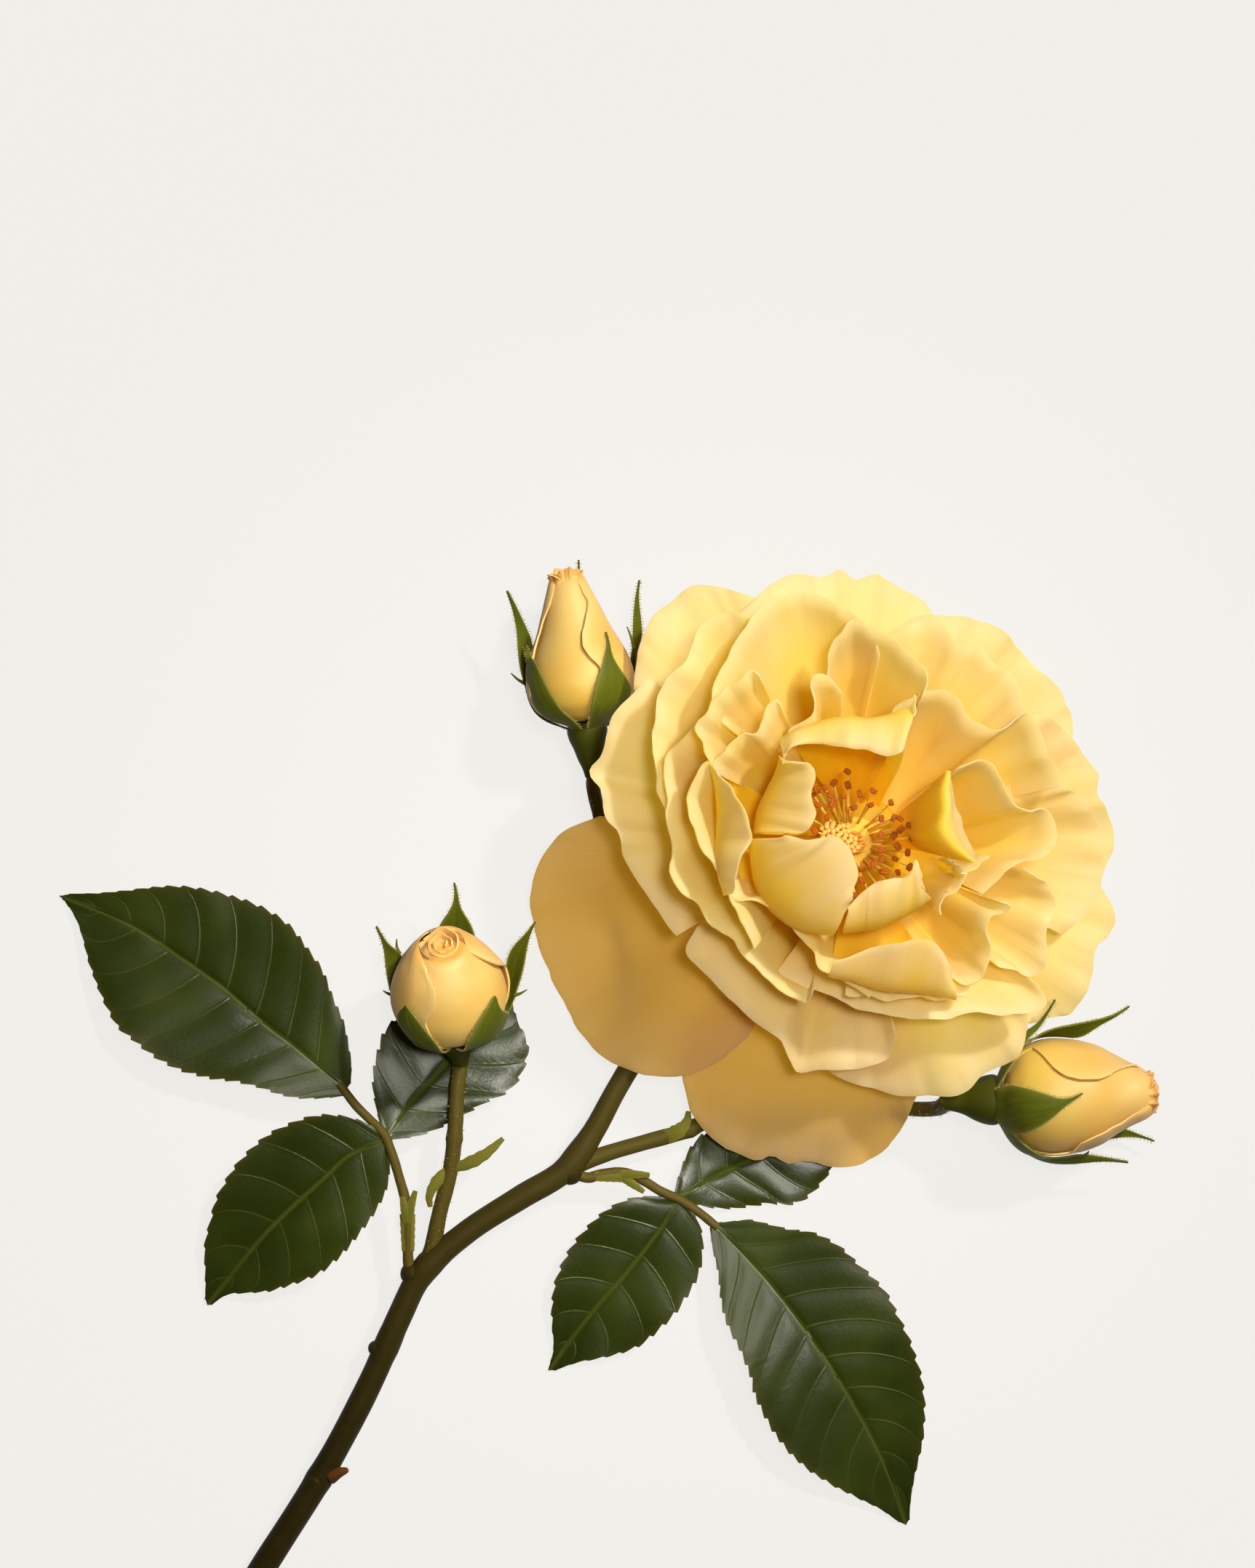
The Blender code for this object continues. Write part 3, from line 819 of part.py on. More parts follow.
# Leaves: the stalk, its wings and points, and each leaflet's midrib with heights and its two edges.
LEFT_LEAF = {
    "stalk": [(-79.9, -74.5, 6.05), (-79.9, -70, 6.6), (-80.2, -65, 6.9), (-81.5, -60, 6.9), (-82.7, -56, 7),
              (-84.2, -52.4, 6.6), (-86.5, -50, 6.2), (-89, -47.5, 5.8), (-92, -43.5, 5.4)],
    "points": [([(-80, -68, 7.3), (-80.5, -65.6, 7.8), (-81, -63.4, 7.9)], [1.5, 1.4, 0.7]),
               ([(-79.9, -68, 7.3), (-79.4, -65, 7.8), (-78.6, -62.4, 7.8)], [1.5, 1.4, 0.7])],
    "wing": ([(-79.9, -73, 6.7), (-80, -66.5, 7.2)], [2.1, 2.6]),
    "leaflets": [
        {"midrib": [(-90.8, -44.6, 5.5), (-100, -37, 5.4), (-106, -32.5, 5), (-113, -26.5, 4.4),
                    (-120, -21.5, 3.5), (-128, -16, 2.4), (-132, -14, 1.7), (-141.2, -10.5, 0.3)],
         "left": [(-91.2, -45.8), (-95, -46.2), (-99.5, -46.2), (-103, -45.5), (-106, -44.5), (-110, -43.5),
                  (-115, -42.8), (-120, -41.5), (-124, -39.5), (-128, -36.5), (-131, -34), (-133, -30.5),
                  (-134.5, -27), (-136, -23), (-137, -19), (-138.2, -15), (-140, -11.6)],
         "right": [(-90, -43.4), (-89.8, -40), (-90.2, -37), (-91, -33), (-93, -28), (-95, -23),
                   (-97.5, -19.5), (-100, -16), (-104, -13), (-110, -10.5), (-115, -9.2), (-120, -8.6),
                   (-125, -8.8), (-130, -9.5), (-135, -10), (-139.4, -10.2)], "fold": 1.2, "rows": 17},
        {"midrib": [(-83.2, -53.4, 6.7), (-90, -56, 6.4), (-95, -60.5, 5.8), (-100, -65, 4.8), (-105, -70, 3.5),
                    (-110, -76, 2), (-115.2, -82.5, 0.3)],
         "left": [(-83.2, -54.6), (-83, -58), (-83.5, -62), (-86, -67), (-89, -71), (-92, -74.5),
                  (-96, -77.5), (-100, -79), (-104, -80.2), (-108, -80.5), (-112, -80.8), (-114.4, -82.4)],
         "right": [(-84, -52.6), (-88, -50), (-92, -49), (-95, -48.8), (-100, -50), (-105, -52.5),
                   (-109, -56), (-112, -60), (-114, -64), (-115, -68), (-115.8, -71.5), (-115.7, -77),
                   (-115.6, -81.4)], "fold": 1.0, "rows": 15},
        {"midrib": [(-83.6, -52.8, 6.6), (-79.5, -47, 4.1), (-75, -42, 3), (-70, -36, 2.4), (-68, -33, 2),
                    (-63.5, -24, 0.3)],
         "left": [(-84.6, -51.8), (-85.6, -48), (-86.3, -44), (-86.2, -41), (-85.3, -37), (-84.5, -34.5),
                  (-82.5, -32), (-78, -28), (-70, -24.4), (-64.6, -23.2)],
         "right": [(-82.6, -53.4), (-78, -52.8), (-75, -51.8), (-71, -49.8), (-66, -47), (-62, -45),
                   (-60.3, -43), (-59, -40), (-58.5, -38), (-59, -35.5), (-60.5, -32.5), (-61.5, -29),
                   (-62.5, -25)], "fold": 0.2, "rows": 15},
    ],
}
RIGHT_LEAF = {
    "stalk": [(-48.3, -60.1, 5.3), (-46, -59.5, 5.2), (-41, -59.4, 4.9), (-38.5, -60.6, 4.7),
              (-35.6, -62.4, 4.4), (-32.3, -63.9, 4.2), (-29, -66, 4.1), (-25.4, -68.9, 4.1)],
    "points": [([(-42.6, -59.6, 5.6), (-40, -59.5, 6), (-37.4, -59.6, 6)], [1.5, 1.3, 0.7]),
               ([(-42.4, -59.8, 5.5), (-40.4, -61.2, 5.8), (-38.4, -62.6, 5.6)], [1.5, 1.3, 0.7])],
    "wing": ([(-47, -59.9, 5.8), (-41.6, -59.8, 5.5)], [1.5, 2.1]),
    "leaflets": [
        {"midrib": [(-32, -64, 4.1), (-35, -68.5, 4), (-38, -72.5, 3.7), (-42, -77.5, 3), (-46, -82, 2.2),
                    (-50, -87, 1.3), (-55.2, -94, 0.3)],
         "left": [(-31.2, -64.8), (-29.5, -66.5), (-28, -70), (-27.8, -73), (-28.5, -77), (-30.5, -81),
                  (-33, -84.5), (-35.5, -87), (-38.5, -89.5), (-42, -91), (-46, -92), (-50, -92.7),
                  (-54, -94)],
         "right": [(-33, -63.6), (-37, -63.2), (-41, -63.6), (-45, -65.5), (-49, -69), (-52, -73),
                   (-54, -77.5), (-54.8, -82), (-54.7, -86), (-54.3, -89), (-54.8, -93)],
         "fold": 1.0, "rows": 15},
        {"midrib": [(-32.4, -63.4, 4.1), (-29.5, -62, 2.2), (-27, -60.5, 1.0), (-21, -57.5, 0.6),
                    (-14, -55, 0.5), (-2, -51, 0.4)],
         "left": [(-33.2, -62.8), (-32, -58.6), (-30.4, -54.8), (-28.5, -52.5), (-25, -50.5), (-20, -48.8),
                  (-14, -48), (-8, -48.4), (-2.6, -50)],
         "right": [(-31.6, -64.2), (-27, -65.4), (-23, -65.7), (-19, -65.2), (-16, -64.8), (-13, -65.1),
                   (-10.5, -64.4), (-8.5, -62.8), (-6.5, -60.5), (-5, -58.2), (-3.5, -55.5), (-1.6, -52)],
         "fold": 0.0, "rows": 15},
        {"midrib": [(-26.2, -68.3, 4.1), (-20, -74.5, 4.6), (-13, -83, 5), (-3.5, -97, 4.5), (1, -104.5, 3.2),
                    (5, -113, 1.5), (7.7, -121.2, 0.3)],
         "left": [(-25, -68), (-22, -67.6), (-20, -67.4), (-17, -68), (-13, -69), (-9, -69.5), (-5, -71.2),
                  (0, -75.5), (4, -79.5), (7, -85), (9.5, -91), (11, -97), (11.2, -102), (10.7, -107),
                  (9.5, -112), (8.7, -116), (8.3, -120.2)],
         "right": [(-26.8, -69), (-26.5, -72), (-25.5, -77), (-25, -82), (-24, -86), (-22, -90), (-20, -95),
                   (-19, -99), (-17, -103), (-14, -107.5), (-10.5, -111), (-6, -114), (-1, -116.5),
                   (3, -118.4), (6.4, -120.6)], "fold": 1.2, "rows": 17},
    ],
}
TOOTH_DEEP = 0.85
LEAF_STALK_RADIUS = 0.95


def leaflet_grid(leaflet, rows):
    """The grid of a leaflet's blade: rows from base to tip, columns from one toothed edge to the other."""
    midrib = smooth(leaflet["midrib"], rows)
    share = np.linspace(0, 1, rows)
    swell = np.sin(math.pi * np.clip(share, 0.02, 0.98)) ** 0.6
    columns = []
    for edge, outward in (("left", True), ("left", False), (None, True), ("right", False), ("right", True)):
        if edge is None:
            columns.append(plan(midrib))
            continue
        points = smooth([(x, y, 0) for x, y in leaflet[edge]], rows)
        away = points - midrib * (1, 1, 0)
        wide = np.linalg.norm(away, axis=1, keepdims=True)
        notch = TOOTH_DEEP * swell * (np.arange(rows) % 2) / np.maximum(wide[:, 0], TOOTH_DEEP)
        reach = (1 - notch if outward else np.full(rows, 0.5))[:, None]
        points = midrib * (1, 1, 0) + away * reach
        rise = leaflet["fold"] * swell * (1.0 if outward else 0.35)
        points[:, 2] = midrib[:, 2] + rise
        columns.append(plan(points))
    grid = np.stack(columns, axis=1)
    grid[:, :, 2] = np.maximum(grid[:, :, 2], LEAF_THICK / 2 - 0.05)
    return grid


def make_leaf(name, leaf):
    """A leaf of three leaflets on its stalk, in one node."""
    path = smooth(plan(leaf["stalk"]), len(leaf["stalk"]) + 3)
    shapes = [tube(path, np.linspace(LEAF_STALK_RADIUS, LEAF_STALK_RADIUS * 0.8, len(path)), 6)]
    for leaflet in leaf["leaflets"]:
        shapes.append(blade(leaflet_grid(leaflet, leaflet["rows"]), LEAF_THICK))
    for spine, widths in leaf["points"] + [leaf["wing"]]:
        shapes.append(strap(plan(spine), widths, 3, SEPAL_THICK, 0.12))
    obj = fuse(name, shapes, "MANIFOLD")
    rest_on_table(obj, "MANIFOLD")
    finish(obj, (0.12, 0.20, 0.08), 0.45)


def main():
    for old in list(bpy.data.objects):
        bpy.data.objects.remove(old)
    make_stem()
    make_leaf("leaf_left", LEFT_LEAF)
    make_leaf("leaf_right", RIGHT_LEAF)
    make_bloom_calyx()
    make_bloom_petals()
    make_bloom_stamens()
    make_bloom_pistil()
    for bud in BUDS:
        make_bud(bud)
    middle = (MIDDLE_X * MM, MIDDLE_Y * MM, 0.0)
    for obj in bpy.context.scene.collection.objects:
        for vertex in obj.data.vertices:
            vertex.co.x -= middle[0]
            vertex.co.y -= middle[1]


if __name__ == "__main__":
    main()
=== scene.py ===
"""Looks of the cut rose spray: fine petals, leaves, buds and stem for the plain solids, and the light.

The plan is drawn in millimetres on the table, from the middle of the open bloom. Each point of it is where a
thing seems to lie to the camera, and seen_at() moves it to its own height, as in the solid model.
"""

import math
import random

import bmesh
import bpy
import numpy as np
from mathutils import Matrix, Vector


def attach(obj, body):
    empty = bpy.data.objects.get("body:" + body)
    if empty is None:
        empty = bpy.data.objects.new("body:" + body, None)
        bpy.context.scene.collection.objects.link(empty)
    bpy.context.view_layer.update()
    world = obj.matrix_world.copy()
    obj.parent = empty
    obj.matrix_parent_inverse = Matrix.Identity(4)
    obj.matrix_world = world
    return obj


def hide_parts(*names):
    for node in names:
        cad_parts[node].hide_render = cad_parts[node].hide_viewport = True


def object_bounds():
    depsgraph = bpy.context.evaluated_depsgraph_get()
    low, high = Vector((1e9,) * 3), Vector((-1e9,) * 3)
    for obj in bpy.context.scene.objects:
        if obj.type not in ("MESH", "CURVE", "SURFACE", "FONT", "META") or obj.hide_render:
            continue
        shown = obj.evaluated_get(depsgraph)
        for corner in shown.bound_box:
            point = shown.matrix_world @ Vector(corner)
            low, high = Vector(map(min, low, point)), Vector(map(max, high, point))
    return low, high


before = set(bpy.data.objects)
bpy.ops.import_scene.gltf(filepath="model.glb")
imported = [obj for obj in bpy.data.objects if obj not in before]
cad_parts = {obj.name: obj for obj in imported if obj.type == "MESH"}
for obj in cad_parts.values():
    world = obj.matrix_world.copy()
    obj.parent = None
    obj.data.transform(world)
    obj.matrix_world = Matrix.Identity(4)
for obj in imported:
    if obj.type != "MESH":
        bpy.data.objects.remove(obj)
cad_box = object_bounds()

MM = 0.001
UP = np.array((0.0, 0.0, 1.0))
FULL_TURN = 2 * math.pi
GOLDEN_ANGLE = 137.508
SHARP_ANGLE = math.radians(60)
SEED = 7

# The camera over the spray, the middle of the spray's box in the plan, and the photo's height on the table.
EYE_HEIGHT = 920.0
EYE_X = -41.3
EYE_Y = 9.2
MIDDLE_X = -46.8
MIDDLE_Y = -70.3
FRAME_TALL = 276.0
SENSOR_TALL = 36.0

# The open bloom: its middle, its seat and core, the gap between its parts, and how its petals' roots stand.
BLOOM_X = -2.6
BLOOM_Y = -1.0
BLOOM_FOOT = (BLOOM_X, BLOOM_Y, 0)
BLOOM_SEAT = 24.8
BLOOM_CORE_TOP = 30.5
BLOOM_CORE_RADIUS = 8.6
GAP = 0.3
ROOT_HEIGHTS = (25.6, 29.9)
ROOT_REACHES = (5.8, 6.9)
ROOT_SPREAD = 0.55
LEAST_ROOT_SPREAD = math.radians(16)

# A petal's blade: its steps round and out, its thickness, its waves and folds, and the rolled lip of its rim.
PETAL_ROUND = 56
PETAL_OUT = 30
RIM_CROWDING = 1.6
PETAL_THIN = 0.30
PETAL_THICK_ROOT = 0.60
RUFFLE = 0.34
RIM_WAVES = 0.15
FOLDS = 0.24
LIP_RADIUS = 0.7
LIP_LONG = 1.9
LIP_TURN = 1.7

# The first petal of the bloom's middle and inner pieces, how many petals keep the outermost or innermost
# colour, the petals in the others' shade, whose colour is darkened with painted shade, and where the one
# with a hidden root starts to show.
MIDDLE_FROM = 8
INNER_FROM = 22
PLAIN_PETALS = 7
SHADED_PETALS = ("outer_left", "outer_bottom")
FLAME_STARTS = PETAL_OUT * 9 // 20

# Stamens and pistil. The two profiles are of (radius, height).
STAMEN_DISC_RADIUS = 4.8
STAMEN_DISC_THICK = 1.5
STAMEN_REACH = 8.2
STAMEN_HEIGHT = 41.0
STAMENS_APART = 1.5
MORE_STAMENS = 64
PISTIL_RADIUS = 2.9
PISTIL_HEIGHT = 3.6
STIGMAS = 44
ANTHER = [(0, 0), (0.22, 0.1), (0.38, 0.45), (0.42, 0.95), (0.36, 1.45), (0.2, 1.8), (0, 1.9)]
STIGMA = [(0, -0.24), (0.36, -0.1), (0.50, 0.14), (0.40, 0.42), (0, 0.55)]

# Buds, sepals, stem and hairs. TABLE_CLEAR is how far any blade stays over the table.
WRAP_THIN = 0.34
CURL_THIN = 0.3
SEPAL_THIN = 0.34
SEPAL_CLEAR = 0.5
BLOOM_SEPALS = 5
BLOOM_SEPALS_TURN = 40.6
STRAP_COLUMNS = 9
STEM_STEPS = 130
HAIR_LONG = 0.55
SEPAL_HAIR_RADIUS = 0.05
STALK_HAIR_RADIUS = 0.045
TABLE_CLEAR = 0.02

# Leaflets: thickness, teeth, cushions between the side veins, and how those veins lean and bend to the tip.
LEAF_THIN = 0.34
LEAF_STALK_RADII = [0.95, 0.76]
LEAF_ROWS = 171
LEAF_COLUMNS = np.array([0, 0.04, 0.11, 0.20, 0.30, 0.41, 0.52, 0.63, 0.74, 0.84, 0.92, 0.97, 1])
TOOTH_LONG = 2.5
TOOTH_DEEP = 0.68
QUILT = 0.28
VEIN_STEP = 6.5
FEWEST_VEINS = 6.0
VEIN_LEAN = 0.10
VEIN_BEND = 0.06
VEIN_SHIFT = 0.02


def seen_at(x, y, z):
    """The point at height z that lines up with (x, y) of the table, seen from the camera."""
    shrink = (EYE_HEIGHT - z) / EYE_HEIGHT
    return (EYE_X + (x - EYE_X) * shrink, EYE_Y + (y - EYE_Y) * shrink, z)


def plan(points):
    """The true places of points of the plan with their heights."""
    return np.array([seen_at(*p) for p in points])


def smooth(points, count):
    """count points at even steps along a smooth curve through the given ones."""
    pts = np.asarray(points, float)
    steps = np.linalg.norm(np.diff(pts, axis=0), axis=1)
    at = np.concatenate([[0.0], np.cumsum(steps)])
    slopes = np.gradient(pts, at, axis=0)
    t = np.linspace(0.0, at[-1], count)
    i = np.clip(np.searchsorted(at, t, side="right") - 1, 0, len(pts) - 2)
    h = (at[i + 1] - at[i])[:, None]
    s = (t - at[i])[:, None] / h
    ends = (1 + 2 * s) * (1 - s) ** 2 * pts[i] + s * s * (3 - 2 * s) * pts[i + 1]
    bends = s * (1 - s) ** 2 * h * slopes[i] + s * s * (s - 1) * h * slopes[i + 1]
    return ends + bends


def unit(v):
    return v / np.maximum(np.linalg.norm(v, axis=-1, keepdims=True), 1e-9)


def length_of(path):
    return np.linalg.norm(np.diff(path, axis=0), axis=1).sum()


def steps_down(low, high, count):
    """Even steps from low to high as a column, one for each row of a grid."""
    return np.linspace(low, high, count)[:, None]


def steps_over(low, high, count):
    """Even steps from low to high as a row, one for each column of a grid."""
    return np.linspace(low, high, count)[None, :]


def sheet_normals(grid):
    return unit(np.cross(np.gradient(grid, axis=0), np.gradient(grid, axis=1)))


def over_table(grid, thick):
    """A blade's grid, lifted where the blade would reach under the table."""
    grid[:, :, 2] = np.maximum(grid[:, :, 2], thick / 2 + TABLE_CLEAR)
    return grid


def grid_faces(rows, cols, start, flip):
    """Quads over a grid of points numbered row by row."""
    i, j = np.meshgrid(np.arange(rows - 1), np.arange(cols - 1), indexing="ij")
    a = (i * cols + j).reshape(-1) + start
    quads = np.stack([a, a + cols, a + cols + 1, a + 1], axis=1)
    return (quads[:, ::-1] if flip else quads).tolist()


def sheet(grid, thick, **values):
    """A closed thin blade on a grid: (vertices, faces, values at the vertices)."""
    rows, cols = grid.shape[:2]
    half = sheet_normals(grid) * (np.broadcast_to(thick, (rows, cols)) / 2)[:, :, None]
    verts = np.concatenate([(grid + half).reshape(-1, 3), (grid - half).reshape(-1, 3)])
    under = rows * cols
    faces = grid_faces(rows, cols, 0, False) + grid_faces(rows, cols, under, True)
    edge = list(range(cols))
    edge += [i * cols + cols - 1 for i in range(1, rows)]
    edge += [(rows - 1) * cols + j for j in range(cols - 2, -1, -1)]
    edge += [i * cols for i in range(rows - 2, 0, -1)]
    for p, q in zip(edge, edge[1:] + edge[:1]):
        faces.append([p, q, q + under, p + under])
    spread = {key: np.tile(np.broadcast_to(v, (rows, cols)).reshape(-1), 2) for key, v in values.items()}
    return verts, faces, spread


def rings_shape(rings, first=None, last=None, **values):
    """A closed shape over rings of points. first and last are end points, or None for flat ends."""
    count, sides = rings.shape[:2]
    verts = rings.reshape(-1, 3)
    faces = []
    for i in range(count - 1):
        for k in range(sides):
            a, b = i * sides + k, i * sides + (k + 1) % sides
            faces.append([a, b, b + sides, a + sides])
    spread = {key: np.repeat(np.broadcast_to(v, count), sides) for key, v in values.items()}
    for point, row, flip in ((first, 0, True), (last, (count - 1) * sides, False)):
        ring = [row + k for k in range(sides)]
        if point is None:
            faces.append(ring[::-1] if flip else ring)
            continue
        verts = np.concatenate([verts, [point]])
        spread = {key: np.append(v, v[row]) for key, v in spread.items()}
        for k in range(sides):
            face = [ring[k], ring[(k + 1) % sides], len(verts) - 1]
            faces.append(face[::-1] if flip else face)
    return verts, faces, spread


def tube(path, radii, sides, **values):
    """A closed round tube along a path, with values given along it."""
    path = np.asarray(path, float)
    along = unit(np.gradient(path, axis=0))
    across = np.cross(along[0], UP)
    if np.linalg.norm(across) < 0.1:
        across = np.array((1.0, 0.0, 0.0))
    angles = FULL_TURN * np.arange(sides) / sides
    rings = []
    for p, t, r in zip(path, along, np.broadcast_to(radii, len(path))):
        across = unit(across - t * np.dot(across, t))
        up = np.cross(across, t)
        rings.append(p + r * (np.cos(angles)[:, None] * across + np.sin(angles)[:, None] * up))
    return rings_shape(np.array(rings), **values)


def turned(profile, sides, foot, axis, **values):
    """A turned solid from a profile of (radius, height), whose first and last points lie on its axis."""
    axis = unit(np.asarray(axis, float))
    side = UP - axis * np.dot(UP, axis)
    side = unit(side) if np.linalg.norm(side) > 0.1 else np.array((1.0, 0.0, 0.0))
    third = np.cross(axis, side)
    foot = np.asarray(foot, float)
    angles = FULL_TURN * np.arange(sides) / sides
    rings = []
    for r, h in profile[1:-1]:
        ring = (r * np.cos(angles))[:, None] * side + (r * np.sin(angles))[:, None] * third
        rings.append(foot + axis * h + ring)
    return rings_shape(np.array(rings), foot + axis * profile[0][1], foot + axis * profile[-1][1], **values)


def make_piece(name, parts, material, node):
    """One object of many closed shapes, which rides on the spray and stands for the given solid."""
    verts, faces, start = [], [], 0
    spread = {key: [] for key in sorted({key for part in parts for key in part[2]})}
    for part_verts, part_faces, values in parts:
        verts.append(part_verts)
        faces += [[v + start for v in face] for face in part_faces]
        start += len(part_verts)
        for key, arrays in spread.items():
            arrays.append(values.get(key, np.zeros(len(part_verts))))
    points = (np.concatenate(verts) - (MIDDLE_X, MIDDLE_Y, 0)) * MM
    points = np.clip(points, np.array(cad_box[0]), np.array(cad_box[1]))
    mesh = bpy.data.meshes.new(name)
    mesh.from_pydata(points.tolist(), [], faces)
    for key, arrays in spread.items():
        layer = mesh.attributes.new(key, "FLOAT", "POINT")
        layer.data.foreach_set("value", np.concatenate(arrays).astype(np.float32))
    bm = bmesh.new()
    bm.from_mesh(mesh)
    bmesh.ops.recalc_face_normals(bm, faces=bm.faces)
    bm.to_mesh(mesh)
    bm.free()
    mesh.shade_smooth()
    mesh.set_sharp_from_angle(angle=SHARP_ANGLE)
    mesh.materials.append(material)
    obj = bpy.data.objects.new(name, mesh)
    bpy.context.scene.collection.objects.link(obj)
    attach(obj, "root")
    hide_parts(node)

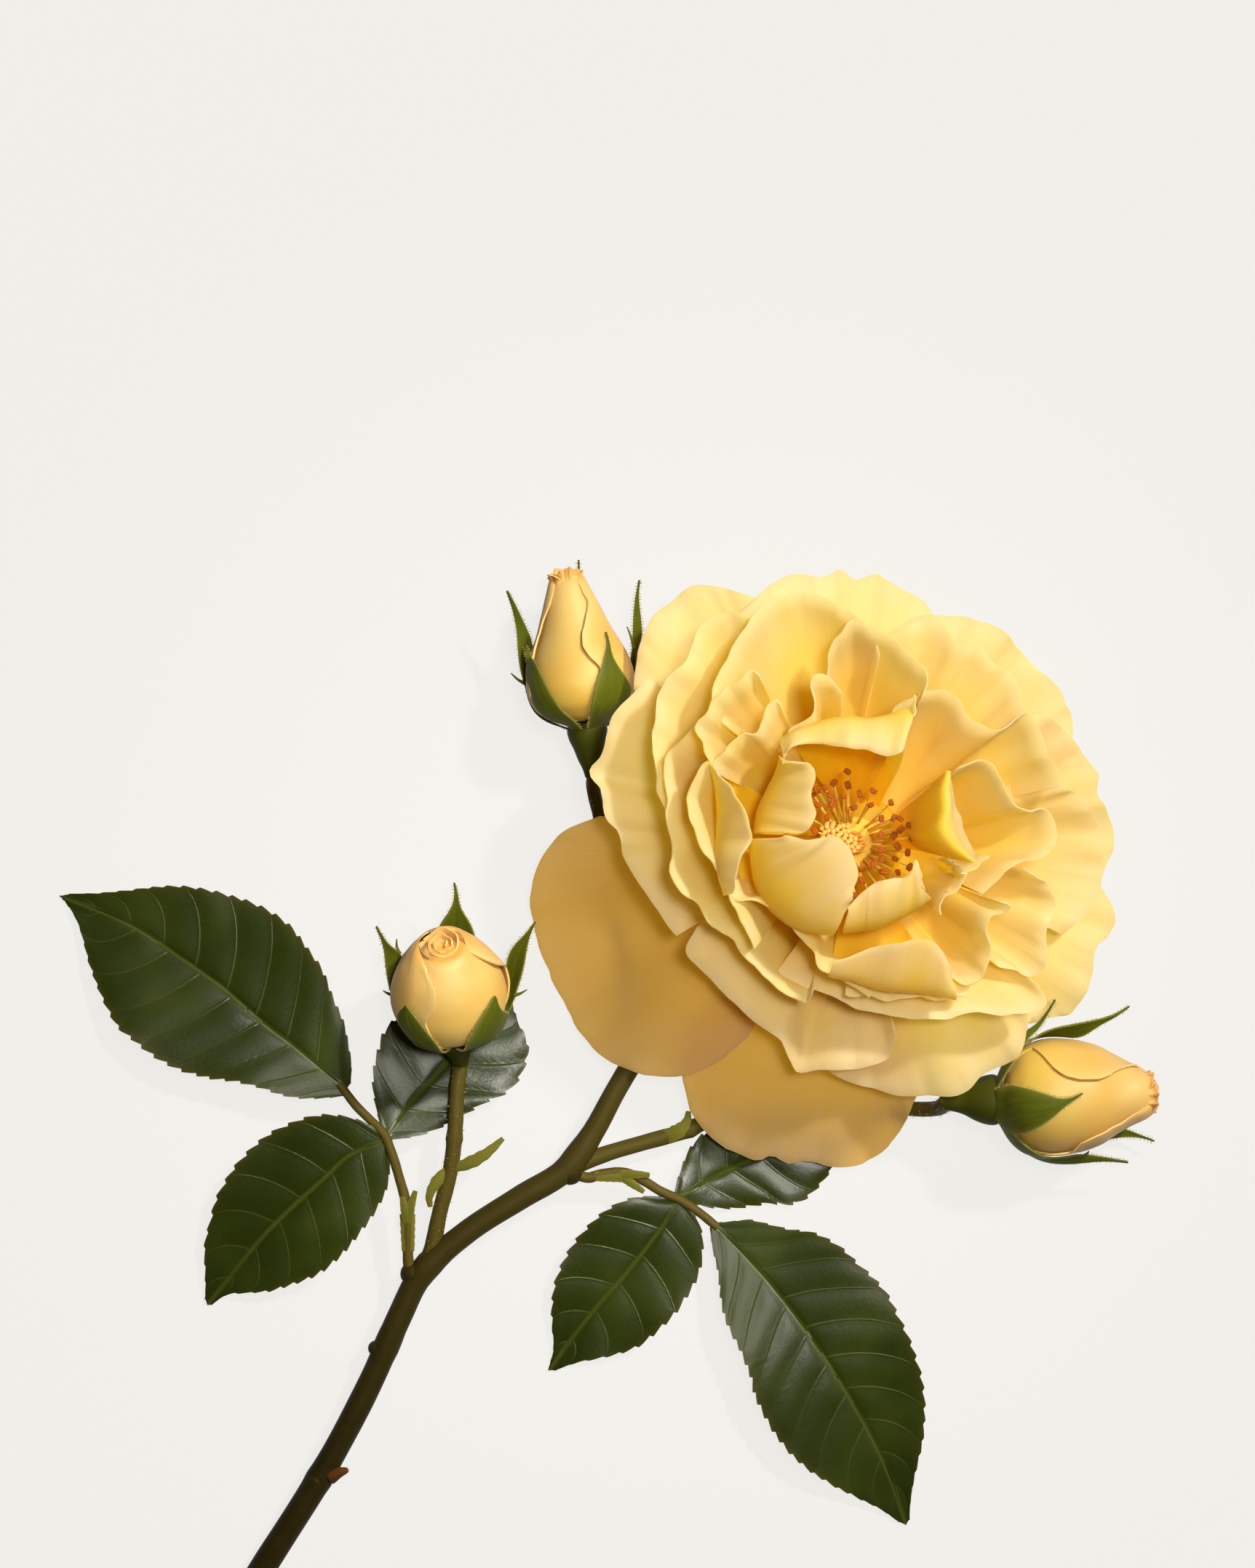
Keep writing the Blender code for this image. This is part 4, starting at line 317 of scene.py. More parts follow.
# Petals of the open bloom, outermost first, as in the solid model: name, height of the root, how far the
# middle of the blade hangs below or stands above a straight line (or the line it bulges out to), and the
# rim as (x, y, height).
PETALS = [
    ("outer_left", 25.6, 3.0, [
        (-46, 3.5, 15), (-53.1, 0.4, 11), (-57.2, -5.5, 7), (-58.3, -10.3, 4.5), (-57.5, -17, 2),
        (-54.8, -24.5, 0.5), (-52.5, -29, 1), (-49.5, -34.5, 4), (-43.7, -40, 8.5), (-35, -42.5, 11),
        (-28, -41, 13.5), (-20, -35, 17)]),
    ("outer_bottom", 25.7, 3.0, [
        (-30, -33, 12), (-31.5, -42.3, 8.5), (-29.8, -49, 6.3), (-23.3, -55, 4.6), (-18.2, -57.2, 4.0),
        (-15.8, -56.4, 4.6), (-13, -57.8, 3.6), (-10.5, -57, 3.4), (-5.8, -58.1, 2.2), (0, -57.2, 0.5),
        (4.1, -54.7, 0.6), (7.4, -50.7, 5.5), (9.2, -46.5, 10), (11, -42, 13)]),
    ("outer_low_right", 26.0, 1.5, [
        (-9, -39, 19.5), (-5, -41.8, 18.5), (1, -44.3, 17), (6.7, -45.7, 16.5), (11.8, -45.5, 17),
        (18.4, -44.8, 18), (20.8, -42.4, 18.5), (27.3, -38.8, 19), (28.9, -34.5, 19.5), (29, -31, 21),
        (27, -25, 22.5)]),
    ("outer_upper_left", 25.6, 1.0, [
        (-37, 20, 22), (-40, 25.5, 22), (-39.6, 31, 21), (-38.4, 35.4, 20), (-36.3, 39.3, 19),
        (-34.2, 40.8, 18.5), (-29.7, 44.1, 18), (-26, 44, 19), (-22, 43, 20), (-18, 41.5, 22),
        (-13, 37, 23)]),
    ("outer_top", 25.6, 2.0, [
        (-21.4, 39.3, 26.5), (-19.5, 41, 26), (-17, 43.6, 24), (-12, 46.1, 20), (-6.5, 45.6, 17),
        (-4, 46.8, 15), (-1.2, 45.4, 14.5), (2.4, 46, 12), (7.6, 43.1, 10), (11.9, 40, 9), (13, 36, 12)]),
    ("outer_top_right", 25.7, 3.0, [
        (5, 36, 18), (9, 38.6, 14), (16, 38.6, 9.5), (20, 38.1, 7), (24.5, 36.2, 4.5), (28.3, 32, 0.6),
        (31.7, 29.2, 0.6), (34.5, 26.2, 2), (36.2, 22.5, 4.5), (36.8, 18, 8), (35, 12, 12)]),
    ("outer_right", 25.8, 3.0, [
        (28, 21, 20), (31, 21.3, 18), (34.5, 19.6, 14), (37.5, 16.5, 11), (40, 13, 8), (41.7, 10.5, 6.5),
        (41.3, 8.2, 6.5), (43, 4.5, 3.5), (44, 1, 0.6), (43.6, -2.5, 0.6), (42.5, -6.2, 3), (40, -11, 7),
        (37, -14, 10)]),
    ("outer_low_edge", 25.9, 1.5, [
        (40, -3, 15), (42, -8.5, 14), (44, -12.5, 13), (44.4, -15, 12.5), (43.3, -17.5, 13),
        (41.2, -19.2, 14), (40.4, -24.8, 13.6), (38.2, -29.4, 12.6), (36.8, -31.3, 12), (33, -31.9, 12.5),
        (29, -33, 14), (24, -31, 17)]),
    ("left_first", 26.3, -3.0, [
        (-37.5, 28, 31), (-40.8, 24.6, 31), (-43.7, 22, 30.5), (-45, 18.5, 30), (-45.9, 14, 29.5),
        (-47.7, 11.4, 29), (-45.9, 8, 29.5), (-45.1, 3.2, 30), (-43.1, 0.5, 30.5), (-42.2, -3, 30),
        (-40, -7.2, 29), (-36, -13, 28), (-32.5, -17.5, 27.5)]),
    ("bottom_cup", 27.0, -2.0, [
        (-29, -16, 29), (-31, -20, 29), (-26.2, -25.5, 28.5), (-21.9, -30, 28), (-18, -33.5, 27),
        (-14.6, -35.8, 26.5), (-12.6, -39.5, 24), (-11.3, -41.5, 23), (-8, -41.1, 23.5), (-4, -41.2, 24),
        (0, -40.8, 24.5), (4.6, -39, 25), (5.9, -35.5, 27)]),
    ("right_second", 26.8, 0.0, [
        (33, 12, 29), (35.2, 9, 28), (38, 7.4, 25), (40, 4.5, 22.5), (41.6, 1.5, 20.5), (42.3, -2, 19.5),
        (42.3, -6, 19), (42, -8.5, 19), (40.8, -12, 20), (38.5, -14.6, 21.5), (35, -17, 23)]),
    ("upper_right_back", 26.6, -2.0, [
        (4, 35, 30), (8, 37.2, 30), (12.5, 37.9, 30), (15.5, 35.8, 31), (17, 33.7, 32), (18.8, 33.2, 32.5),
        (20.4, 33.8, 32), (23.3, 30.5, 31.5), (25.3, 29.4, 31), (27.2, 27, 31), (28.2, 24, 32),
        (29, 21.8, 33)]),
    ("low_band", 27.2, -3.0, [
        (-15, -23.8, 34), (-12, -25.8, 33.5), (-6, -28.2, 33), (-2, -29.8, 33), (1.5, -30.8, 33),
        (7, -31.8, 33), (14.5, -32.4, 32.5), (19.5, -31, 32), (24.5, -31.6, 31), (28.5, -31.2, 30),
        (32.4, -29.6, 29), (31, -26, 29.5)]),
    ("right_lobe", 27.0, -3.0, [
        (28.6, -5.9, 35), (31.2, -7, 34), (33, -9, 32.5), (33.9, -12, 31.5), (33, -15, 31.5),
        (32.4, -18, 31), (32.8, -20.8, 30.5), (31.8, -23.5, 30), (30.2, -24.4, 30), (27, -23.9, 30.5),
        (24, -23, 31)]),
    ("upper_right", 27.4, -4.0, [
        (10, 25.3, 40), (12.5, 26.2, 40), (15, 25.7, 39.5), (17.3, 23.8, 39), (18.7, 20.8, 39),
        (21, 19.1, 38.5), (23.5, 18.8, 38), (26, 20, 37), (29, 21.9, 36), (31.2, 19, 35),
        (32.3, 15.3, 34.5), (34.4, 11.6, 33), (35.2, 9, 32)]),
    ("left_second", 27.6, -6.0, [
        (-18, 36, 40), (-21, 39.2, 40), (-24, 39.2, 39.5), (-27, 38, 39.5), (-29.3, 35.6, 39.5),
        (-30.4, 33, 39.5), (-31.5, 30.9, 40), (-33.8, 29, 40), (-35.4, 25.5, 40), (-36.6, 19.5, 40),
        (-36.8, 14, 40), (-35.8, 8, 40), (-34, 2, 39)]),
    ("low_strip", 28.0, -4.0, [
        (-3, -28, 36.5), (1.5, -28.5, 36.5), (8, -28.7, 36.5), (14, -28.5, 36), (18.6, -27.6, 36),
        (19, -25.5, 36)]),
    ("top_large", 28.2, -5.0, [
        (-24.5, 20, 45), (-26.2, 24.3, 45), (-24.6, 30.2, 45), (-23, 33, 44.5), (-21.3, 36.5, 44),
        (-19.2, 39.2, 43), (-15, 41.6, 41.5), (-10.5, 43.1, 40), (-5.5, 41.9, 39.5), (-1, 39, 40),
        (1.5, 36, 41), (3, 32, 41)]),
    ("left_third", 28.4, -7.0, [
        (-29, 20, 43.5), (-31.8, 17.3, 43), (-34.5, 13, 42.5), (-34.7, 10.8, 42), (-34.2, 6.5, 42),
        (-34.7, 2.3, 42), (-33.3, -1.3, 41.5), (-34, -7, 41), (-32.3, -9.4, 40.5), (-28.5, -12.5, 39.5),
        (-27, -15.3, 39), (-22.8, -18.2, 38), (-19.5, -22, 37), (-16, -26, 36), (-12.5, -28.6, 35.5),
        (-10, -29.5, 35), (-8.6, -27.5, 36)]),
    ("low_tongue", 28.4, -6.0, [
        (24.6, -11.4, 42), (26.3, -12.2, 42), (25.3, -13.3, 41.5), (23.2, -13.8, 41), (22, -15.8, 40.5),
        (22.8, -20.5, 39.5), (21.9, -23.4, 39), (20.3, -25.3, 38.5), (18.4, -26.3, 38), (15.8, -25.2, 38)]),
    ("top_inner", 28.5, -6.0, [
        (-6.5, 28, 42), (-5.3, 32.2, 43), (-4.3, 35, 43.5), (-3.1, 37.3, 44), (-1.5, 38.4, 44),
        (0.5, 37.8, 43.5), (5, 35, 42.5), (8.5, 32.3, 42), (10.2, 30.2, 42), (11.6, 28.6, 42),
        (11.8, 27, 42), (11, 24.5, 42)]),
    ("right_large", 28.6, -5.0, [
        (17, 11.6, 42.5), (20.5, 13.1, 42), (23, 12.8, 41.5), (24.6, 11, 41), (25.3, 8, 40.5),
        (26.7, 5.5, 39.5), (29.5, 4.8, 38), (33, 4, 36), (34, 2.2, 35.5), (34, -0.8, 35.5),
        (32.2, -3.2, 36), (30, -4.9, 36.5), (26.5, -5.6, 36.5), (24, -7.4, 36), (21, -10, 35.5)]),
    ("boat", 28.6, -6.0, [
        (-24, -8, 44), (-22, -10.8, 44), (-19, -11.1, 43.5), (-16.5, -12.5, 43), (-13, -15.2, 42.5),
        (-10, -18.2, 42), (-8.3, -20.6, 41.5), (-7, -23.5, 41), (-4, -25.2, 40), (-1, -26.8, 39),
        (1.3, -28.5, 38)]),
    ("upper_cream", 28.8, -8.0, [
        (-26.8, 12.5, 47), (-27.8, 15.5, 47.5), (-28.8, 20.3, 48), (-27.3, 22.5, 48), (-25.2, 25.2, 48),
        (-22.8, 26.5, 48), (-21.2, 28.1, 48), (-19.6, 29.2, 48), (-18.1, 28.7, 48)]),
    ("low_cup", 28.8, [
        (-6, -24, 38), (0, -26, 37), (6, -26.8, 36.5), (11, -26.6, 36.5), (15, -26.6, 37)], [
        (-4.8, -22, 44), (-2, -21.1, 44.5), (2.3, -19.6, 45), (6, -18.7, 45.5), (10, -18.2, 45.5),
        (12.9, -19, 45), (14.5, -21, 44), (15.3, -23.6, 42.5), (15.8, -25.3, 41)]),
    ("left_fourth", 28.9, -8.0, [
        (-27.5, 13, 48), (-29.5, 10.6, 47.5), (-30.4, 8.5, 47), (-30.2, 3, 47), (-28.9, -0.5, 46.5),
        (-27.2, -3.5, 46), (-25.3, -7, 45), (-23.6, -10, 44.5), (-21.5, -14, 43.5), (-19, -19.8, 41.5)]),
    ("low_fold", 29.0, -5.0, [
        (13.6, -13.8, 40), (14.2, -11.4, 41), (16.4, -9.6, 41.5), (18.2, -7.2, 42), (20.5, -5, 42),
        (22.6, -3.4, 42)]),
    ("left_tongue", 29.2, -6.0, [
        (-26.5, 11.5, 47.5), (-24, 15.8, 47.8), (-21.6, 17.3, 48), (-19.2, 17.9, 48.3), (-18, 20, 48),
        (-16.5, 22.6, 47.5), (-15, 24, 47), (-14.4, 23.4, 47)]),
    ("left_pointed", 29.3, [
        (-25.5, 12, 41), (-25.3, 7, 40.5), (-25.1, 3, 40), (-25, 0, 40), (-24.7, -4, 40), (-23.8, -7, 40),
        (-22.9, -9.5, 40)], [
        (-26.5, 12, 49), (-24.5, 10.3, 50), (-22.5, 7.7, 50.5), (-20.8, 5, 51), (-19.8, 2.4, 51),
        (-19.6, 0.2, 51), (-20.1, -1.7, 50.5), (-21.2, -4, 50), (-22.3, -8, 48.5), (-22.9, -10.2, 47)]),
    ("s_fold", 29.3, -5.0, [
        (-15, 15.3, 46), (-12, 18.8, 47), (-8.9, 21.6, 48), (-8.4, 25, 48.3), (-8.5, 28.7, 47.5),
        (-6.8, 28.4, 46.5), (-4.7, 26.9, 45), (-3.5, 25.2, 44.5)]),
    ("flame", 29.5, [
        (11.5, -3.4, 33.5), (12.5, -4.4, 33.5), (13.2, -5.6, 33.5), (13.6, -6.8, 33.5)], [
        (15.1, -4.1, 45), (16.6, -4.8, 45.5), (17.9, -6.2, 45.5), (18.1, -7.4, 45)]),
    ("top_flap", 29.5, -3.0, [
        (5.5, 22.5, 47), (7.7, 23.9, 48), (9.4, 25, 48.5), (9.2, 22.5, 48.5), (8.2, 19.5, 48.5),
        (7.9, 17, 48.5)]),
    ("twist", 29.8, [
        (14.1, 10.4, 47.8), (13.2, 7.4, 49), (13.5, 4.4, 49.9), (12.8, 0.8, 50.2), (14.6, -2, 49.6),
        (18.2, -4.2, 47.8)], [
        (14.6, 11.3, 47.6), (15.6, 9.6, 47.4), (16.3, 6, 47), (17.6, 1.6, 46.6), (19.3, -2, 46.2),
        (19.5, -4.6, 46)]),
    ("hood_low", 29.8, [
        (-3.5, -16.7, 42), (0, -16.7, 42), (3.5, -16, 42), (6.5, -14.6, 42), (9.5, -12.6, 42),
        (11.5, -10.8, 42)], [
        (-2.4, -12.6, 48), (0, -10, 48.5), (2.5, -8.2, 49), (5, -7.4, 49.3), (7.3, -7.4, 49.4),
        (8.7, -6.4, 49.8), (9.5, -4.2, 50), (10.3, -6.6, 49), (11, -9.5, 47.5)]),
    ("hood_top", 29.8, [
        (-13.5, 17, 43.5), (-9.5, 18.4, 43.5), (-6, 19.6, 43.5), (-2.5, 20.4, 43.5), (1, 20.2, 43.5),
        (4, 21, 43.5), (7, 22.5, 43.5), (8.8, 22, 43.5)], [
        (-14, 13.6, 49), (-12.8, 15.2, 49.5), (-10, 16.4, 50), (-7, 16.4, 50), (-4, 15.8, 50),
        (-1.5, 15.4, 50), (0.7, 15.4, 50), (2.6, 14.6, 50), (4.8, 14.2, 50), (6.5, 14.7, 50),
        (7.2, 15.6, 49.5)]),
    ("hood_left", 29.9, [
        (-14, 13.5, 42), (-16.5, 10, 42), (-18, 6.5, 42), (-18.8, 3, 42), (-19.1, 0.5, 42)], [
        (-14, 12.8, 51), (-12, 13.4, 51.5), (-10, 13.2, 51.8), (-8.6, 11.6, 52), (-8.1, 10, 52),
        (-9.1, 7.9, 52), (-8.7, 6, 52), (-8.1, 4, 52), (-8.8, 2, 52), (-10, 0.9, 51.5), (-13, 0.9, 51)]),
    ("hood_low_left", 29.9, [
        (-19.2, -0.5, 42), (-19, -4, 42), (-18, -9, 42), (-15, -13.8, 42), (-10.5, -17, 42),
        (-5.5, -17.6, 42)], [
        (-13.6, -0.4, 51), (-10, -0.5, 51.5), (-6.5, 0, 52), (-4.4, -0.3, 52), (-2.5, -1.8, 52),
        (-1.4, -4, 52), (-0.7, -6.6, 51.5), (-1.4, -9, 51), (-2.2, -12.4, 49.5)]),
]

# The anthers that show in the photo, as (x, y, height).
SEEN_ANTHERS = [
    (-2.6, 11.4, 41.6), (-5, 9.4, 40.8), (-2.5, 9, 40.0), (-6.5, 8.6, 41.6), (-8, 8.2, 40.8),
    (-8.6, 7.3, 40.0), (-5.5, 7.2, 41.6), (-0.4, 7.5, 40.8), (2, 8, 40.0), (-7.7, 5.5, 41.6),
    (-5.3, 5.6, 40.8), (-1.5, 5.1, 40.0), (1.5, 5.5, 41.6), (3.4, 3.1, 40.8), (5.6, 3.2, 40.0),
    (6.7, 3.1, 41.6), (3.2, 0.3, 39.5), (5.6, 0.1, 40.0), (6.8, 1.2, 41.6), (3.4, -2.4, 40.8),
    (3.3, -4.1, 40.0), (5.8, -4, 41.6), (3.8, -6.2, 40.8), (6.3, -6.4, 40.0), (2, -5, 41.6),
    (0, -5.8, 39.5), (0, -7.8, 40.0)]

# Buds' profiles as (radius, height), in shares of a bud's radius and length.
BUD_HEAD = [(0, 0), (0.3, 0), (0.72, 0.1), (0.94, 0.24), (1, 0.4), (0.95, 0.56), (0.8, 0.74), (0.62, 0.87),
            (0.47, 0.96), (0.34, 0.99), (0.2, 0.93), (0, 0.9)]
BUD_PEAR = [(0, 0), (0.34, 0), (0.74, 0.07), (0.93, 0.15), (1, 0.25), (0.96, 0.37), (0.83, 0.5), (0.67, 0.62),
            (0.54, 0.75), (0.4, 0.88), (0.28, 0.98), (0.16, 0.99), (0, 0.96)]
BUD_EGG = [(0, 0), (0.32, 0), (0.7, 0.07), (0.91, 0.17), (1, 0.31), (0.97, 0.46), (0.86, 0.61), (0.69, 0.72),
           (0.55, 0.82), (0.44, 0.92), (0.27, 0.99), (0.14, 0.99), (0, 0.95)]

# Buds: where the petals start and the way they point, their size, the hip below them, and their sepals.
# A sepal is its two edges from the hip to its tip, as (x, y, height) in the plan, or as (x, y) where it lies
# on the bud. A lobe is a thread-like side branch of a sepal. A fold is the free edge of a petal that wraps
# the bud, as (x, y), the way round from it, how far it goes, how far out the petal's near and far sides
# lie, and how far its free edge stands off. The heart and the flaps are as in rolled_heart() and tip_flap().
BUDS = [
    {"name": "bud_left", "base": (-71.7, -33.5, 11.6), "axis": (-0.09, 0.75, 0.66),
     "length": 20.0, "radius": 10.2, "profile": BUD_HEAD, "hip": 5.4, "hip_wide": 3.7,
     "folds": [
         ([(-76.8, -32.4), (-75.3, -30.5), (-75, -28), (-75.2, -26.3), (-76, -24.4), (-76.6, -22.6),
           (-77, -20)], 1, 2.2, 0.965, 1.0, 0.5),
         ([(-62.4, -22.9), (-65, -22.4), (-67, -21.3), (-69, -20), (-70.5, -18.5), (-71.6, -17.4),
           (-73.5, -16.7)], -1, 3.2, 0.97, 1.0, 0.9)],
     "heart": (0.04, 0.30, 2.6, 0.6, 0.01, 0.25),
     "flaps": [],
     "lobes": [
         [(-81.4, -20.7, 15), (-81.9, -19.4, 15.6), (-81.9, -18.1, 16.4)],
         [(-82.6, -28, 12.4), (-83.6, -27.6, 12.8), (-84.3, -27.2, 13.2)],
         [(-61.2, -28, 13), (-60, -27.6, 13.6), (-59, -27, 14)]],
     "sepals": [
         ([(-73, -36.6, 7.6), (-75.4, -30, 4.6), (-76, -24, 5), (-75.4, -18.5, 7.2), (-74.2, -15.5, 9),
           (-73, -13.8, 9.8), (-72.1, -12.3, 10.2), (-71.7, -10.2, 10.8), (-71.9, -8.2, 11.2)],
          [(-70.8, -36.6, 7.6), (-68.6, -30, 4.6), (-67.8, -24, 5), (-68, -18.5, 7.2), (-68.6, -16.2, 8.6),
           (-69.7, -14.2, 9.6), (-70.8, -12.6, 10.2), (-71.1, -10.2, 10.8), (-71.7, -8.2, 11.2)]),
         ([(-73.4, -36.8, 8), (-77.6, -35.8, 8), (-80.8, -32.4, 9.6), (-82.5, -28.8, 11.6),
           (-83.4, -25.5, 13.6), (-83.9, -22, 15.6), (-84.1, -20, 16.8), (-84.9, -17.6, 18.5),
           (-85.5, -15.9, 19.8)],
          [(-73, -36.6, 9.8), (-76.6, -33.6, 10.4), (-79.4, -29.6, 11), (-80.4, -25.4, 12),
           (-80.4, -22, 13.6), (-81.4, -20.5, 15), (-83.2, -19.2, 17), (-84.5, -17.4, 18.7),
           (-85.4, -15.9, 19.9)]),
         ([(-70.8, -36.6, 9.8), (-67, -33.6, 10.4), (-64.2, -29.6, 11), (-63, -25.6, 12),
           (-62.6, -22.6, 13.6), (-62, -20.3, 15.2), (-60.9, -18.8, 16.5), (-59.7, -17.7, 17.6),
           (-57.7, -15.2, 19)],
          [(-70.4, -36.8, 8), (-66, -35.8, 8), (-63, -32.4, 9.6), (-61.6, -29.4, 11.4),
           (-60.7, -26.8, 13.2), (-59.9, -24.2, 14.9), (-59.3, -21.4, 16.3), (-58.8, -18.6, 17.2),
           (-57.5, -15.1, 19)]),
         ([(-73.6, -36.4, 9.6), (-76.4, -36.6, 14.5), (-79.2, -35.9), (-81.1, -33.6), (-81.7, -31.7),
           (-81, -30.5), (-80.3, -29.8)],
          [(-72.2, -36.9, 10.2), (-73, -37.6, 15), (-75.3, -36.1), (-77, -34), (-78.6, -31.9),
           (-79.7, -30.5), (-80.2, -29.7)]),
         ([(-71.6, -36.9, 10.2), (-70.7, -37.6, 15), (-68.8, -35.2), (-67.8, -33.2), (-66.8, -31.5),
           (-65.7, -29.9), (-64.8, -28.1)],
          [(-70, -36.4, 9.6), (-67.4, -36.6, 14.5), (-65, -35.7), (-63.1, -33.6), (-62.5, -31.9),
           (-63.9, -30.2), (-64.6, -28.1)])]},
    {"name": "bud_upper", "base": (-48.6, 20.2, 11.2), "axis": (-0.137, 0.99, 0.012),
     "length": 26.0, "radius": 9.3, "profile": BUD_PEAR, "hip": 6.0, "hip_wide": 3.5,
     "folds": [
         ([(-57.6, 31.5), (-56.8, 35), (-55.9, 38.5), (-54.9, 41.5)], 1, 2.0, 0.97, 1.02, 0.2),
         ([(-46.2, 29.7), (-48, 31.5), (-49.3, 33.5), (-49.5, 36), (-49, 39), (-48.6, 42.3), (-49.6, 44)],
          -1, 2.8, 0.97, 1.01, 0.6)],
     "heart": (0.05, 0.20, 1.8, 1.2, -0.02),
     "flaps": [(0.3, 0.25, 1.03, 0.9), (2.2, 0.29, 1.01, 0.8), (3.6, 0.25, 1.04, 0.9), (5.1, 0.29, 1.0, 0.8)],
     "lobes": [
         [(-59.2, 26.8, 9.2), (-60.6, 27.6, 9.8), (-61.8, 28.7, 10.4)],
         [(-40.1, 33.2, 10.4), (-40.7, 35.2, 11), (-41.4, 36.9, 11.4)]],
     "sepals": [
         ([(-48.2, 18.6, 13.6), (-47.9, 21), (-47.5, 23.8), (-46.9, 26.3), (-46.2, 28.8), (-45.4, 31.6),
           (-44.9, 33.8), (-45.3, 35.9)],
          [(-46.6, 18.4, 13), (-44.5, 20.4), (-43, 22.4), (-41.3, 24.1), (-40.7, 25.6), (-41.4, 27.4),
           (-42.7, 29.4), (-44, 31.5), (-44.5, 33.8), (-45.1, 35.9)]),
         ([(-50, 18.6, 12.4), (-52.4, 19.7), (-55, 20.6), (-57, 22.2), (-57.9, 24.2), (-58.4, 26.2),
           (-58.8, 28.5, 13.6), (-59, 30.5, 14), (-59.1, 32.2, 14.4), (-59.3, 33.7, 14.6)],
          [(-49.2, 18.6, 13.6), (-51, 20.6), (-52.7, 22), (-54, 23.8), (-55.2, 25.8), (-56.3, 28),
           (-57.4, 30.4), (-58.3, 32.1), (-59.2, 33.7, 14.7)]),
         ([(-50.2, 18.6, 10.6), (-54, 19.8, 9.6), (-57.3, 22.4, 9), (-59, 26, 9), (-59.9, 28.5, 9.4),
           (-60.4, 31.5, 10), (-60.7, 35, 10.6), (-61, 37.5, 11), (-61.6, 40.3, 11.6), (-62.5, 43.2, 12)],
          [(-49.6, 18.6, 11.4), (-52.6, 20.6, 9.4), (-55.2, 24, 8), (-57, 28, 7.6), (-57.8, 32, 8.6),
           (-58.3, 35, 10), (-59.3, 37.2, 11), (-60.4, 39.5, 11.6), (-61.3, 41.3, 12), (-62.4, 43.2, 12.1)]),
         ([(-48, 18.6, 9.6), (-44.8, 21.4, 8), (-42.4, 25.5, 7.4), (-41.2, 29.5, 8.4), (-40.5, 32.8, 10),
           (-40.4, 35.5, 11.2), (-40.3, 38.8, 12), (-40.1, 41, 12.3), (-39.8, 43, 12.6),
           (-39.3, 45.1, 12.8)],
          [(-47.2, 18.6, 10.6), (-43.2, 20.4, 9.4), (-40.4, 24.4, 9), (-39.7, 28.5, 9.4),
           (-39.7, 32.5, 10.4), (-38.8, 34.8, 11.4), (-38.7, 36.2, 11.7), (-39, 39, 12.1),
           (-39.3, 42.3, 12.5), (-39.1, 45.1, 12.9)]),
         ([(-49.7, 18.2, 9), (-51, 20, 4.6), (-51.8, 26, 1.3), (-51.7, 34, 1), (-50.9, 40, 2.2),
           (-50.2, 44, 3.4), (-50, 46.5, 4.4), (-49.95, 48.6, 5.2)],
          [(-47.5, 18.2, 9), (-46.2, 20, 4.6), (-46, 26, 1.3), (-46.8, 34, 1), (-48.4, 40, 2.2),
           (-49.5, 44, 3.4), (-49.7, 46.5, 4.4), (-49.85, 48.6, 5.2)])]},
    {"name": "bud_right", "base": (24.6, -46.3, 12.1), "axis": (1.0, 0.045, -0.005),
     "length": 27.0, "radius": 10.1, "profile": BUD_EGG, "hip": 6.4, "hip_wide": 4.4,
     "folds": [
         ([(37.2, -55.3), (38.5, -53.8), (41, -52.6), (44, -51.1), (46.5, -50), (48.8, -48.6)], -1, 2.4, 0.96,
          1.0, 0.4),
         ([(30, -37.3), (32.5, -39.5), (34, -41.3), (36, -42.4), (38.5, -43), (42, -43), (44, -42.4),
           (46.5, -41.2), (48, -40.8), (49.8, -39.9)], 1, 2.8, 0.97, 1.0, 0.8)],
     "heart": (0.05, 0.24, 2.0, 2.0, 0.02),
     "flaps": [(0.2, 0.34, 0.995, 0.8), (1.5, 0.30, 0.98, 0.8), (2.9, 0.34, 1.0, 0.8),
               (4.2, 0.30, 0.985, 0.8),
               (5.4, 0.34, 0.97, 0.7)],
     "lobes": [
         [(30.8, -55.3, 13), (32.4, -54.9, 13.4), (33.8, -54.8, 13.8)],
         [(39, -56.3, 10.4), (39.6, -55.8, 10.8), (39.9, -55.4, 11)]],
     "sepals": [
         ([(22.8, -45.2, 15.2), (24, -44.3, 17.2), (26, -43.9), (28, -44.2), (30, -44.7), (32.5, -45.5),
           (34.8, -46.2), (36.6, -46.1), (38.8, -45.2)],
          [(22.8, -48.6, 14.6), (23.8, -50, 15.2), (25.2, -51.3), (26.7, -52), (28.3, -52.1), (30, -51.6),
           (32.5, -50.2), (34, -49), (35.4, -47.7), (37.1, -46.5), (38.8, -45.3)]),
         ([(23, -44.2, 14), (24.5, -41.7, 14.4), (27.4, -38.6, 14.6), (29.4, -36.3, 14.8),
           (31.2, -34.9, 15), (33.6, -33.9, 15.4), (37, -33.2, 15.8), (40, -32.6, 16), (43, -31.9, 15.8),
           (45, -31.1, 15.4), (47, -29.9, 15)],
          [(23.2, -44.6, 12.6), (25, -42.2, 12.2), (28, -38.8, 11.8), (31, -36.5, 11.4), (34, -35.5, 11.6),
           (36.5, -35.5, 12.5), (38.2, -35.4, 13.4), (39.7, -34.7, 14.2), (41.2, -33.6, 14.8),
           (42.7, -32.7, 15), (44.5, -31.8, 15.1), (46, -30.7, 15.1), (47, -30, 15)]),
         ([(23.2, -43.8, 14.4), (24.3, -41.3, 15), (26, -38.2, 15.8), (27.6, -35.7, 16.4),
           (29, -34.2, 16.8), (30.3, -33.4, 17), (31.5, -32.2, 17.2), (32.5, -30.9, 17.5),
           (33.9, -28.7, 18)],
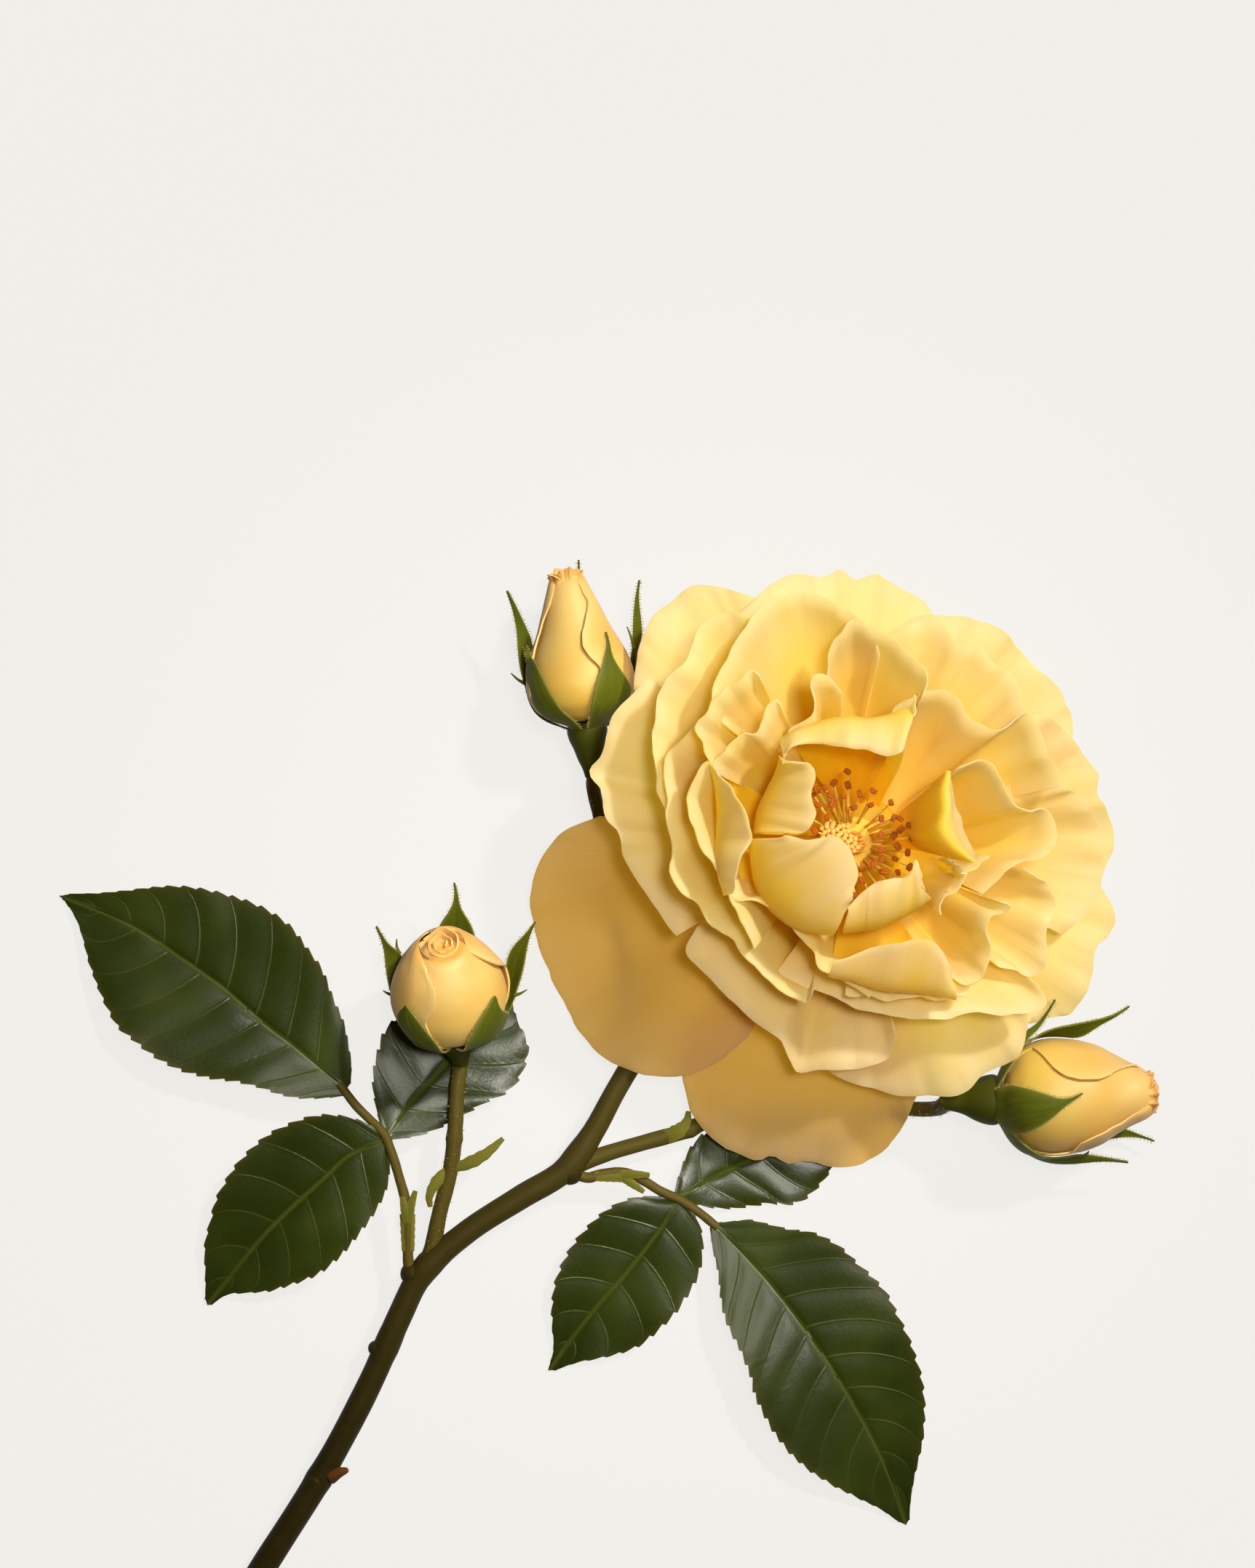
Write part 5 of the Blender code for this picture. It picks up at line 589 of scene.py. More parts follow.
          [(23.6, -44.6, 15.6), (25, -42.2, 16.8), (27, -39, 17.4), (28.8, -36, 17.4), (30, -34.9, 17.3),
           (31.2, -33.7, 17.3), (32.2, -32.1, 17.5), (33, -30.8, 17.7), (34, -28.8, 18)]),
         ([(23.2, -47.6, 15), (25.6, -50.2, 16), (28, -52, 16), (30, -53.5, 15.6),
           (31.8, -54.8, 14.6), (34, -55.7, 12.8), (37, -56, 11.4), (40, -56.1, 10.2), (42, -56.4, 9.6),
           (44.4, -56.8, 9.1), (46.8, -57.3, 8.7)],
          [(23, -48.8, 11.6), (25.4, -52.1, 11), (26.6, -53.4, 10.6), (28.2, -55.1, 10.2),
           (30.2, -56.5, 10), (32.4, -57.3, 9.8), (35, -57.6, 9.6), (38, -57.5, 9.4), (41, -57.2, 9.2),
           (44, -57.2, 8.9), (46.8, -57.4, 8.6)]),
         ([(23, -46.6, 8.6), (25.4, -46.4, 5.4), (31, -47.8, 2.2), (38, -49.6, 1.6), (43.5, -50.9, 2),
           (45.5, -51.3, 2.4), (47.6, -52, 2.8), (49.5, -52.8, 3.2), (51.4, -53.6, 3.6)],
          [(23, -48.4, 9.6), (25, -51.2, 7.2), (31, -54.2, 3.4), (38, -54.6, 2.2), (42.4, -53.5, 2.2),
           (45, -53, 2.4), (47.6, -52.9, 2.8), (49.5, -53.1, 3.2), (51.4, -53.75, 3.6)])]},
]

# The main stem in the plan, its true places close under the bloom, the height of its end, and its radius
# along the way.
MAIN_STEM = [
    (-143.2, -188.4, 2.1), (-136, -177, 2.1), (-128, -164.4, 2.12), (-116, -145.6, 2.4),
    (-105.5, -128.8, 2.9), (-94.6, -111.4, 3.6), (-86, -95, 4.4), (-81.4, -84.5, 5), (-77.6, -77, 5.4),
    (-70, -70, 5.7), (-60, -63.5, 5.8), (-52, -58.5, 5.8), (-47.3, -52, 5.7), (-43.5, -45, 5.6),
    (-36, -33, 5.6), (-24, -19, 6.2), (-12, -8.4, 7.8)]
STEM_TOP = [(-6.2, -3.6, 9.2), (-3.2, -1.4, 11.8), (BLOOM_X, BLOOM_Y, 13.4)]
STEM_END = 14.65
MAIN_RADII = [2.3, 2.3, 2.3, 2.3, 2.3, 2.3, 2.15, 2.15, 2.2, 2.1, 2.1, 2.1, 1.95, 1.9, 1.9, 1.9, 1.9,
              1.85, 1.8, 1.8]

# Knots where branches leave the stem and by its two small lumps, as (share of the way, more radius, share of
# the length).
STEM_KNOTS = [(0.545, 0.35, 0.012), (0.68, 0.35, 0.012), (0.48, 0.2, 0.006), (0.37, 0.18, 0.006)]

# The stalks to the buds, and in the order of BUDS each with its radii along the way and its knots.
LEFT_STALK = [(-77.4, -76.8, 5.4), (-76, -73.4, 5.6), (-74.3, -66, 6.1), (-72.5, -59, 6.5),
              (-71.6, -51, 6.6), (-71.4, -46.5, 6.3)]
RIGHT_BRANCH = [(-52, -58.7, 5.6), (-46, -56.2, 4.7), (-38, -53.8, 3.6), (-31.6, -52, 3.1), (-24, -48.6, 2.9),
                (-12, -45.6, 2.9), (0, -46.2, 2.9), (9, -48, 4.4), (13.6, -47.8, 8)]
UPPER_STALK = [(-37.2, -34.5, 5.7), (-40, -24, 6.6), (-43.4, -10, 7), (-46, 2.5, 7.8), (-47.4, 9.5, 9.5)]
STALKS = [
    (LEFT_STALK, [1.5, 1.35, 1.35, 1.35], [(0.62, 0.25, 0.02)]),
    (UPPER_STALK, [1.3, 1.2, 1.2, 1.2], []),
    (RIGHT_BRANCH, [1.45, 1.35, 1.3, 1.35], [(0.30, 0.3, 0.015)]),
]

# Bracts, as a spine and its widths.
BRACTS = [
    ([(-71.8, -58.4, 7), (-69.4, -57.6, 7.6), (-66.4, -56, 7.8), (-63.2, -53.2, 7.4)], [1.4, 2.1, 1.6, 0.7]),
    ([(-72.8, -58.6, 7), (-75, -61, 7.4), (-76.2, -63.6, 7.4), (-76, -65.2, 7)], [1.4, 2.0, 1.4, 0.7]),
    ([(-34.5, -53, 4), (-32, -51.6, 4.8), (-30.8, -50, 4.9), (-30.6, -48.4, 4.7)], [2.4, 2.6, 1.6, 0.7]),
]

# Lumps on the stem: a profile and the number of points on it, the place in the plan, and the way it points.
LARGE_LUMP = [(0, -2.2), (1.6, -1.5), (2.2, 0), (1.6, 1.5), (0, 2.2)]
SMALL_LUMP = [(0, -1.6), (1.3, -1), (1.7, 0), (1.2, 1), (0, 1.6)]
LUMPS = [
    (LARGE_LUMP, 13, (-79.1, -77, 5.3), (0.4, 0.9, 0)),
    (LARGE_LUMP, 13, (-51.4, -59.2, 5.6), (0.8, 0.6, 0)),
    (SMALL_LUMP, 11, (-85.3, -90.2, 4.7), (0.4, 0.9, 0)),
    (SMALL_LUMP, 11, (-96, -113.4, 4.4), (0.5, 0.85, 0)),
]

# The thorn's foot in the plan, the way it points and its radii, and the profile of the stem's cut end.
THORN_FOOT = (-93.6, -112.6, 4.4)
THORN_WAY = (0.86, 0.42, 0.25)
THORN_LONG = 3.6
THORN_RADII = [1.5, 1.42, 1.28, 1.12, 0.97, 0.84, 0.72, 0.6, 0.4]
CUT_END = [(0, 0.1), (1.7, 0.1), (1.86, 0.16), (1.8, 0.24), (0, 0.24)]

# Leaves: the stalk, its points and wings as a spine and its widths, and each leaflet's midrib with heights,
# its two edges, and how far they are folded up.
LEFT_LEAF = {
    "stalk": [(-79.8, -75.6, 5.9), (-79.9, -74.5, 6.05), (-79.9, -70, 6.6), (-80.2, -65, 6.9),
              (-81.5, -60, 6.9), (-82.7, -56, 7), (-84.2, -52.4, 6.6), (-86.5, -50, 6.2), (-89, -47.5, 5.8),
              (-92, -43.5, 5.4)],
    "wings": [([(-80, -68, 7.3), (-80.5, -65.6, 7.8), (-81, -63.4, 7.9)], [1.5, 1.4, 0.7]),
              ([(-79.9, -68, 7.3), (-79.4, -65, 7.8), (-78.6, -62.4, 7.8)], [1.5, 1.4, 0.7]),
              ([(-79.9, -73, 6.7), (-80, -66.5, 7.2)], [2.1, 2.6])],
    "leaflets": [
        {"midrib": [(-90.8, -44.6, 5.5), (-100, -37, 5.4), (-106, -32.5, 5), (-113, -26.5, 4.4),
                    (-120, -21.5, 3.5), (-128, -16, 2.4), (-132, -14, 1.7), (-141.2, -10.5, 0.3)],
         "left": [(-91.2, -45.8), (-95, -46.2), (-99.5, -46.2), (-103, -45.5), (-106, -44.5), (-110, -43.5),
                  (-115, -42.8), (-120, -41.5), (-124, -39.5), (-128, -36.5), (-131, -34), (-133, -30.5),
                  (-134.5, -27), (-136, -23), (-137, -19), (-138.2, -15), (-140, -11.6)],
         "right": [(-90, -43.4), (-89.8, -40), (-90.2, -37), (-91, -33), (-93, -28), (-95, -23),
                   (-97.5, -19.5), (-100, -16), (-104, -13), (-110, -10.5), (-115, -9.2), (-120, -8.6),
                   (-125, -8.8), (-130, -9.5), (-135, -10), (-139.4, -10.2)], "fold": 1.2},
        {"midrib": [(-83.2, -53.4, 6.7), (-90, -56, 6.4), (-95, -60.5, 5.8), (-100, -65, 4.8),
                    (-105, -70, 3.5), (-110, -76, 2), (-115.2, -82.5, 0.3)],
         "left": [(-83.2, -54.6), (-83, -58), (-83.5, -62), (-86, -67), (-89, -71), (-92, -74.5),
                  (-96, -77.5), (-100, -79), (-104, -80.2), (-108, -80.5), (-112, -80.8), (-114.4, -82.4)],
         "right": [(-84, -52.6), (-88, -50), (-92, -49), (-95, -48.8), (-100, -50), (-105, -52.5),
                   (-109, -56), (-112, -60), (-114, -64), (-115, -68), (-115.8, -71.5), (-115.7, -77),
                   (-115.6, -81.4)], "fold": 1.0},
        {"midrib": [(-83.6, -52.8, 6.6), (-79.5, -47, 4.1), (-75, -42, 3), (-70, -36, 2.4), (-68, -33, 2),
                    (-63.5, -24, 0.3)],
         "left": [(-84.6, -51.8), (-85.6, -48), (-86.3, -44), (-86.2, -41), (-85.3, -37), (-84.5, -34.5),
                  (-82.5, -32), (-78, -28), (-70, -24.4), (-64.6, -23.2)],
         "right": [(-82.6, -53.4), (-78, -52.8), (-75, -51.8), (-71, -49.8), (-66, -47), (-62, -45),
                   (-60.3, -43), (-59, -40), (-58.5, -38), (-59, -35.5), (-60.5, -32.5), (-61.5, -29),
                   (-62.5, -25)], "fold": 0.2},
    ],
}
RIGHT_LEAF = {
    "stalk": [(-49.6, -59.8, 5.4), (-48.3, -60.1, 5.3), (-46, -59.5, 5.2), (-41, -59.4, 4.9),
              (-38.5, -60.6, 4.7),
              (-35.6, -62.4, 4.4), (-32.3, -63.9, 4.2), (-29, -66, 4.1), (-25.4, -68.9, 4.1)],
    "wings": [([(-42.6, -59.6, 5.6), (-40, -59.5, 6), (-37.4, -59.6, 6)], [1.5, 1.3, 0.7]),
              ([(-42.4, -59.8, 5.5), (-40.4, -61.2, 5.8), (-38.4, -62.6, 5.6)], [1.5, 1.3, 0.7]),
              ([(-47, -59.9, 5.8), (-41.6, -59.8, 5.5)], [1.5, 2.1])],
    "leaflets": [
        {"midrib": [(-32, -64, 4.1), (-35, -68.5, 4), (-38, -72.5, 3.7), (-42, -77.5, 3), (-46, -82, 2.2),
                    (-50, -87, 1.3), (-55.2, -94, 0.3)],
         "left": [(-31.2, -64.8), (-29.5, -66.5), (-28, -70), (-27.8, -73), (-28.5, -77), (-30.5, -81),
                  (-33, -84.5), (-35.5, -87), (-38.5, -89.5), (-42, -91), (-46, -92), (-50, -92.7),
                  (-54, -94)],
         "right": [(-33, -63.6), (-37, -63.2), (-41, -63.6), (-45, -65.5), (-49, -69), (-52, -73),
                   (-54, -77.5), (-54.8, -82), (-54.7, -86), (-54.3, -89), (-54.8, -93)],
         "fold": 1.0},
        {"midrib": [(-32.4, -63.4, 4.1), (-29.5, -62, 2.2), (-27, -60.5, 1.0), (-21, -57.5, 0.6),
                    (-14, -55, 0.5), (-2, -51, 0.4)],
         "left": [(-33.2, -62.8), (-32, -58.6), (-30.4, -54.8), (-28.5, -52.5), (-25, -50.5), (-20, -48.8),
                  (-14, -48), (-8, -48.4), (-2.6, -50)],
         "right": [(-31.6, -64.2), (-27, -65.4), (-23, -65.7), (-19, -65.2), (-16, -64.8), (-13, -65.1),
                   (-10.5, -64.4), (-8.5, -62.8), (-6.5, -60.5), (-5, -58.2), (-3.5, -55.5), (-1.6, -52)],
         "fold": 0.0},
        {"midrib": [(-26.2, -68.3, 4.1), (-20, -74.5, 4.6), (-13, -83, 5), (-3.5, -97, 4.5), (1, -104.5, 3.2),
                    (5, -113, 1.5), (7.7, -121.2, 0.3)],
         "left": [(-25, -68), (-22, -67.6), (-20, -67.4), (-17, -68), (-13, -69), (-9, -69.5), (-5, -71.2),
                  (0, -75.5), (4, -79.5), (7, -85), (9.5, -91), (11, -97), (11.2, -102), (10.7, -107),
                  (9.5, -112), (8.7, -116), (8.3, -120.2)],
         "right": [(-26.8, -69), (-26.5, -72), (-25.5, -77), (-25, -82), (-24, -86), (-22, -90), (-20, -95),
                   (-19, -99), (-17, -103), (-14, -107.5), (-10.5, -111), (-6, -114), (-1, -116.5),
                   (3, -118.4), (6.4, -120.6)], "fold": 1.2},
    ],
}
LEAVES = {"leaf_left": LEFT_LEAF, "leaf_right": RIGHT_LEAF}


class Looks:
    """A material's nodes, added one by one."""

    def __init__(self, name, roughness, **sockets):
        self.material = bpy.data.materials.new(name)
        self.material.use_nodes = True
        self.tree = self.material.node_tree
        self.shader = self.tree.nodes["Principled BSDF"]
        self.shader.inputs["Roughness"].default_value = roughness
        for key, value in sockets.items():
            self.shader.inputs[key.replace("_", " ")].default_value = value

    def put(self, socket, value):
        """Links a socket to a node's output, or sets it to a number or a colour."""
        if isinstance(value, bpy.types.NodeSocket):
            self.tree.links.new(value, socket)
        else:
            socket.default_value = (*value, 1.0) if isinstance(value, tuple) else value

    def add(self, kind, inputs, **settings):
        node = self.tree.nodes.new(kind)
        for key, value in settings.items():
            setattr(node, key, value)
        for key, value in inputs.items():
            self.put(node.inputs[key], value)
        return node

    def attributes(self, *names):
        return [self.add("ShaderNodeAttribute", {}, attribute_name=name).outputs["Fac"] for name in names]

    def math(self, operation, *values):
        return self.add("ShaderNodeMath", dict(enumerate(values)), operation=operation).outputs[0]

    def times(self, first, second):
        return self.math("MULTIPLY", first, second)

    def plus(self, first, second):
        return self.math("ADD", first, second)

    def minus(self, first, second):
        return self.math("SUBTRACT", first, second)

    def divided(self, first, second):
        return self.math("DIVIDE", first, second)

    def most(self, first, second):
        return self.math("MAXIMUM", first, second)

    def ramp(self, value, *stops):
        node = self.add("ShaderNodeValToRGB", {"Fac": value})
        node.color_ramp.interpolation = "EASE"
        elements = node.color_ramp.elements
        while len(elements) < len(stops):
            elements.new(0.5)
        for element, (at, colour) in zip(elements, stops):
            element.position = at
            element.color = (*colour, 1.0)
        return node.outputs["Color"]

    def mix(self, share, first, second, blend="MIX"):
        inputs = {0: share, 6: first, 7: second}
        return self.add("ShaderNodeMix", inputs, data_type="RGBA", blend_type=blend).outputs[2]

    def object_place(self):
        return self.add("ShaderNodeTexCoord", {}).outputs["Object"]

    def noise(self, scale, detail=2.0, roughness=0.5, vector=None):
        inputs = {"Scale": scale, "Detail": detail, "Roughness": roughness}
        inputs["Vector"] = self.object_place() if vector is None else vector
        return self.add("ShaderNodeTexNoise", inputs).outputs["Fac"]

    def streaks(self, across, along, by_across, by_along, detail=3.0):
        """Noise drawn out along a blade."""
        x = self.times(across, by_across)
        y = self.times(along, by_along)
        tone, = self.attributes("tone")
        vector = self.add("ShaderNodeCombineXYZ", {0: x, 1: y, 2: tone}).outputs[0]
        return self.noise(1.0, detail, 0.55, vector)

    def bump(self, height, strength, distance, before=None):
        inputs = {"Height": height, "Strength": strength, "Distance": distance}
        if before is not None:
            inputs["Normal"] = before
        return self.add("ShaderNodeBump", inputs).outputs["Normal"]

    def finish(self, colour, normal, rough=None, through=None, share=0.0):
        """Sets the colour and bumps, and lets light through in the colour through where share is over 0."""
        self.put(self.shader.inputs["Base Color"], colour)
        self.put(self.shader.inputs["Normal"], normal)
        if rough is not None:
            self.put(self.shader.inputs["Roughness"], rough)
        if share:
            behind = self.add("ShaderNodeBsdfTranslucent", {"Color": colour if through is None else through})
            self.put(behind.inputs["Normal"], normal)
            inputs = {0: share, 1: self.shader.outputs[0], 2: behind.outputs[0]}
            both = self.add("ShaderNodeMixShader", inputs)
            self.put(self.tree.nodes["Material Output"].inputs["Surface"], both.outputs[0])
        return self.material


def petal_looks():
    """Petals: orange at the root and cream at the rim, with fine veins, and deeper towards the middle.
    The petals in the others' shade are darkened and browned with painted shade.
    """
    look = Looks("petal", 0.52, Sheen_Weight=0.08, Sheen_Roughness=0.5)
    along, across, deep, dull = look.attributes("along", "across", "deep", "dull")
    veins = look.streaks(across, along, 1.1, 1.4, 4.0)
    broad = look.streaks(across, along, 0.16, 1.0, 2.0)
    patches = look.noise(60.0)
    shift = look.times(look.minus(broad, 0.5), 0.30)
    place = look.plus(along, shift)
    outer = look.ramp(place, (0.0, (0.93, 0.65, 0.06)), (0.35, (0.95, 0.765, 0.20)),
                      (0.7, (0.95, 0.81, 0.37)), (0.9, (0.96, 0.835, 0.52)), (1.0, (0.96, 0.855, 0.62)))
    inner = look.ramp(place, (0.0, (0.97, 0.64, 0.002)), (0.38, (0.98, 0.77, 0.01)),
                      (0.66, (0.98, 0.845, 0.13)), (0.88, (0.98, 0.88, 0.42)), (1.0, (0.98, 0.90, 0.62)))
    colour = look.mix(deep, outer, inner)
    fine = look.times(look.minus(veins, 0.45), 0.5)
    colour = look.mix(look.most(fine, 0.0), colour, (0.94, 0.74, 0.14))
    colour = look.mix(look.times(patches, 0.10), colour, (0.94, 0.74, 0.16))
    # Painted shade: the petals in the others' shade are darkened and browned all over.
    colour = look.mix(dull, colour, (0.92, 0.80, 0.58), "MULTIPLY")
    through = look.mix(0.7, colour, (1.0, 0.975, 0.34), "MULTIPLY")
    normal = look.bump(veins, 0.14, 0.0004)
    normal = look.bump(broad, 0.12, 0.0010, normal)
    return look.finish(colour, normal, through=through, share=0.63)


def bud_looks():
    """Bud petals: greenish at the foot and orange at the tip, with orange patches, and a painted highlight
    that makes their lips and free edges paler.
    """
    look = Looks("bud_petal", 0.48, Sheen_Weight=0.08)
    along, across = look.attributes("along", "across")
    veins = look.streaks(across, along, 1.0, 1.2, 4.0)
    broad = look.noise(120.0)
    colour = look.ramp(along, (0.0, (0.54, 0.44, 0.03)), (0.16, (0.72, 0.55, 0.08)),
                       (0.55, (0.80, 0.56, 0.15)), (0.85, (0.87, 0.62, 0.21)), (1.0, (0.84, 0.39, 0.05)))
    spread = look.ramp(broad, (0.35, (0.0, 0.0, 0.0)), (0.68, (1.0, 1.0, 1.0)))
    colour = look.mix(look.times(spread, 0.34), colour, (0.82, 0.40, 0.05))
    # Painted highlight: the lips and free edges, which the rim attribute marks, are made paler.
    rim, = look.attributes("rim")
    colour = look.mix(look.times(rim, 0.5), colour, (0.97, 0.80, 0.36))
    colour = look.mix(look.times(veins, 0.2), colour, (0.95, 0.78, 0.34), "MULTIPLY")
    normal = look.bump(veins, 0.25, 0.0004)
    return look.finish(colour, normal, through=(0.85, 0.26, 0.01), share=0.20)


def leaf_looks():
    """Leaflets: dark green with paler veins, a fine net between them, patches of gloss and a brown edge."""
    look = Looks("leaf", 0.34, Specular_IOR_Level=0.25)
    side, along, wide, length = look.attributes("across", "along", "wide", "length")
    out = look.math("ABSOLUTE", side)
    # The side veins leave the midrib at even steps and lean towards the tip, as in leaflet_veins().
    lean = look.plus(look.times(out, VEIN_LEAN), look.times(look.times(side, side), VEIN_BEND))
    left = look.times(look.math("LESS_THAN", side, 0.0), VEIN_SHIFT)
    step = look.plus(look.minus(along, lean), left)
    pairs = look.most(look.math("ROUND", look.divided(length, VEIN_STEP)), FEWEST_VEINS)
    count = look.times(step, pairs)
    near = look.math("ABSOLUTE", look.minus(count, look.math("ROUND", count)))
    far = look.divided(look.times(near, length), pairs)
    thin = look.minus(0.34, look.times(out, 0.20))
    side_vein = look.most(look.minus(1.0, look.divided(far, thin)), 0.0)
    mid_vein = look.most(look.minus(1.0, look.divided(wide, 0.62)), 0.0)
    fade = look.times(look.minus(1.0, look.math("POWER", out, 6.0)), 0.50)
    vein = look.most(look.times(side_vein, fade), look.times(mid_vein, 0.9))
    patches = look.noise(55.0)
    mottle = look.noise(420.0, 3.0, 0.6)
    net = look.add("ShaderNodeTexVoronoi", {"Scale": 900.0, "Vector": look.object_place()},
                   feature="DISTANCE_TO_EDGE").outputs["Distance"]
    cells = look.math("MINIMUM", look.times(net, 5.0), 1.0)
    colour = look.ramp(patches, (0.25, (0.011, 0.017, 0.0006)), (0.5, (0.018, 0.027, 0.001)),
                       (0.75, (0.034, 0.048, 0.003)))
    colour = look.mix(look.times(mottle, 0.2), colour, (0.032, 0.056, 0.006))
    colour = look.mix(look.times(look.minus(1.0, cells), 0.06), colour, (0.07, 0.10, 0.02))
    colour = look.mix(vein, colour, (0.075, 0.095, 0.012))
    edge = look.times(look.math("POWER", look.math("ABSOLUTE", side), 20.0), 0.4)
    colour = look.mix(edge, colour, (0.13, 0.09, 0.015))
    normal = look.bump(cells, 0.06, 0.0001)
    normal = look.bump(mottle, 0.05, 0.00015, normal)
    rough = look.plus(look.times(patches, 0.28), 0.18)
    normal = look.bump(vein, 0.5, 0.0002, normal)
    return look.finish(colour, normal, rough, (0.10, 0.24, 0.01), 0.10)


def skin_looks(name, low, high, roughness, tip=None):
    """The skin of a stalk or sepal: streaked, with a tint towards one end or edge."""
    look = Looks(name, roughness, Specular_IOR_Level=0.08)
    across, along = look.attributes("across", "along")
    streaks = look.streaks(across, along, 2.0, 6.0)
    specks = look.noise(260.0, 4.0, 0.6)
    colour = look.mix(streaks, low, high)
    colour = look.mix(look.times(specks, 0.3), colour, tip or high)
    if tip is not None:
        rim, = look.attributes("rim")
        colour = look.mix(rim, colour, tip)
    normal = look.bump(specks, 0.25, 0.0003)
    normal = look.bump(streaks, 0.3, 0.0003, normal)
    return look.finish(colour, normal)


def plain_looks(name, low, high, roughness, share=0.0):
    """A mottled colour that brightens along the piece."""
    look = Looks(name, roughness, Specular_IOR_Level=0.2)
    specks = look.noise(900.0, 3.0, 0.6)
    along, = look.attributes("along")
    colour = look.mix(along, low, high)
    colour = look.mix(look.times(specks, 0.3), colour, high)
    return look.finish(colour, look.bump(specks, 0.4, 0.0002), share=share)


def sway(draw, u, v, waves, lean=0.0):
    """A sine wave across a blade, which leans along it and starts at a drawn place."""
    return np.sin(FULL_TURN * (waves * u + lean * v + draw.random()))


def waves_of(name, u, v, wide):
    """How far a petal's waves move it along its normal: broad soft folds, and small ones at the rim."""
    draw = random.Random(name)
    lift = np.zeros_like(u * v)
    for waves in (2, 3, 5):
        lift = lift + math.sqrt(2 / waves) * draw.uniform(0.4, 1) * sway(draw, u, v, waves)
    lift = RUFFLE * lift * v ** 4
    draw = random.Random(name + "_fine")
    for size in (8.0, 5.0, 3.2):
        lean = draw.uniform(-1.2, 1.2)
        at_rim = v ** 9 if size < 6 else v ** 6
        lift = lift + size / 8 * RIM_WAVES * sway(draw, u, v, wide / size, lean) * at_rim
    for _ in range(4):
        waves = draw.uniform(0.4, 1.5) * wide / 30
        lean = draw.uniform(-0.7, 0.7)
        lift = lift + FOLDS * sway(draw, u, v, waves, lean) * np.sin(math.pi * v ** 1.3)
    return lift


def petal_foot(guide, root):
    """Where a petal's root stands on the core: under its guide line, and narrower."""
    azimuth = np.unwrap(np.arctan2(guide[:, 1] - BLOOM_Y, guide[:, 0] - BLOOM_X))
    middle = (azimuth[0] + azimuth[-1]) / 2
    half = (azimuth[-1] - azimuth[0]) / 2 * ROOT_SPREAD
    half = math.copysign(max(abs(half), LEAST_ROOT_SPREAD), half)
    at = middle + np.linspace(-half, half, len(guide))
    reach = np.interp(root, ROOT_HEIGHTS, ROOT_REACHES)
    x, y = BLOOM_X + reach * np.cos(at), BLOOM_Y + reach * np.sin(at)
    return np.column_stack([x, y, np.full(len(at), root)])


def petal_grid(petal, v):
    """The grid of a petal's blade and the length of its rim: rows round the rim, columns from root to rim."""
    name, root, belly, rim = petal
    straight = isinstance(belly, float)
    edge = smooth(plan(rim), PETAL_ROUND + 1)
    guide = edge if straight else smooth(plan(belly), PETAL_ROUND + 1)
    foot = petal_foot(guide, root)
    halfway = (foot + edge) / 2 + (0, 0, belly) if straight else guide
    pull = 2 * halfway - (foot + edge) / 2
    wide = length_of(edge)
    w = v[:, :, None]
    grid = (1 - w) ** 2 * foot[:, None] + 2 * w * (1 - w) * pull[:, None] + w * w * edge[:, None]
    waves = waves_of(name, steps_down(0, 1, PETAL_ROUND + 1), v, wide)
    grid = grid + sheet_normals(grid) * waves[:, :, None]
    reach = np.linalg.norm(edge - foot, axis=1)[:, None]
    angle = np.clip(1 - (1 - v) * reach / LIP_LONG, 0, 1) * LIP_TURN
    outward = unit((edge - foot) * (1, 1, 0))
    roll = 1 - np.cos(angle) - (1 - math.cos(LIP_TURN)) * v * v
    grid += outward[:, None] * (LIP_RADIUS * roll)[:, :, None]
    grid[:, :, 2] -= LIP_RADIUS * (angle - np.sin(angle))
    return over_table(grid, PETAL_THIN), wide


def petal_sheet(petal, order):
    """A petal's blade. The colour deepens with the petal's order, from the outermost in."""
    v = 1 - (1 - steps_over(0, 1, PETAL_OUT + 1)) ** RIM_CROWDING
    grid, wide = petal_grid(petal, v)
    u = steps_down(-0.5, 0.5, PETAL_ROUND + 1) * wide
    thick = PETAL_THICK_ROOT + (PETAL_THIN - PETAL_THICK_ROOT) * v
    deep = np.clip((order - PLAIN_PETALS) / (len(PETALS) - 2 * PLAIN_PETALS), 0, 1)
    # The petals in the others' shade get painted shade in their colour.
    dull = 1.0 if petal[0] in SHADED_PETALS else 0.0
    first = FLAME_STARTS if petal[0] == "flame" else 0
    grid, v, thick = grid[:, first:], v[:, first:], thick[:, first:]
    return sheet(grid, thick, along=v, across=u, tone=order * 1.7, deep=deep, dull=dull)


def make_bloom():
    """The open bloom's petals in three pieces, outer, middle and inner, and the seat they grow from."""
    looks = petal_looks()
    shapes = [petal_sheet(petal, order) for order, petal in enumerate(PETALS)]
    radius = BLOOM_CORE_RADIUS
    seat = turned([(0, BLOOM_SEAT), (radius - 3, BLOOM_SEAT), (radius - 0.3, BLOOM_SEAT + 1.6),
                   (radius, BLOOM_SEAT + 3.6), (radius - 1, BLOOM_CORE_TOP - 0.3), (0, BLOOM_CORE_TOP)],
                  48, BLOOM_FOOT, UP, along=0.02, deep=1.0)
    make_piece("petals_outer", shapes[:MIDDLE_FROM], looks, "bloom_petals")
    make_piece("petals_middle", shapes[MIDDLE_FROM:INNER_FROM], looks, "bloom_petals")
    make_piece("petals_inner", shapes[INNER_FROM:] + [seat], looks, "bloom_petals")


def around_bloom(radius, azimuth, z):
    """A place at a radius from the bloom's middle, at an azimuth in degrees."""
    turn = math.radians(azimuth)
    return np.array((BLOOM_X + radius * math.cos(turn), BLOOM_Y + radius * math.sin(turn), z))


def anther_shapes(middle, way, side, size, tone):
    """The two lobes of an anther, which lie along way."""
    profile = [(r * size, h * size) for r, h in ANTHER]
    feet = [middle + side * sign * 0.26 * size - way * 0.95 * size for sign in (-1, 1)]
    return [turned(profile, 10, foot, way, along=1.0, tone=tone) for foot in feet]


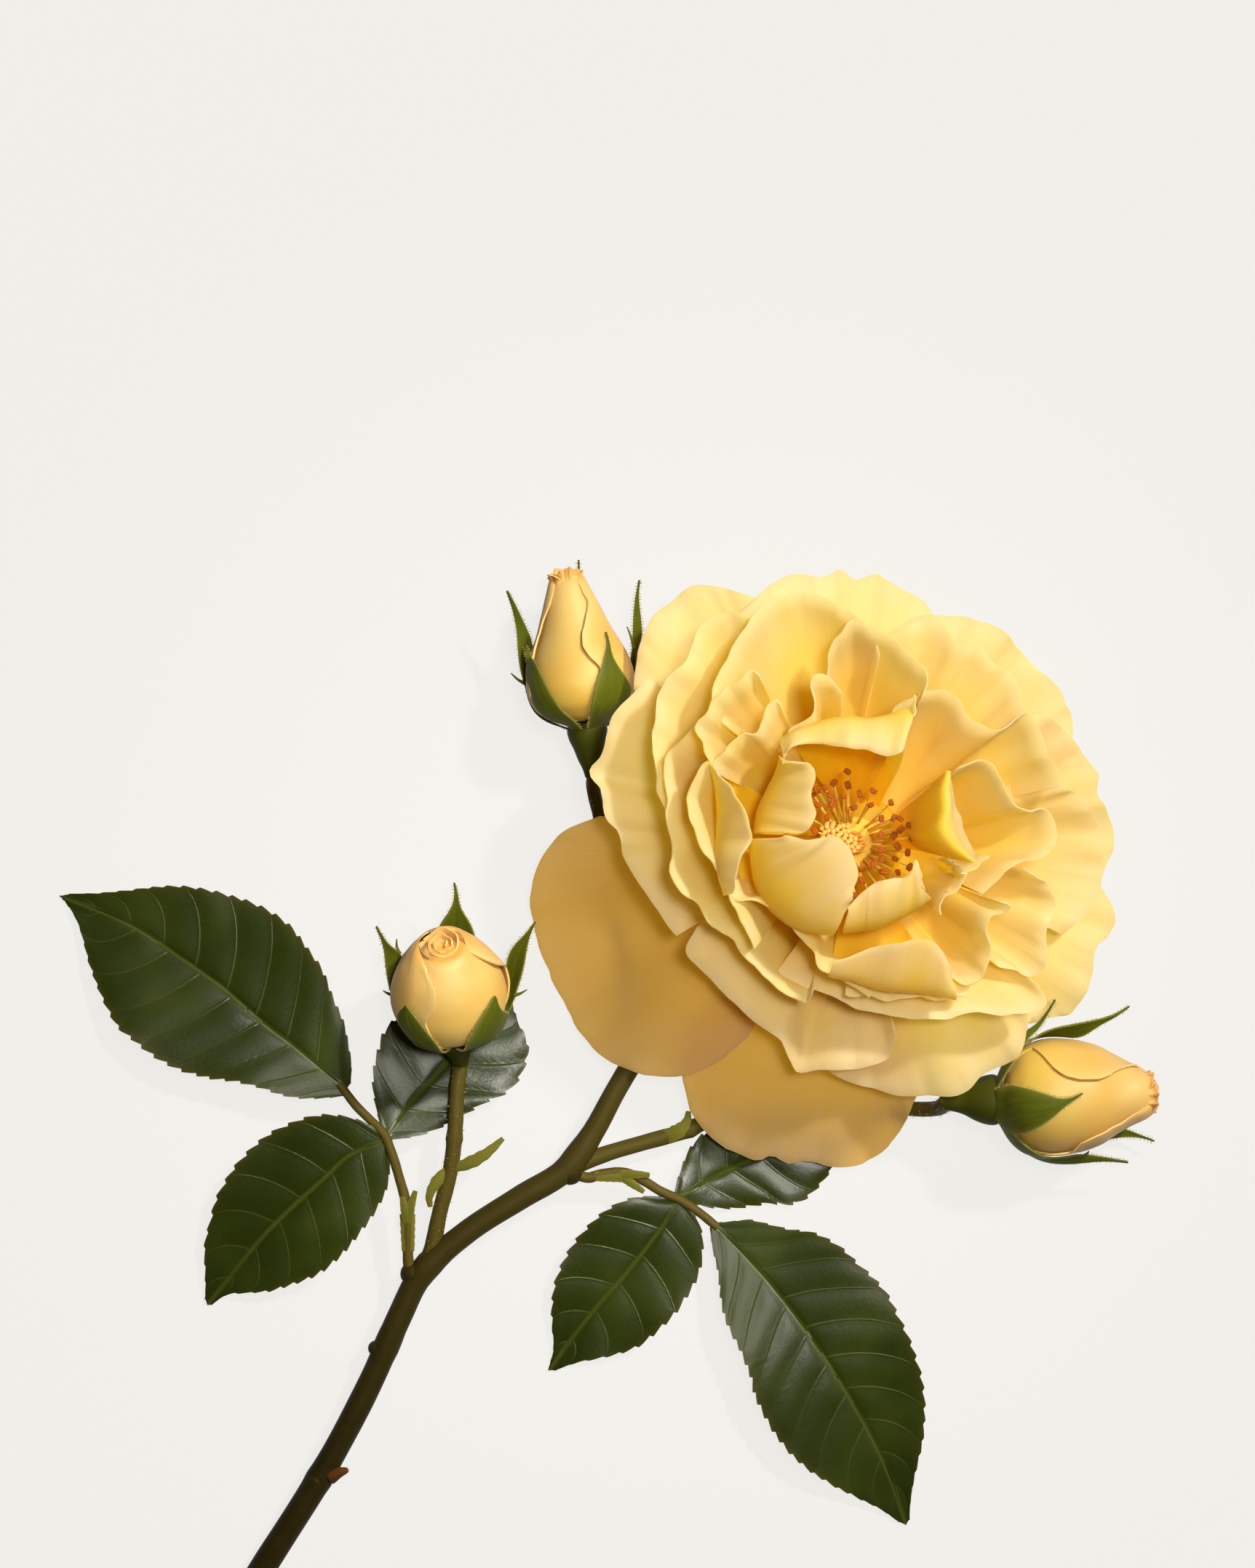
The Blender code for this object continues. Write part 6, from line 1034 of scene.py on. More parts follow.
def stamen_tips(draw):
    """Where the anthers are: those the photo shows, and more all round wherever none is near."""
    tips = list(plan(SEEN_ANTHERS))
    for k in range(MORE_STAMENS):
        azimuth = GOLDEN_ANGLE * k + draw.uniform(-8, 8)
        reach = STAMEN_REACH + (k % 4 - 1.5) * 0.8 + draw.uniform(-0.4, 0.4)
        tip = around_bloom(reach, azimuth, STAMEN_HEIGHT - (k % 3) * 1.4 + draw.uniform(-0.6, 0.5))
        if min(np.linalg.norm((tip - other)[:2]) for other in tips) > STAMENS_APART:
            tips.append(tip)
    return tips


def make_stamens():
    """Filaments on a ring round the pistil, each with its two-lobed anther."""
    draw = random.Random(SEED)
    low = BLOOM_CORE_TOP + GAP
    top = low + STAMEN_DISC_THICK
    radius = STAMEN_DISC_RADIUS
    disc = [(0, low), (radius - 0.4, low), (radius, low + 0.7), (radius - 0.3, top), (0, top)]
    filaments = [turned(disc, 40, BLOOM_FOOT, UP, along=0.1)]
    anthers = []
    for tip in stamen_tips(draw):
        azimuth = math.degrees(math.atan2(tip[1] - BLOOM_Y, tip[0] - BLOOM_X)) + draw.uniform(-6, 6)
        root = around_bloom(3.4, azimuth, top - 0.4) + (-0.7, 0.2, 0)
        bend = (root + tip) / 2 + (0, 0, draw.uniform(0.2, 1.4)) + unit((tip - BLOOM_FOOT) * (1, 1, 0)) * 0.4
        tone = draw.uniform(0, 9)
        filaments.append(tube(smooth([root, bend, tip], 12), np.linspace(0.22, 0.15, 12), 7,
                              along=np.linspace(0.2, 1, 12), tone=tone))
        turn = draw.uniform(0, FULL_TURN)
        way = unit(np.array((math.cos(turn), math.sin(turn), draw.uniform(-0.5, 0.5))))
        anthers += anther_shapes(tip, way, unit(np.cross(way, UP)), draw.uniform(0.62, 0.86), tone)
    filament = plain_looks("filament", (0.94, 0.56, 0.03), (0.98, 0.76, 0.16), 0.5, 0.25)
    anther = plain_looks("anther", (0.20, 0.028, 0.001), (0.34, 0.080, 0.004), 0.75)
    make_piece("stamen_filaments", filaments, filament, "bloom_stamens")
    make_piece("stamen_anthers", anthers, anther, "bloom_stamens")


def make_pistil():
    """A low dome with stigmas on short styles, which spread in an ellipse towards the bloom's upper left."""
    low = BLOOM_CORE_TOP + 2 * GAP + STAMEN_DISC_THICK
    radius = PISTIL_RADIUS
    dome = [(0, low), (radius - 1.1, low), (radius - 0.8, low + 0.4), (radius * 0.5, low + 1.0),
            (0, low + 1.2)]
    shapes = [turned(dome, 32, (BLOOM_X - 0.6, BLOOM_Y + 0.2, 0), UP)]
    draw = random.Random(SEED + 1)
    for k in range(STIGMAS):
        share = math.sqrt((k + 0.5) / STIGMAS)
        azimuth = GOLDEN_ANGLE * k
        root = around_bloom(share * 2.0, azimuth, low + 1.2)
        turn = math.radians(azimuth)
        spread = share * np.array((3.6 * math.cos(turn), 2.3 * math.sin(turn)))
        leaning = np.array((spread @ (0.82, 0.57), spread @ (-0.57, 0.82), -share * share * 1.3))
        tip = (BLOOM_X - 2.9, BLOOM_Y + 0.9, low + PISTIL_HEIGHT + 1.2 + draw.uniform(-0.25, 0.25)) + leaning
        style = smooth([root, (root + tip) / 2 + (-0.3, 0.1, 0.3), tip], 6)
        shapes.append(tube(style, 0.17, 7, along=0.2, tone=float(k)))
        shapes.append(turned(STIGMA, 9, tip, unit(tip - root + (0, 0, 3.0)), along=1.0, tone=float(k)))
    looks = plain_looks("pistil", (0.62, 0.28, 0.02), (0.86, 0.44, 0.11), 0.6)
    make_piece("pistil_stigmas", shapes, looks, "bloom_pistil")


def bud_axes(bud):
    """Where a bud's petals start, the way it points, and two ways across it."""
    axis = unit(np.array(bud["axis"], float))
    side = unit(UP - axis * np.dot(axis, UP))
    return np.array(seen_at(*bud["base"])), axis, side, np.cross(axis, side)


def round_bud(bud, height, radius, angle):
    """A grid at heights along a bud's axis, radii from it and turns round it."""
    foot, axis, side, third = bud_axes(bud)
    out = np.cos(angle)[:, :, None] * side + np.sin(angle)[:, :, None] * third
    return foot + axis * height[:, :, None] + radius[:, :, None] * out


def profile_at(bud, share):
    """A bud's radius and height at shares of the way from its foot to its lip, in millimetres."""
    points = smooth(bud["profile"][1:-1], 240)
    top = int(np.argmax(points[:, 1]))
    steps = np.arange(top + 1) / top
    radii, heights = (np.interp(share, steps, points[:top + 1, k]) for k in (0, 1))
    return radii * bud["radius"], heights * bud["length"]


def split_along(bud, points):
    """How far along a bud's axis points lie, and how they stand out from it."""
    foot, axis, _, _ = bud_axes(bud)
    rel = points - foot
    along = rel @ axis
    return along, rel - along[:, None] * axis


def place_on_bud(bud, x, y):
    """The turn round a bud and the share of its height where the plan's point (x, y) shows on it."""
    _, _, side, third = bud_axes(bud)
    along, out = split_along(bud, np.array([seen_at(x, y, z) for z in np.linspace(40, 0, 400)]))
    shares = np.linspace(0, 1, 60)
    radii, heights = profile_at(bud, shares)
    share = np.interp(along, heights, shares)
    depth = np.linalg.norm(out, axis=1) - np.interp(share, shares, radii)
    depth[(along < 0) | (along > bud["length"] * 1.02)] += 50
    inside = np.nonzero(depth < 0)[0]
    k = inside[0] if len(inside) else int(np.argmin(depth))
    return math.atan2(out[k] @ third, out[k] @ side), share[k]


def fold_turns(bud, edge, v):
    """The turn of a fold's edge at shares v of the bud's height, through points where the photo shows it."""
    places = sorted((place_on_bud(bud, x, y) for x, y in edge), key=lambda place: place[1])
    turns = np.unwrap([turn for turn, _ in places])
    shares = np.array([share for _, share in places])
    lean = (turns[-1] - turns[0]) / max(shares[-1] - shares[0], 0.1)
    lean = max(min(lean, 2.5), -2.5)
    below, above = np.minimum(v - shares[0], 0), np.maximum(v - shares[-1], 0)
    return np.interp(v, shares, turns) + lean * below * 0.6 + lean * above * 0.6


def rise(v, start, long):
    """From 0 at start to 1 at start + long."""
    return np.clip((v - start) / long, 0, 1)


def wrapped_petal(bud, edge, way, span, inner, outer, lift, tone):
    """A petal wrapped round a bud by span, from its free edge, which follows the photo's fold."""
    u = steps_down(0, 1, 73)
    v = 0.02 + 0.98 * steps_over(0, 1, 45)
    radius, height = profile_at(bud, np.ones_like(u) * v)
    draw = random.Random(f"{bud['name']}_{tone}")
    wave = 0.010 * sway(draw, u, v, 1.3, 0.3) + 0.006 * sway(draw, u, v, 3.4, 0.8)
    rim = rise(v, 0.93, 0.07) ** 2
    last = rise(u, 0.86, 0.14) ** 1.6 * rise(v, 0.35, 0.3)
    share = inner + (outer - inner) * u ** 0.6
    r = radius * share + rim * 0.3 + last * lift * np.sin(math.pi * np.clip(v, 0.08, 0.97)) ** 0.6
    r = r + wave * bud["radius"] * v
    drop = 0.07 * (2 * np.abs(u - 0.5)) ** 3
    angle = fold_turns(bud, edge, v) - way * (1 - u) * span
    grid = round_bud(bud, height * (1 - drop * v ** 3), r, angle)
    # rim marks the lip and the strip along the free edge, where the bud's looks paint a highlight.
    return sheet(grid, WRAP_THIN, along=v, across=(u - 0.5) * 14, tone=tone, rim=np.maximum(rim, last))


def rolled_heart(bud, first, last, turns, tone, slope, tilt=0.0):
    """The rolled petals in a bud's tip: a thin wall in a spiral from radius first to last, tilted up."""
    s = steps_down(0, 1, int(60 * turns))
    v = steps_over(0, 1, 9)
    lip = rise(v, 0.7, 0.3) ** 2
    draw = random.Random(f"{bud['name']}_heart_{tone}")
    ripple = 0.10 * sway(draw, s * turns, v, 2.3) + 0.08 * np.sin(FULL_TURN * s * turns * 5.1)
    r = (first + (last - first) * s) * bud["radius"] + lip * 0.22 + ripple * 0.8
    angle = tone + s * turns * FULL_TURN
    top = bud["length"] * (1.0 - slope * (1 - s)) + ripple * 2.0
    h = top - (1 - v) * 4.2 - lip * 0.15 - tilt * r * np.cos(angle)
    grid = round_bud(bud, h, r, angle)
    # rim marks the lip, where the bud's looks paint a highlight.
    return sheet(grid, CURL_THIN, along=0.55 + 0.4 * v, across=s * 30, tone=tone, rim=lip)


def tip_flap(bud, turn, reach, height, wide, tone):
    """A small crinkled petal end that stands at a bud's tip."""
    u = steps_down(-1, 1, 23)
    v = steps_over(0, 1, 11)
    draw = random.Random(f"{bud['name']}_flap_{tone}")
    crinkle = 0.28 * sway(draw, u, v, 1.4) * v + 0.14 * sway(draw, u, v, 3.3) * v
    r = reach * bud["radius"] * (1 - 0.10 * v) + crinkle + 0.5 * rise(v, 0.7, 0.3) ** 2
    h = bud["length"] * (0.86 + (height - 0.86) * v * (1 - 0.25 * u * u)) + 0.5 * crinkle
    grid = round_bud(bud, h, r, turn + u * wide)
    # rim marks the flap's end, where the bud's looks paint a highlight.
    return sheet(grid, CURL_THIN, along=0.7 + 0.3 * v, across=u * 4, tone=tone, rim=v ** 4)


def make_bud_petals(bud, looks):
    """A bud's closed inner body, the petals wrapped round it, and what shows at its tip."""
    foot, axis, _, _ = bud_axes(bud)
    radii, heights = profile_at(bud, np.linspace(0, 1, 44))
    profile = [(max(r * 0.97, 0.05), h * 0.965) for r, h in zip(radii[1:], heights[1:])]
    body = turned([(0.0, 0.0)] + profile + [(0.0, heights[-1] * 0.96)], 72, foot, axis,
                  along=np.linspace(0, 0.95, len(profile)), tone=3.0)
    shapes = [body] + [wrapped_petal(bud, *fold, k + 1.0) for k, fold in enumerate(bud["folds"])]
    shapes.append(rolled_heart(bud, *bud["heart"]))
    shapes += [tip_flap(bud, *flap, k + 1.0) for k, flap in enumerate(bud["flaps"])]
    make_piece(bud["name"] + "_folds", shapes, looks, bud["name"] + "_petals")


def far_from_bud(points, bud):
    """How far along a bud and out from its axis points lie, and how far out a sepal stays clear of it."""
    along, out = split_along(bud, points)
    radii, heights = profile_at(bud, np.linspace(0, 1, 90))
    here, ahead = np.interp(along, heights, radii), np.interp(along + 0.6, heights, radii)
    wanted = np.maximum(here, ahead) + SEPAL_CLEAR
    wanted[(along < -1.3) | (along > bud["length"] + 0.6)] = 0
    return along, out, wanted


def clear_of_bud(points, bud):
    """Points moved out from a bud's axis to where a sepal there stays clear of the bud."""
    foot, axis, _, _ = bud_axes(bud)
    along, out, wanted = far_from_bud(points, bud)
    more = np.maximum(wanted / np.maximum(np.linalg.norm(out, axis=1), 1e-6), 1)[:, None]
    return foot + along[:, None] * axis + out * more


def on_bud(bud, x, y):
    """The place over the plan's (x, y) where a sepal lies on a bud's petals, as near as it gets to them."""
    sight = np.array([seen_at(x, y, z) for z in np.linspace(34.0, 4.0, 301)])
    _, out, wanted = far_from_bud(sight, bud)
    space = np.linalg.norm(out, axis=1) - wanted
    inside = np.nonzero(space < 0)[0]
    return sight[inside[0]] if len(inside) else sight[np.argmin(space)]


def sepal_grid(bud, edges, rows=56, columns=17):
    """A sepal's grid between its two edges, bulging away from its bud, with a keel along its middle."""
    foot, axis, _, _ = bud_axes(bud)
    places = [[seen_at(*p) if len(p) == 3 else on_bud(bud, *p) for p in edge] for edge in edges]
    left, right = (smooth(edge, rows) for edge in places)
    middle = (left + right) / 2
    half = (right - left) / 2
    wide = np.linalg.norm(half, axis=1, keepdims=True)
    half = half * np.maximum(1, 0.16 / np.maximum(wide, 0.01))
    rel = middle - foot
    faced = unit(rel - (rel @ axis)[:, None] * axis)
    grid = []
    for e in np.linspace(-1, 1, columns):
        keel = 0.12 * np.exp(-(e / 0.12) ** 2) - 0.05 * np.exp(-((abs(e) - 0.2) / 0.1) ** 2)
        column = middle + half * e + faced * wide * (0.2 * (1 - e * e) + 0.4 * keel)
        grid.append(clear_of_bud(column, bud))
    grid = np.stack(grid, axis=1)
    # Evens out the steps where a blade was moved clear of the bud.
    for _ in range(6):
        grid[1:-1] = grid[1:-1] * 0.5 + (grid[:-2] + grid[2:]) * 0.25
    return over_table(grid, SEPAL_THIN)


def strap_grid(spine, widths, rows, columns, lift, jag):
    """The grid of a narrow blade along a spine, with its middle raised and its edges a little jagged."""
    path = smooth(spine, rows)
    share = np.linspace(0, 1, rows)
    wide = smooth(np.column_stack([np.linspace(0, 40, len(widths)), widths]), rows)[:, 1:]
    wide = np.maximum(wide, 0.25)
    along = unit(np.gradient(path, axis=0))
    faced = unit(UP - along[:, 2:] * along)
    across = np.cross(along, faced)
    grid = []
    for e in np.linspace(-1, 1, columns):
        ragged = 1 + jag * abs(e) ** 3 * np.sin(share * 31 + 2 * e) * np.sin(math.pi * share)
        grid.append(path + across * wide / 2 * e * ragged[:, None] + faced * wide * lift * (1 - e * e))
    return over_table(np.stack(grid, axis=1), SEPAL_THIN)


def strap(spine, widths, rows, jag, tone, rim):
    """A bract, or a leaf stalk's wing or point. rim is its tint, all over or at each column."""
    grid = strap_grid(plan(spine), widths, rows, STRAP_COLUMNS, 0.12, jag)
    across = steps_over(-2, 2, STRAP_COLUMNS)
    return sheet(grid, SEPAL_THIN, along=steps_down(0, 2, rows), across=across, tone=tone, rim=rim)


def hairs(points, ways, radius, draw, tone):
    """Small tapered hairs from points, each leaning its own way. Those that reach the table are left out."""
    shapes = []
    for p, way in zip(points, ways):
        way = unit(way + np.array([draw.uniform(-0.5, 0.5) for _ in range(3)]))
        tip = p + way * HAIR_LONG * draw.uniform(0.5, 1.1)
        if tip[2] >= radius:
            radii = [radius, radius * 0.8, radius * 0.5]
            shapes.append(tube([p, (p + tip) / 2, tip], radii, 4, along=1.0, tone=tone, rim=1.0))
    return shapes


def make_sepals(name, grids, lobes, looks, hair_looks, node):
    """A calyx's sepals, with a thread-like lobe here and there, and the pale hairs along their edges."""
    draw = random.Random(name)
    shapes = []
    fringe = []
    for k, grid in enumerate(grids):
        rows, columns = grid.shape[:2]
        e = steps_over(-1, 1, columns)
        shapes.append(sheet(grid, SEPAL_THIN, along=steps_down(0, 1, rows), across=e * 3, tone=k * 2.3,
                            rim=np.abs(e) ** 9))
        for edge, inward in ((grid[:, 0], grid[:, 1]), (grid[:, -1], grid[:, -2])):
            outward = unit(edge - inward)
            for _ in range(2):
                fringe += hairs(edge[2:-1], outward[2:-1], SEPAL_HAIR_RADIUS, draw, k)
    for lobe in lobes:
        thread = smooth(plan(lobe), 9)
        shapes.append(tube(thread, np.linspace(0.36, 0.10, 9), 8, along=0.8, tone=2.0, rim=0.3))
    make_piece(name, shapes, looks, node)
    make_piece(name + "_hairs", fringe, hair_looks, node)


def hip_foot(bud):
    foot, axis, _, _ = bud_axes(bud)
    return foot - axis * (bud["hip"] + GAP)


def hip_shape(points, low, high, steps, foot, axis):
    """A hip turned on an axis from low to high, with a smooth side through points of (radius, height)."""
    profile = [(0, low)] + [(r, h) for r, h in smooth(points, steps)] + [(0, high)]
    return turned(profile, 40, foot, axis, along=0.2, tone=1.0)


def make_buds(sepal, hip, hair):
    looks = bud_looks()
    for bud in BUDS:
        name, wide, tall = bud["name"], bud["hip_wide"], bud["hip"]
        make_bud_petals(bud, looks)
        grids = [sepal_grid(bud, edges) for edges in bud["sepals"]]
        make_sepals(name + "_sepals", grids, bud["lobes"], sepal, hair, name + "_calyx")
        # The hip reaches down over the end of its stalk.
        side = [(1.45, -3.4), (1.75, -1.8), (2.3, -0.2), (wide * 0.8, tall * 0.3), (wide * 0.97, tall * 0.6),
                (wide, tall * 0.85), (wide * 0.9, tall)]
        shape = hip_shape(side, -3.4, tall, 26, hip_foot(bud), bud["axis"])
        make_piece(name + "_hip", [shape], hip, name + "_calyx")


def make_bloom_calyx(sepal, hip, hair):
    """The open bloom's hip and its five sepals, which turn down."""
    top = BLOOM_SEAT - GAP
    side = [(1.9, 15), (3.6, 17), (4.6, 19.5), (4.4, 22), (5.4, top)]
    spine = ((3.6, 22.4), (7.5, 22.4), (12, 20.2), (17, 15.8), (21.5, 11.5))
    grids = []
    for k in range(BLOOM_SEPALS):
        azimuth = BLOOM_SEPALS_TURN + 360 / BLOOM_SEPALS * k
        points = [around_bloom(r, azimuth, z) for r, z in spine]
        grids.append(strap_grid(points, [3.4, 6, 5.4, 3.2, 0.7], 44, 11, 0.1, 0.04))
    make_sepals("bloom_sepals", grids, [], sepal, hair, "bloom_calyx")
    make_piece("bloom_hip", [hip_shape(side, 15, top, 20, BLOOM_FOOT, UP)], hip, "bloom_calyx")


def bark(path, radii, sides, draw, knots=(), green=0.0):
    """A stem that varies a little in width, with knots as in STEM_KNOTS. green is its tint at each point."""
    at = np.linspace(0, 1, len(path))
    radii = np.interp(at, np.linspace(0, 1, len(radii)), radii)
    radii = radii * (1 + 0.02 * np.sin(at * 37 + draw.random() * 6) + 0.012 * np.sin(at * 91))
    for middle, more, wide in knots:
        radii = radii + more * np.exp(-((at - middle) / wide) ** 2)
    verts, faces, values = tube(path, radii, sides, along=at * length_of(path) / 10, tone=draw.uniform(0, 9),
                                rim=green)
    values["across"] = np.tile(np.abs(np.linspace(-1, 1, sides, endpoint=False)), len(path)) * 6
    verts[:, 2] = np.maximum(verts[:, 2], 0.0)
    return verts, faces, values


def stalk_path(points, bud):
    """A bud's stalk: through points of the plan, and on along the bud's axis to its hip."""
    _, axis, _, _ = bud_axes(bud)
    end = hip_foot(bud)
    path = smooth(np.concatenate([plan(points), [end - axis * 3.2]]), 46)
    return np.concatenate([path, [end - axis * 1.4, end - axis * (GAP + 0.05)]])


def thorn_stub():
    """A thorn's blunt stub, which bends down a little."""
    foot = np.array(seen_at(*THORN_FOOT))
    reach = np.linspace(0, THORN_LONG, len(THORN_RADII))[:, None]
    path = foot + unit(THORN_WAY) * reach - 0.10 * reach * reach / THORN_LONG * (0, 1, 0)
    return tube(path, THORN_RADII, 16, along=0.4, tone=2.0, rim=np.linspace(0.1, 0.9, 9))


def stalk_hairs(path, radius, count, draw):
    """Hairs all round a stalk, except close to the table."""
    shapes = []
    ways = unit(np.gradient(path, axis=0))
    for _ in range(count):
        i = draw.randrange(2, len(path) - 1)
        turn = draw.uniform(0, FULL_TURN)
        side = unit(np.cross(ways[i], UP))
        out = math.cos(turn) * side + math.sin(turn) * np.cross(side, ways[i])
        p = path[i] + out * radius * 0.95
        if p[2] > 0.6:
            shapes += hairs([p], [out], STALK_HAIR_RADIUS, draw, 1.0)
    return shapes


def make_stem(looks, thorn_looks, bract_looks, cut_looks, hair):
    """The main stem with its lumps, the stalks to the buds, the bracts, the thorn and the cut end."""
    draw = random.Random(SEED + 2)
    main = np.concatenate([plan(MAIN_STEM), STEM_TOP])
    steps = np.linalg.norm(np.diff(main, axis=0), axis=1)
    at = np.concatenate([[0], np.cumsum(steps)]) / steps.sum()
    radii = np.interp(np.linspace(0, 1, STEM_STEPS), at, MAIN_RADII)
    path = np.concatenate([smooth(main, STEM_STEPS), [(BLOOM_X, BLOOM_Y, STEM_END)]])
    green = 0.6 * rise(np.linspace(0, 1, len(path)), 0.4, 0.4)
    shapes = [bark(path, np.append(radii, MAIN_RADII[-1]), 24, draw, STEM_KNOTS, green)]
    stalks = [stalk_path(points, bud) for (points, _, _), bud in zip(STALKS, BUDS)]
    for stalk, (_, radii, knots) in zip(stalks, STALKS):
        shapes.append(bark(stalk, radii, 18, draw, knots, 0.8))
    for profile, count, place, axis in LUMPS:
        profile = smooth(profile, count)
        shapes.append(turned(profile, 22, seen_at(*place), axis, along=0.5, tone=5.0, rim=0.12))
    bracts = [strap(*bract, 20, 0.1, float(k), 0.2) for k, bract in enumerate(BRACTS)]
    start, along = path[0], unit(path[1] - path[0])
    cut = turned(CUT_END, 32, start - along * 0.14, along)
    make_piece("stem_thorn", [thorn_stub()], thorn_looks, "stem")
    make_piece("stem_skin", shapes, looks, "stem")
    make_piece("stem_bracts", bracts, bract_looks, "stem")
    make_piece("stem_cut_end", [cut], cut_looks, "stem")
    left, upper, right = stalks
    fringe = stalk_hairs(left, 1.35, 170, draw) + stalk_hairs(upper, 1.2, 170, draw)
    fringe += stalk_hairs(right[-24:], 1.33, 110, draw)
    make_piece("stalk_hairs", fringe, hair, "stem")


def leaflet_veins(share, x, length):
    """How high the blade stands between its side veins: 0 on a vein, 1 between two."""
    pairs = max(round(length / VEIN_STEP), FEWEST_VEINS)
    step = share - VEIN_LEAN * abs(x) - VEIN_BEND * x * x + (VEIN_SHIFT if x < 0 else 0)
    return np.abs(np.sin(math.pi * step * pairs)) ** 0.55


def leaflet_sheet(leaflet, tone):
    """A leaflet's blade with forward teeth, sunken veins and cushions between them."""
    midrib = smooth(leaflet["midrib"], LEAF_ROWS)
    length = length_of(midrib)
    share = np.linspace(0, 1, LEAF_ROWS)
    swell = np.sin(math.pi * np.clip(share, 0.02, 0.98)) ** 0.6
    tooth = (share * round(length / TOOTH_LONG)) % 1.0
    across = np.concatenate([-LEAF_COLUMNS[:0:-1], LEAF_COLUMNS])
    columns, wides = [], []
    for x in across:
        away = smooth(leaflet["left" if x < 0 else "right"], LEAF_ROWS) - midrib[:, :2]
        wide = np.linalg.norm(away, axis=1)
        depth = TOOTH_DEEP * swell / np.maximum(wide, TOOTH_DEEP) * (1 - tooth ** 0.9)
        reach = abs(x) * (1 - depth * abs(x) ** 8)
        cushion = QUILT * leaflet_veins(share, x, length) * min(abs(x) / 0.16, 1) * rise(1 - abs(x), 0, 0.2)
        wave = 0.35 * abs(x) ** 3 * np.sin(FULL_TURN * (share * 2.6 + 0.31 * tone + (0.4 if x < 0 else 0)))
        lift = (leaflet["fold"] * abs(x) ** 1.5 + cushion + wave) * swell - 0.25 * (abs(x) < 0.03)
        columns.append(plan(np.column_stack([midrib[:, :2] + away * reach[:, None], midrib[:, 2] + lift])))
        wides.append(wide * abs(x))
    grid = over_table(np.stack(columns, axis=1), LEAF_THIN)
    wides = np.stack(wides, axis=1)
    return sheet(grid, LEAF_THIN, along=share[:, None], across=across, tone=tone, wide=wides, length=length)


def make_leaves(looks, stalk_looks, bract_looks):
    tone = 1.0
    tint = np.linspace(-1, 1, STRAP_COLUMNS) ** 4
    for name, leaf in LEAVES.items():
        blades = []
        for leaflet in leaf["leaflets"]:
            blades.append(leaflet_sheet(leaflet, tone))
            tone += 1.3
        stalk = bark(smooth(plan(leaf["stalk"]), 60), LEAF_STALK_RADII, 16, random.Random(name))
        wings = [strap(*wing, 24, 0.06, float(k), tint) for k, wing in enumerate(leaf["wings"])]
        make_piece(name + "_blades", blades, looks, name)
        make_piece(name + "_stalk", [stalk], stalk_looks, name)
        make_piece(name + "_stipules", wings, bract_looks, name)


def make_floor():
    """A pale table that shines a little of its own, so that it stays as even as the photo's."""
    bpy.ops.mesh.primitive_plane_add(size=6, location=(0, 0, 0))
    floor = bpy.context.object
    floor.name = "floor"
    look = Looks("floor", 0.9, Emission_Strength=0.85)
    look.put(look.shader.inputs["Base Color"], (0.05, 0.05, 0.05))
    look.put(look.shader.inputs["Emission Color"], (0.96, 0.942, 0.905))
    floor.data.materials.append(look.material)
    floor.visible_diffuse = False


def add_light(name, kind, energy, colour, place, toward, **settings):
    """A light at a place, in metres, which shines from the direction toward."""
    light = bpy.data.lights.new(name, kind)
    light.energy = energy
    light.color = colour
    for key, value in settings.items():
        setattr(light, key, value)
    obj = bpy.data.objects.new(name, light)
    obj.location = place
    obj.rotation_euler = Vector(toward).to_track_quat("Z", "Y").to_euler()
    bpy.context.scene.collection.objects.link(obj)
    return obj


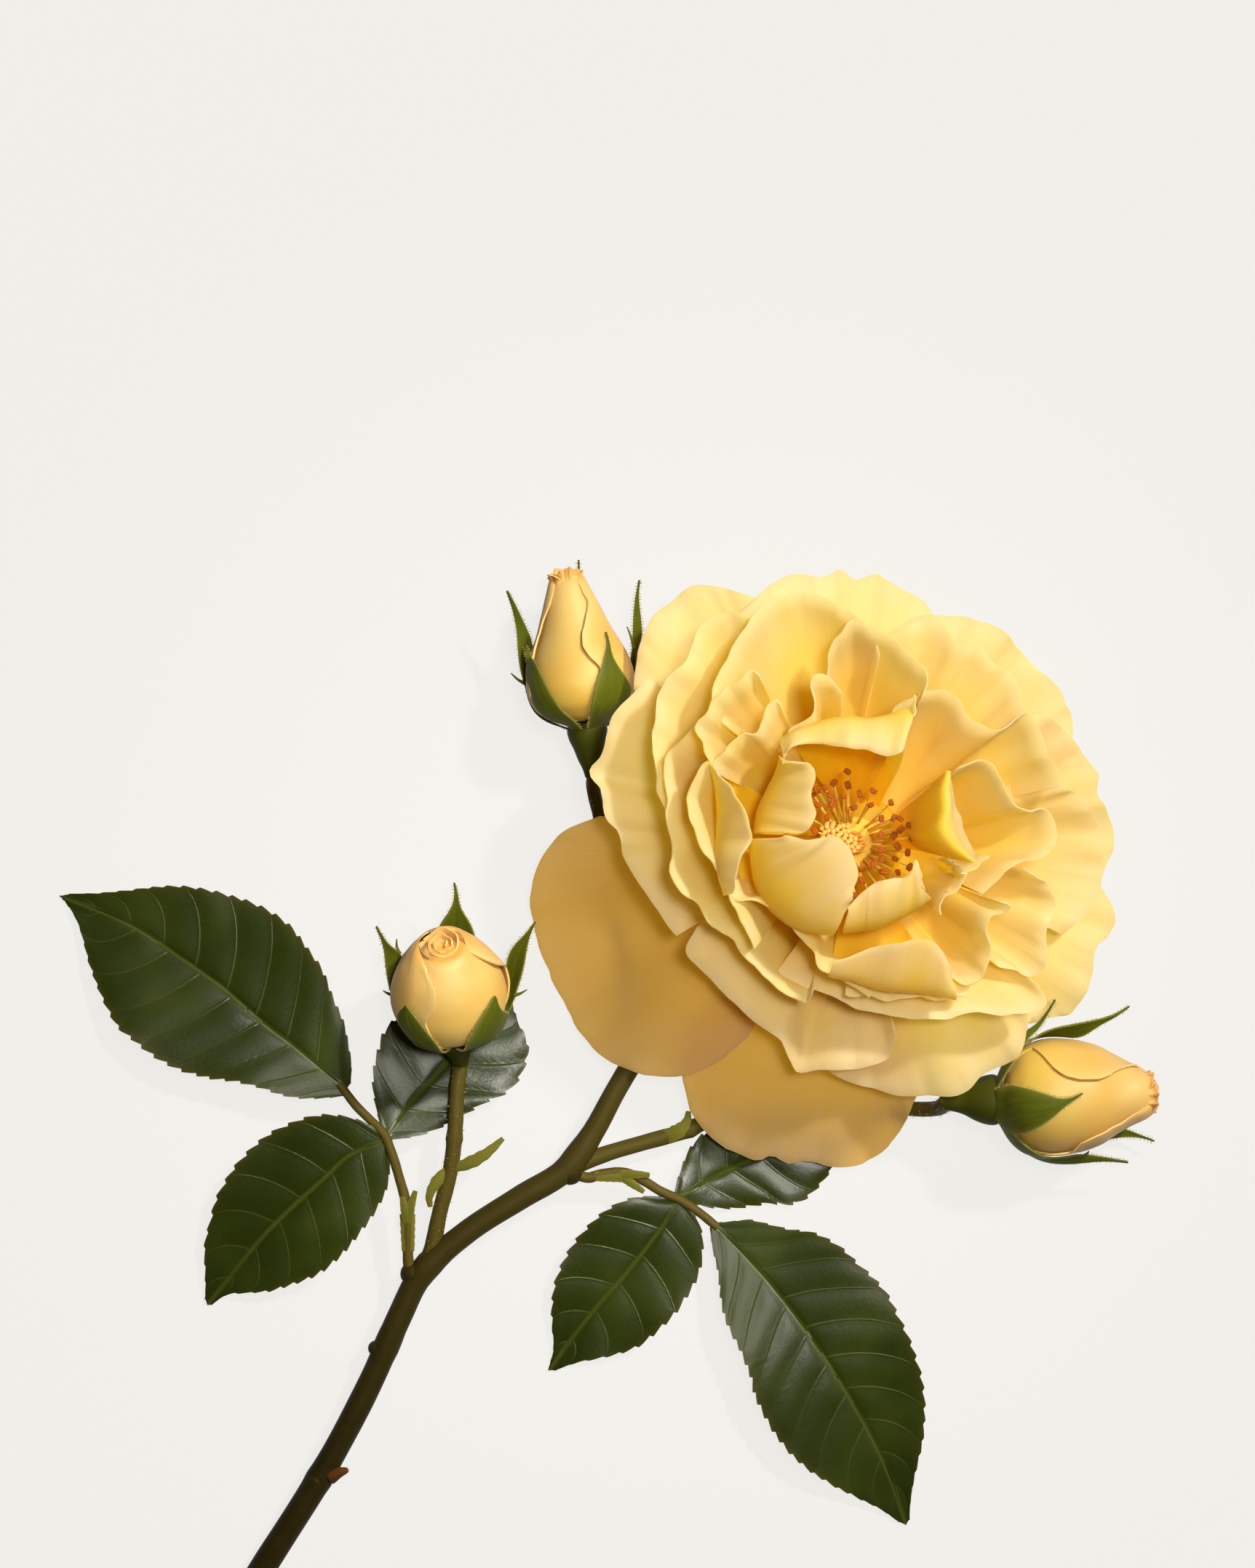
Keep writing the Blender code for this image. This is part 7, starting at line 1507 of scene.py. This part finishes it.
def make_lights():
    """Sun from the upper right, a small panel for the gloss, a spot on the bloom's left, a warm dim world."""
    add_light("key", "SUN", 3.2, (1.0, 0.945, 0.895), (0, 0, 0), (0.50, 0.50, 0.70), angle=math.radians(4))
    panel = (0.26, 0.24, 1.0)
    soft = add_light("panel", "AREA", 1.2, (1.0, 0.94, 0.82), panel, panel, shape="DISK", size=0.14)
    over_bloom = ((BLOOM_X + 62 - MIDDLE_X) * MM, (BLOOM_Y + 58 - MIDDLE_Y) * MM, 0.67)
    fill = add_light("fill", "SPOT", 39, (1.0, 0.975, 0.88), over_bloom, (0.084, 0.066, 0.63),
                     spot_size=math.radians(10.5), spot_blend=0.7, shadow_soft_size=0.09)
    soft.visible_camera = fill.visible_camera = False
    world = bpy.data.worlds.new("studio")
    world.use_nodes = True
    background = world.node_tree.nodes["Background"].inputs
    background["Color"].default_value = (1.0, 0.76, 0.40, 1)
    background["Strength"].default_value = 0.10
    bpy.context.scene.world = world


def make_camera():
    camera = bpy.data.cameras.new("camera")
    camera.sensor_fit = "VERTICAL"
    camera.sensor_height = SENSOR_TALL
    camera.lens = SENSOR_TALL * EYE_HEIGHT / FRAME_TALL
    camera.clip_start = 0.01
    eye = bpy.data.objects.new("camera", camera)
    eye.location = ((EYE_X - MIDDLE_X) * MM, (EYE_Y - MIDDLE_Y) * MM, EYE_HEIGHT * MM)
    bpy.context.scene.collection.objects.link(eye)
    bpy.context.scene.camera = eye
    bpy.context.scene.view_settings.view_transform = "Standard"


def main():
    make_lights()
    make_camera()
    make_floor()
    # Each skin's darker and paler colour, its roughness, and the colour of its tip or edge.
    sepal = skin_looks("sepal", (0.034, 0.046, 0.001), (0.100, 0.120, 0.004), 0.5, (0.17, 0.18, 0.024))
    hip = skin_looks("hip", (0.022, 0.028, 0.001), (0.044, 0.052, 0.002), 0.5, (0.07, 0.06, 0.01))
    hair = skin_looks("hair", (0.36, 0.30, 0.10), (0.46, 0.40, 0.16), 0.6)
    stem = skin_looks("stem_skin", (0.006, 0.0045, 0.0004), (0.017, 0.011, 0.0008), 0.5,
                      (0.085, 0.066, 0.010))
    thorn = skin_looks("thorn", (0.020, 0.012, 0.001), (0.050, 0.022, 0.002), 0.5, (0.13, 0.044, 0.010))
    cut = skin_looks("stem_cut", (0.50, 0.48, 0.25), (0.62, 0.60, 0.36), 0.7)
    rachis = skin_looks("leaf_stalk", (0.065, 0.035, 0.008), (0.11, 0.09, 0.012), 0.45)
    bract = skin_looks("stipule", (0.07, 0.085, 0.006), (0.13, 0.135, 0.012), 0.5, (0.20, 0.15, 0.03))
    make_stem(stem, thorn, bract, cut, hair)
    make_leaves(leaf_looks(), rachis, bract)
    make_bloom_calyx(sepal, hip, hair)
    make_bloom()
    make_stamens()
    make_pistil()
    make_buds(sepal, hip, hair)


main()
bpy.context.view_layer.update()
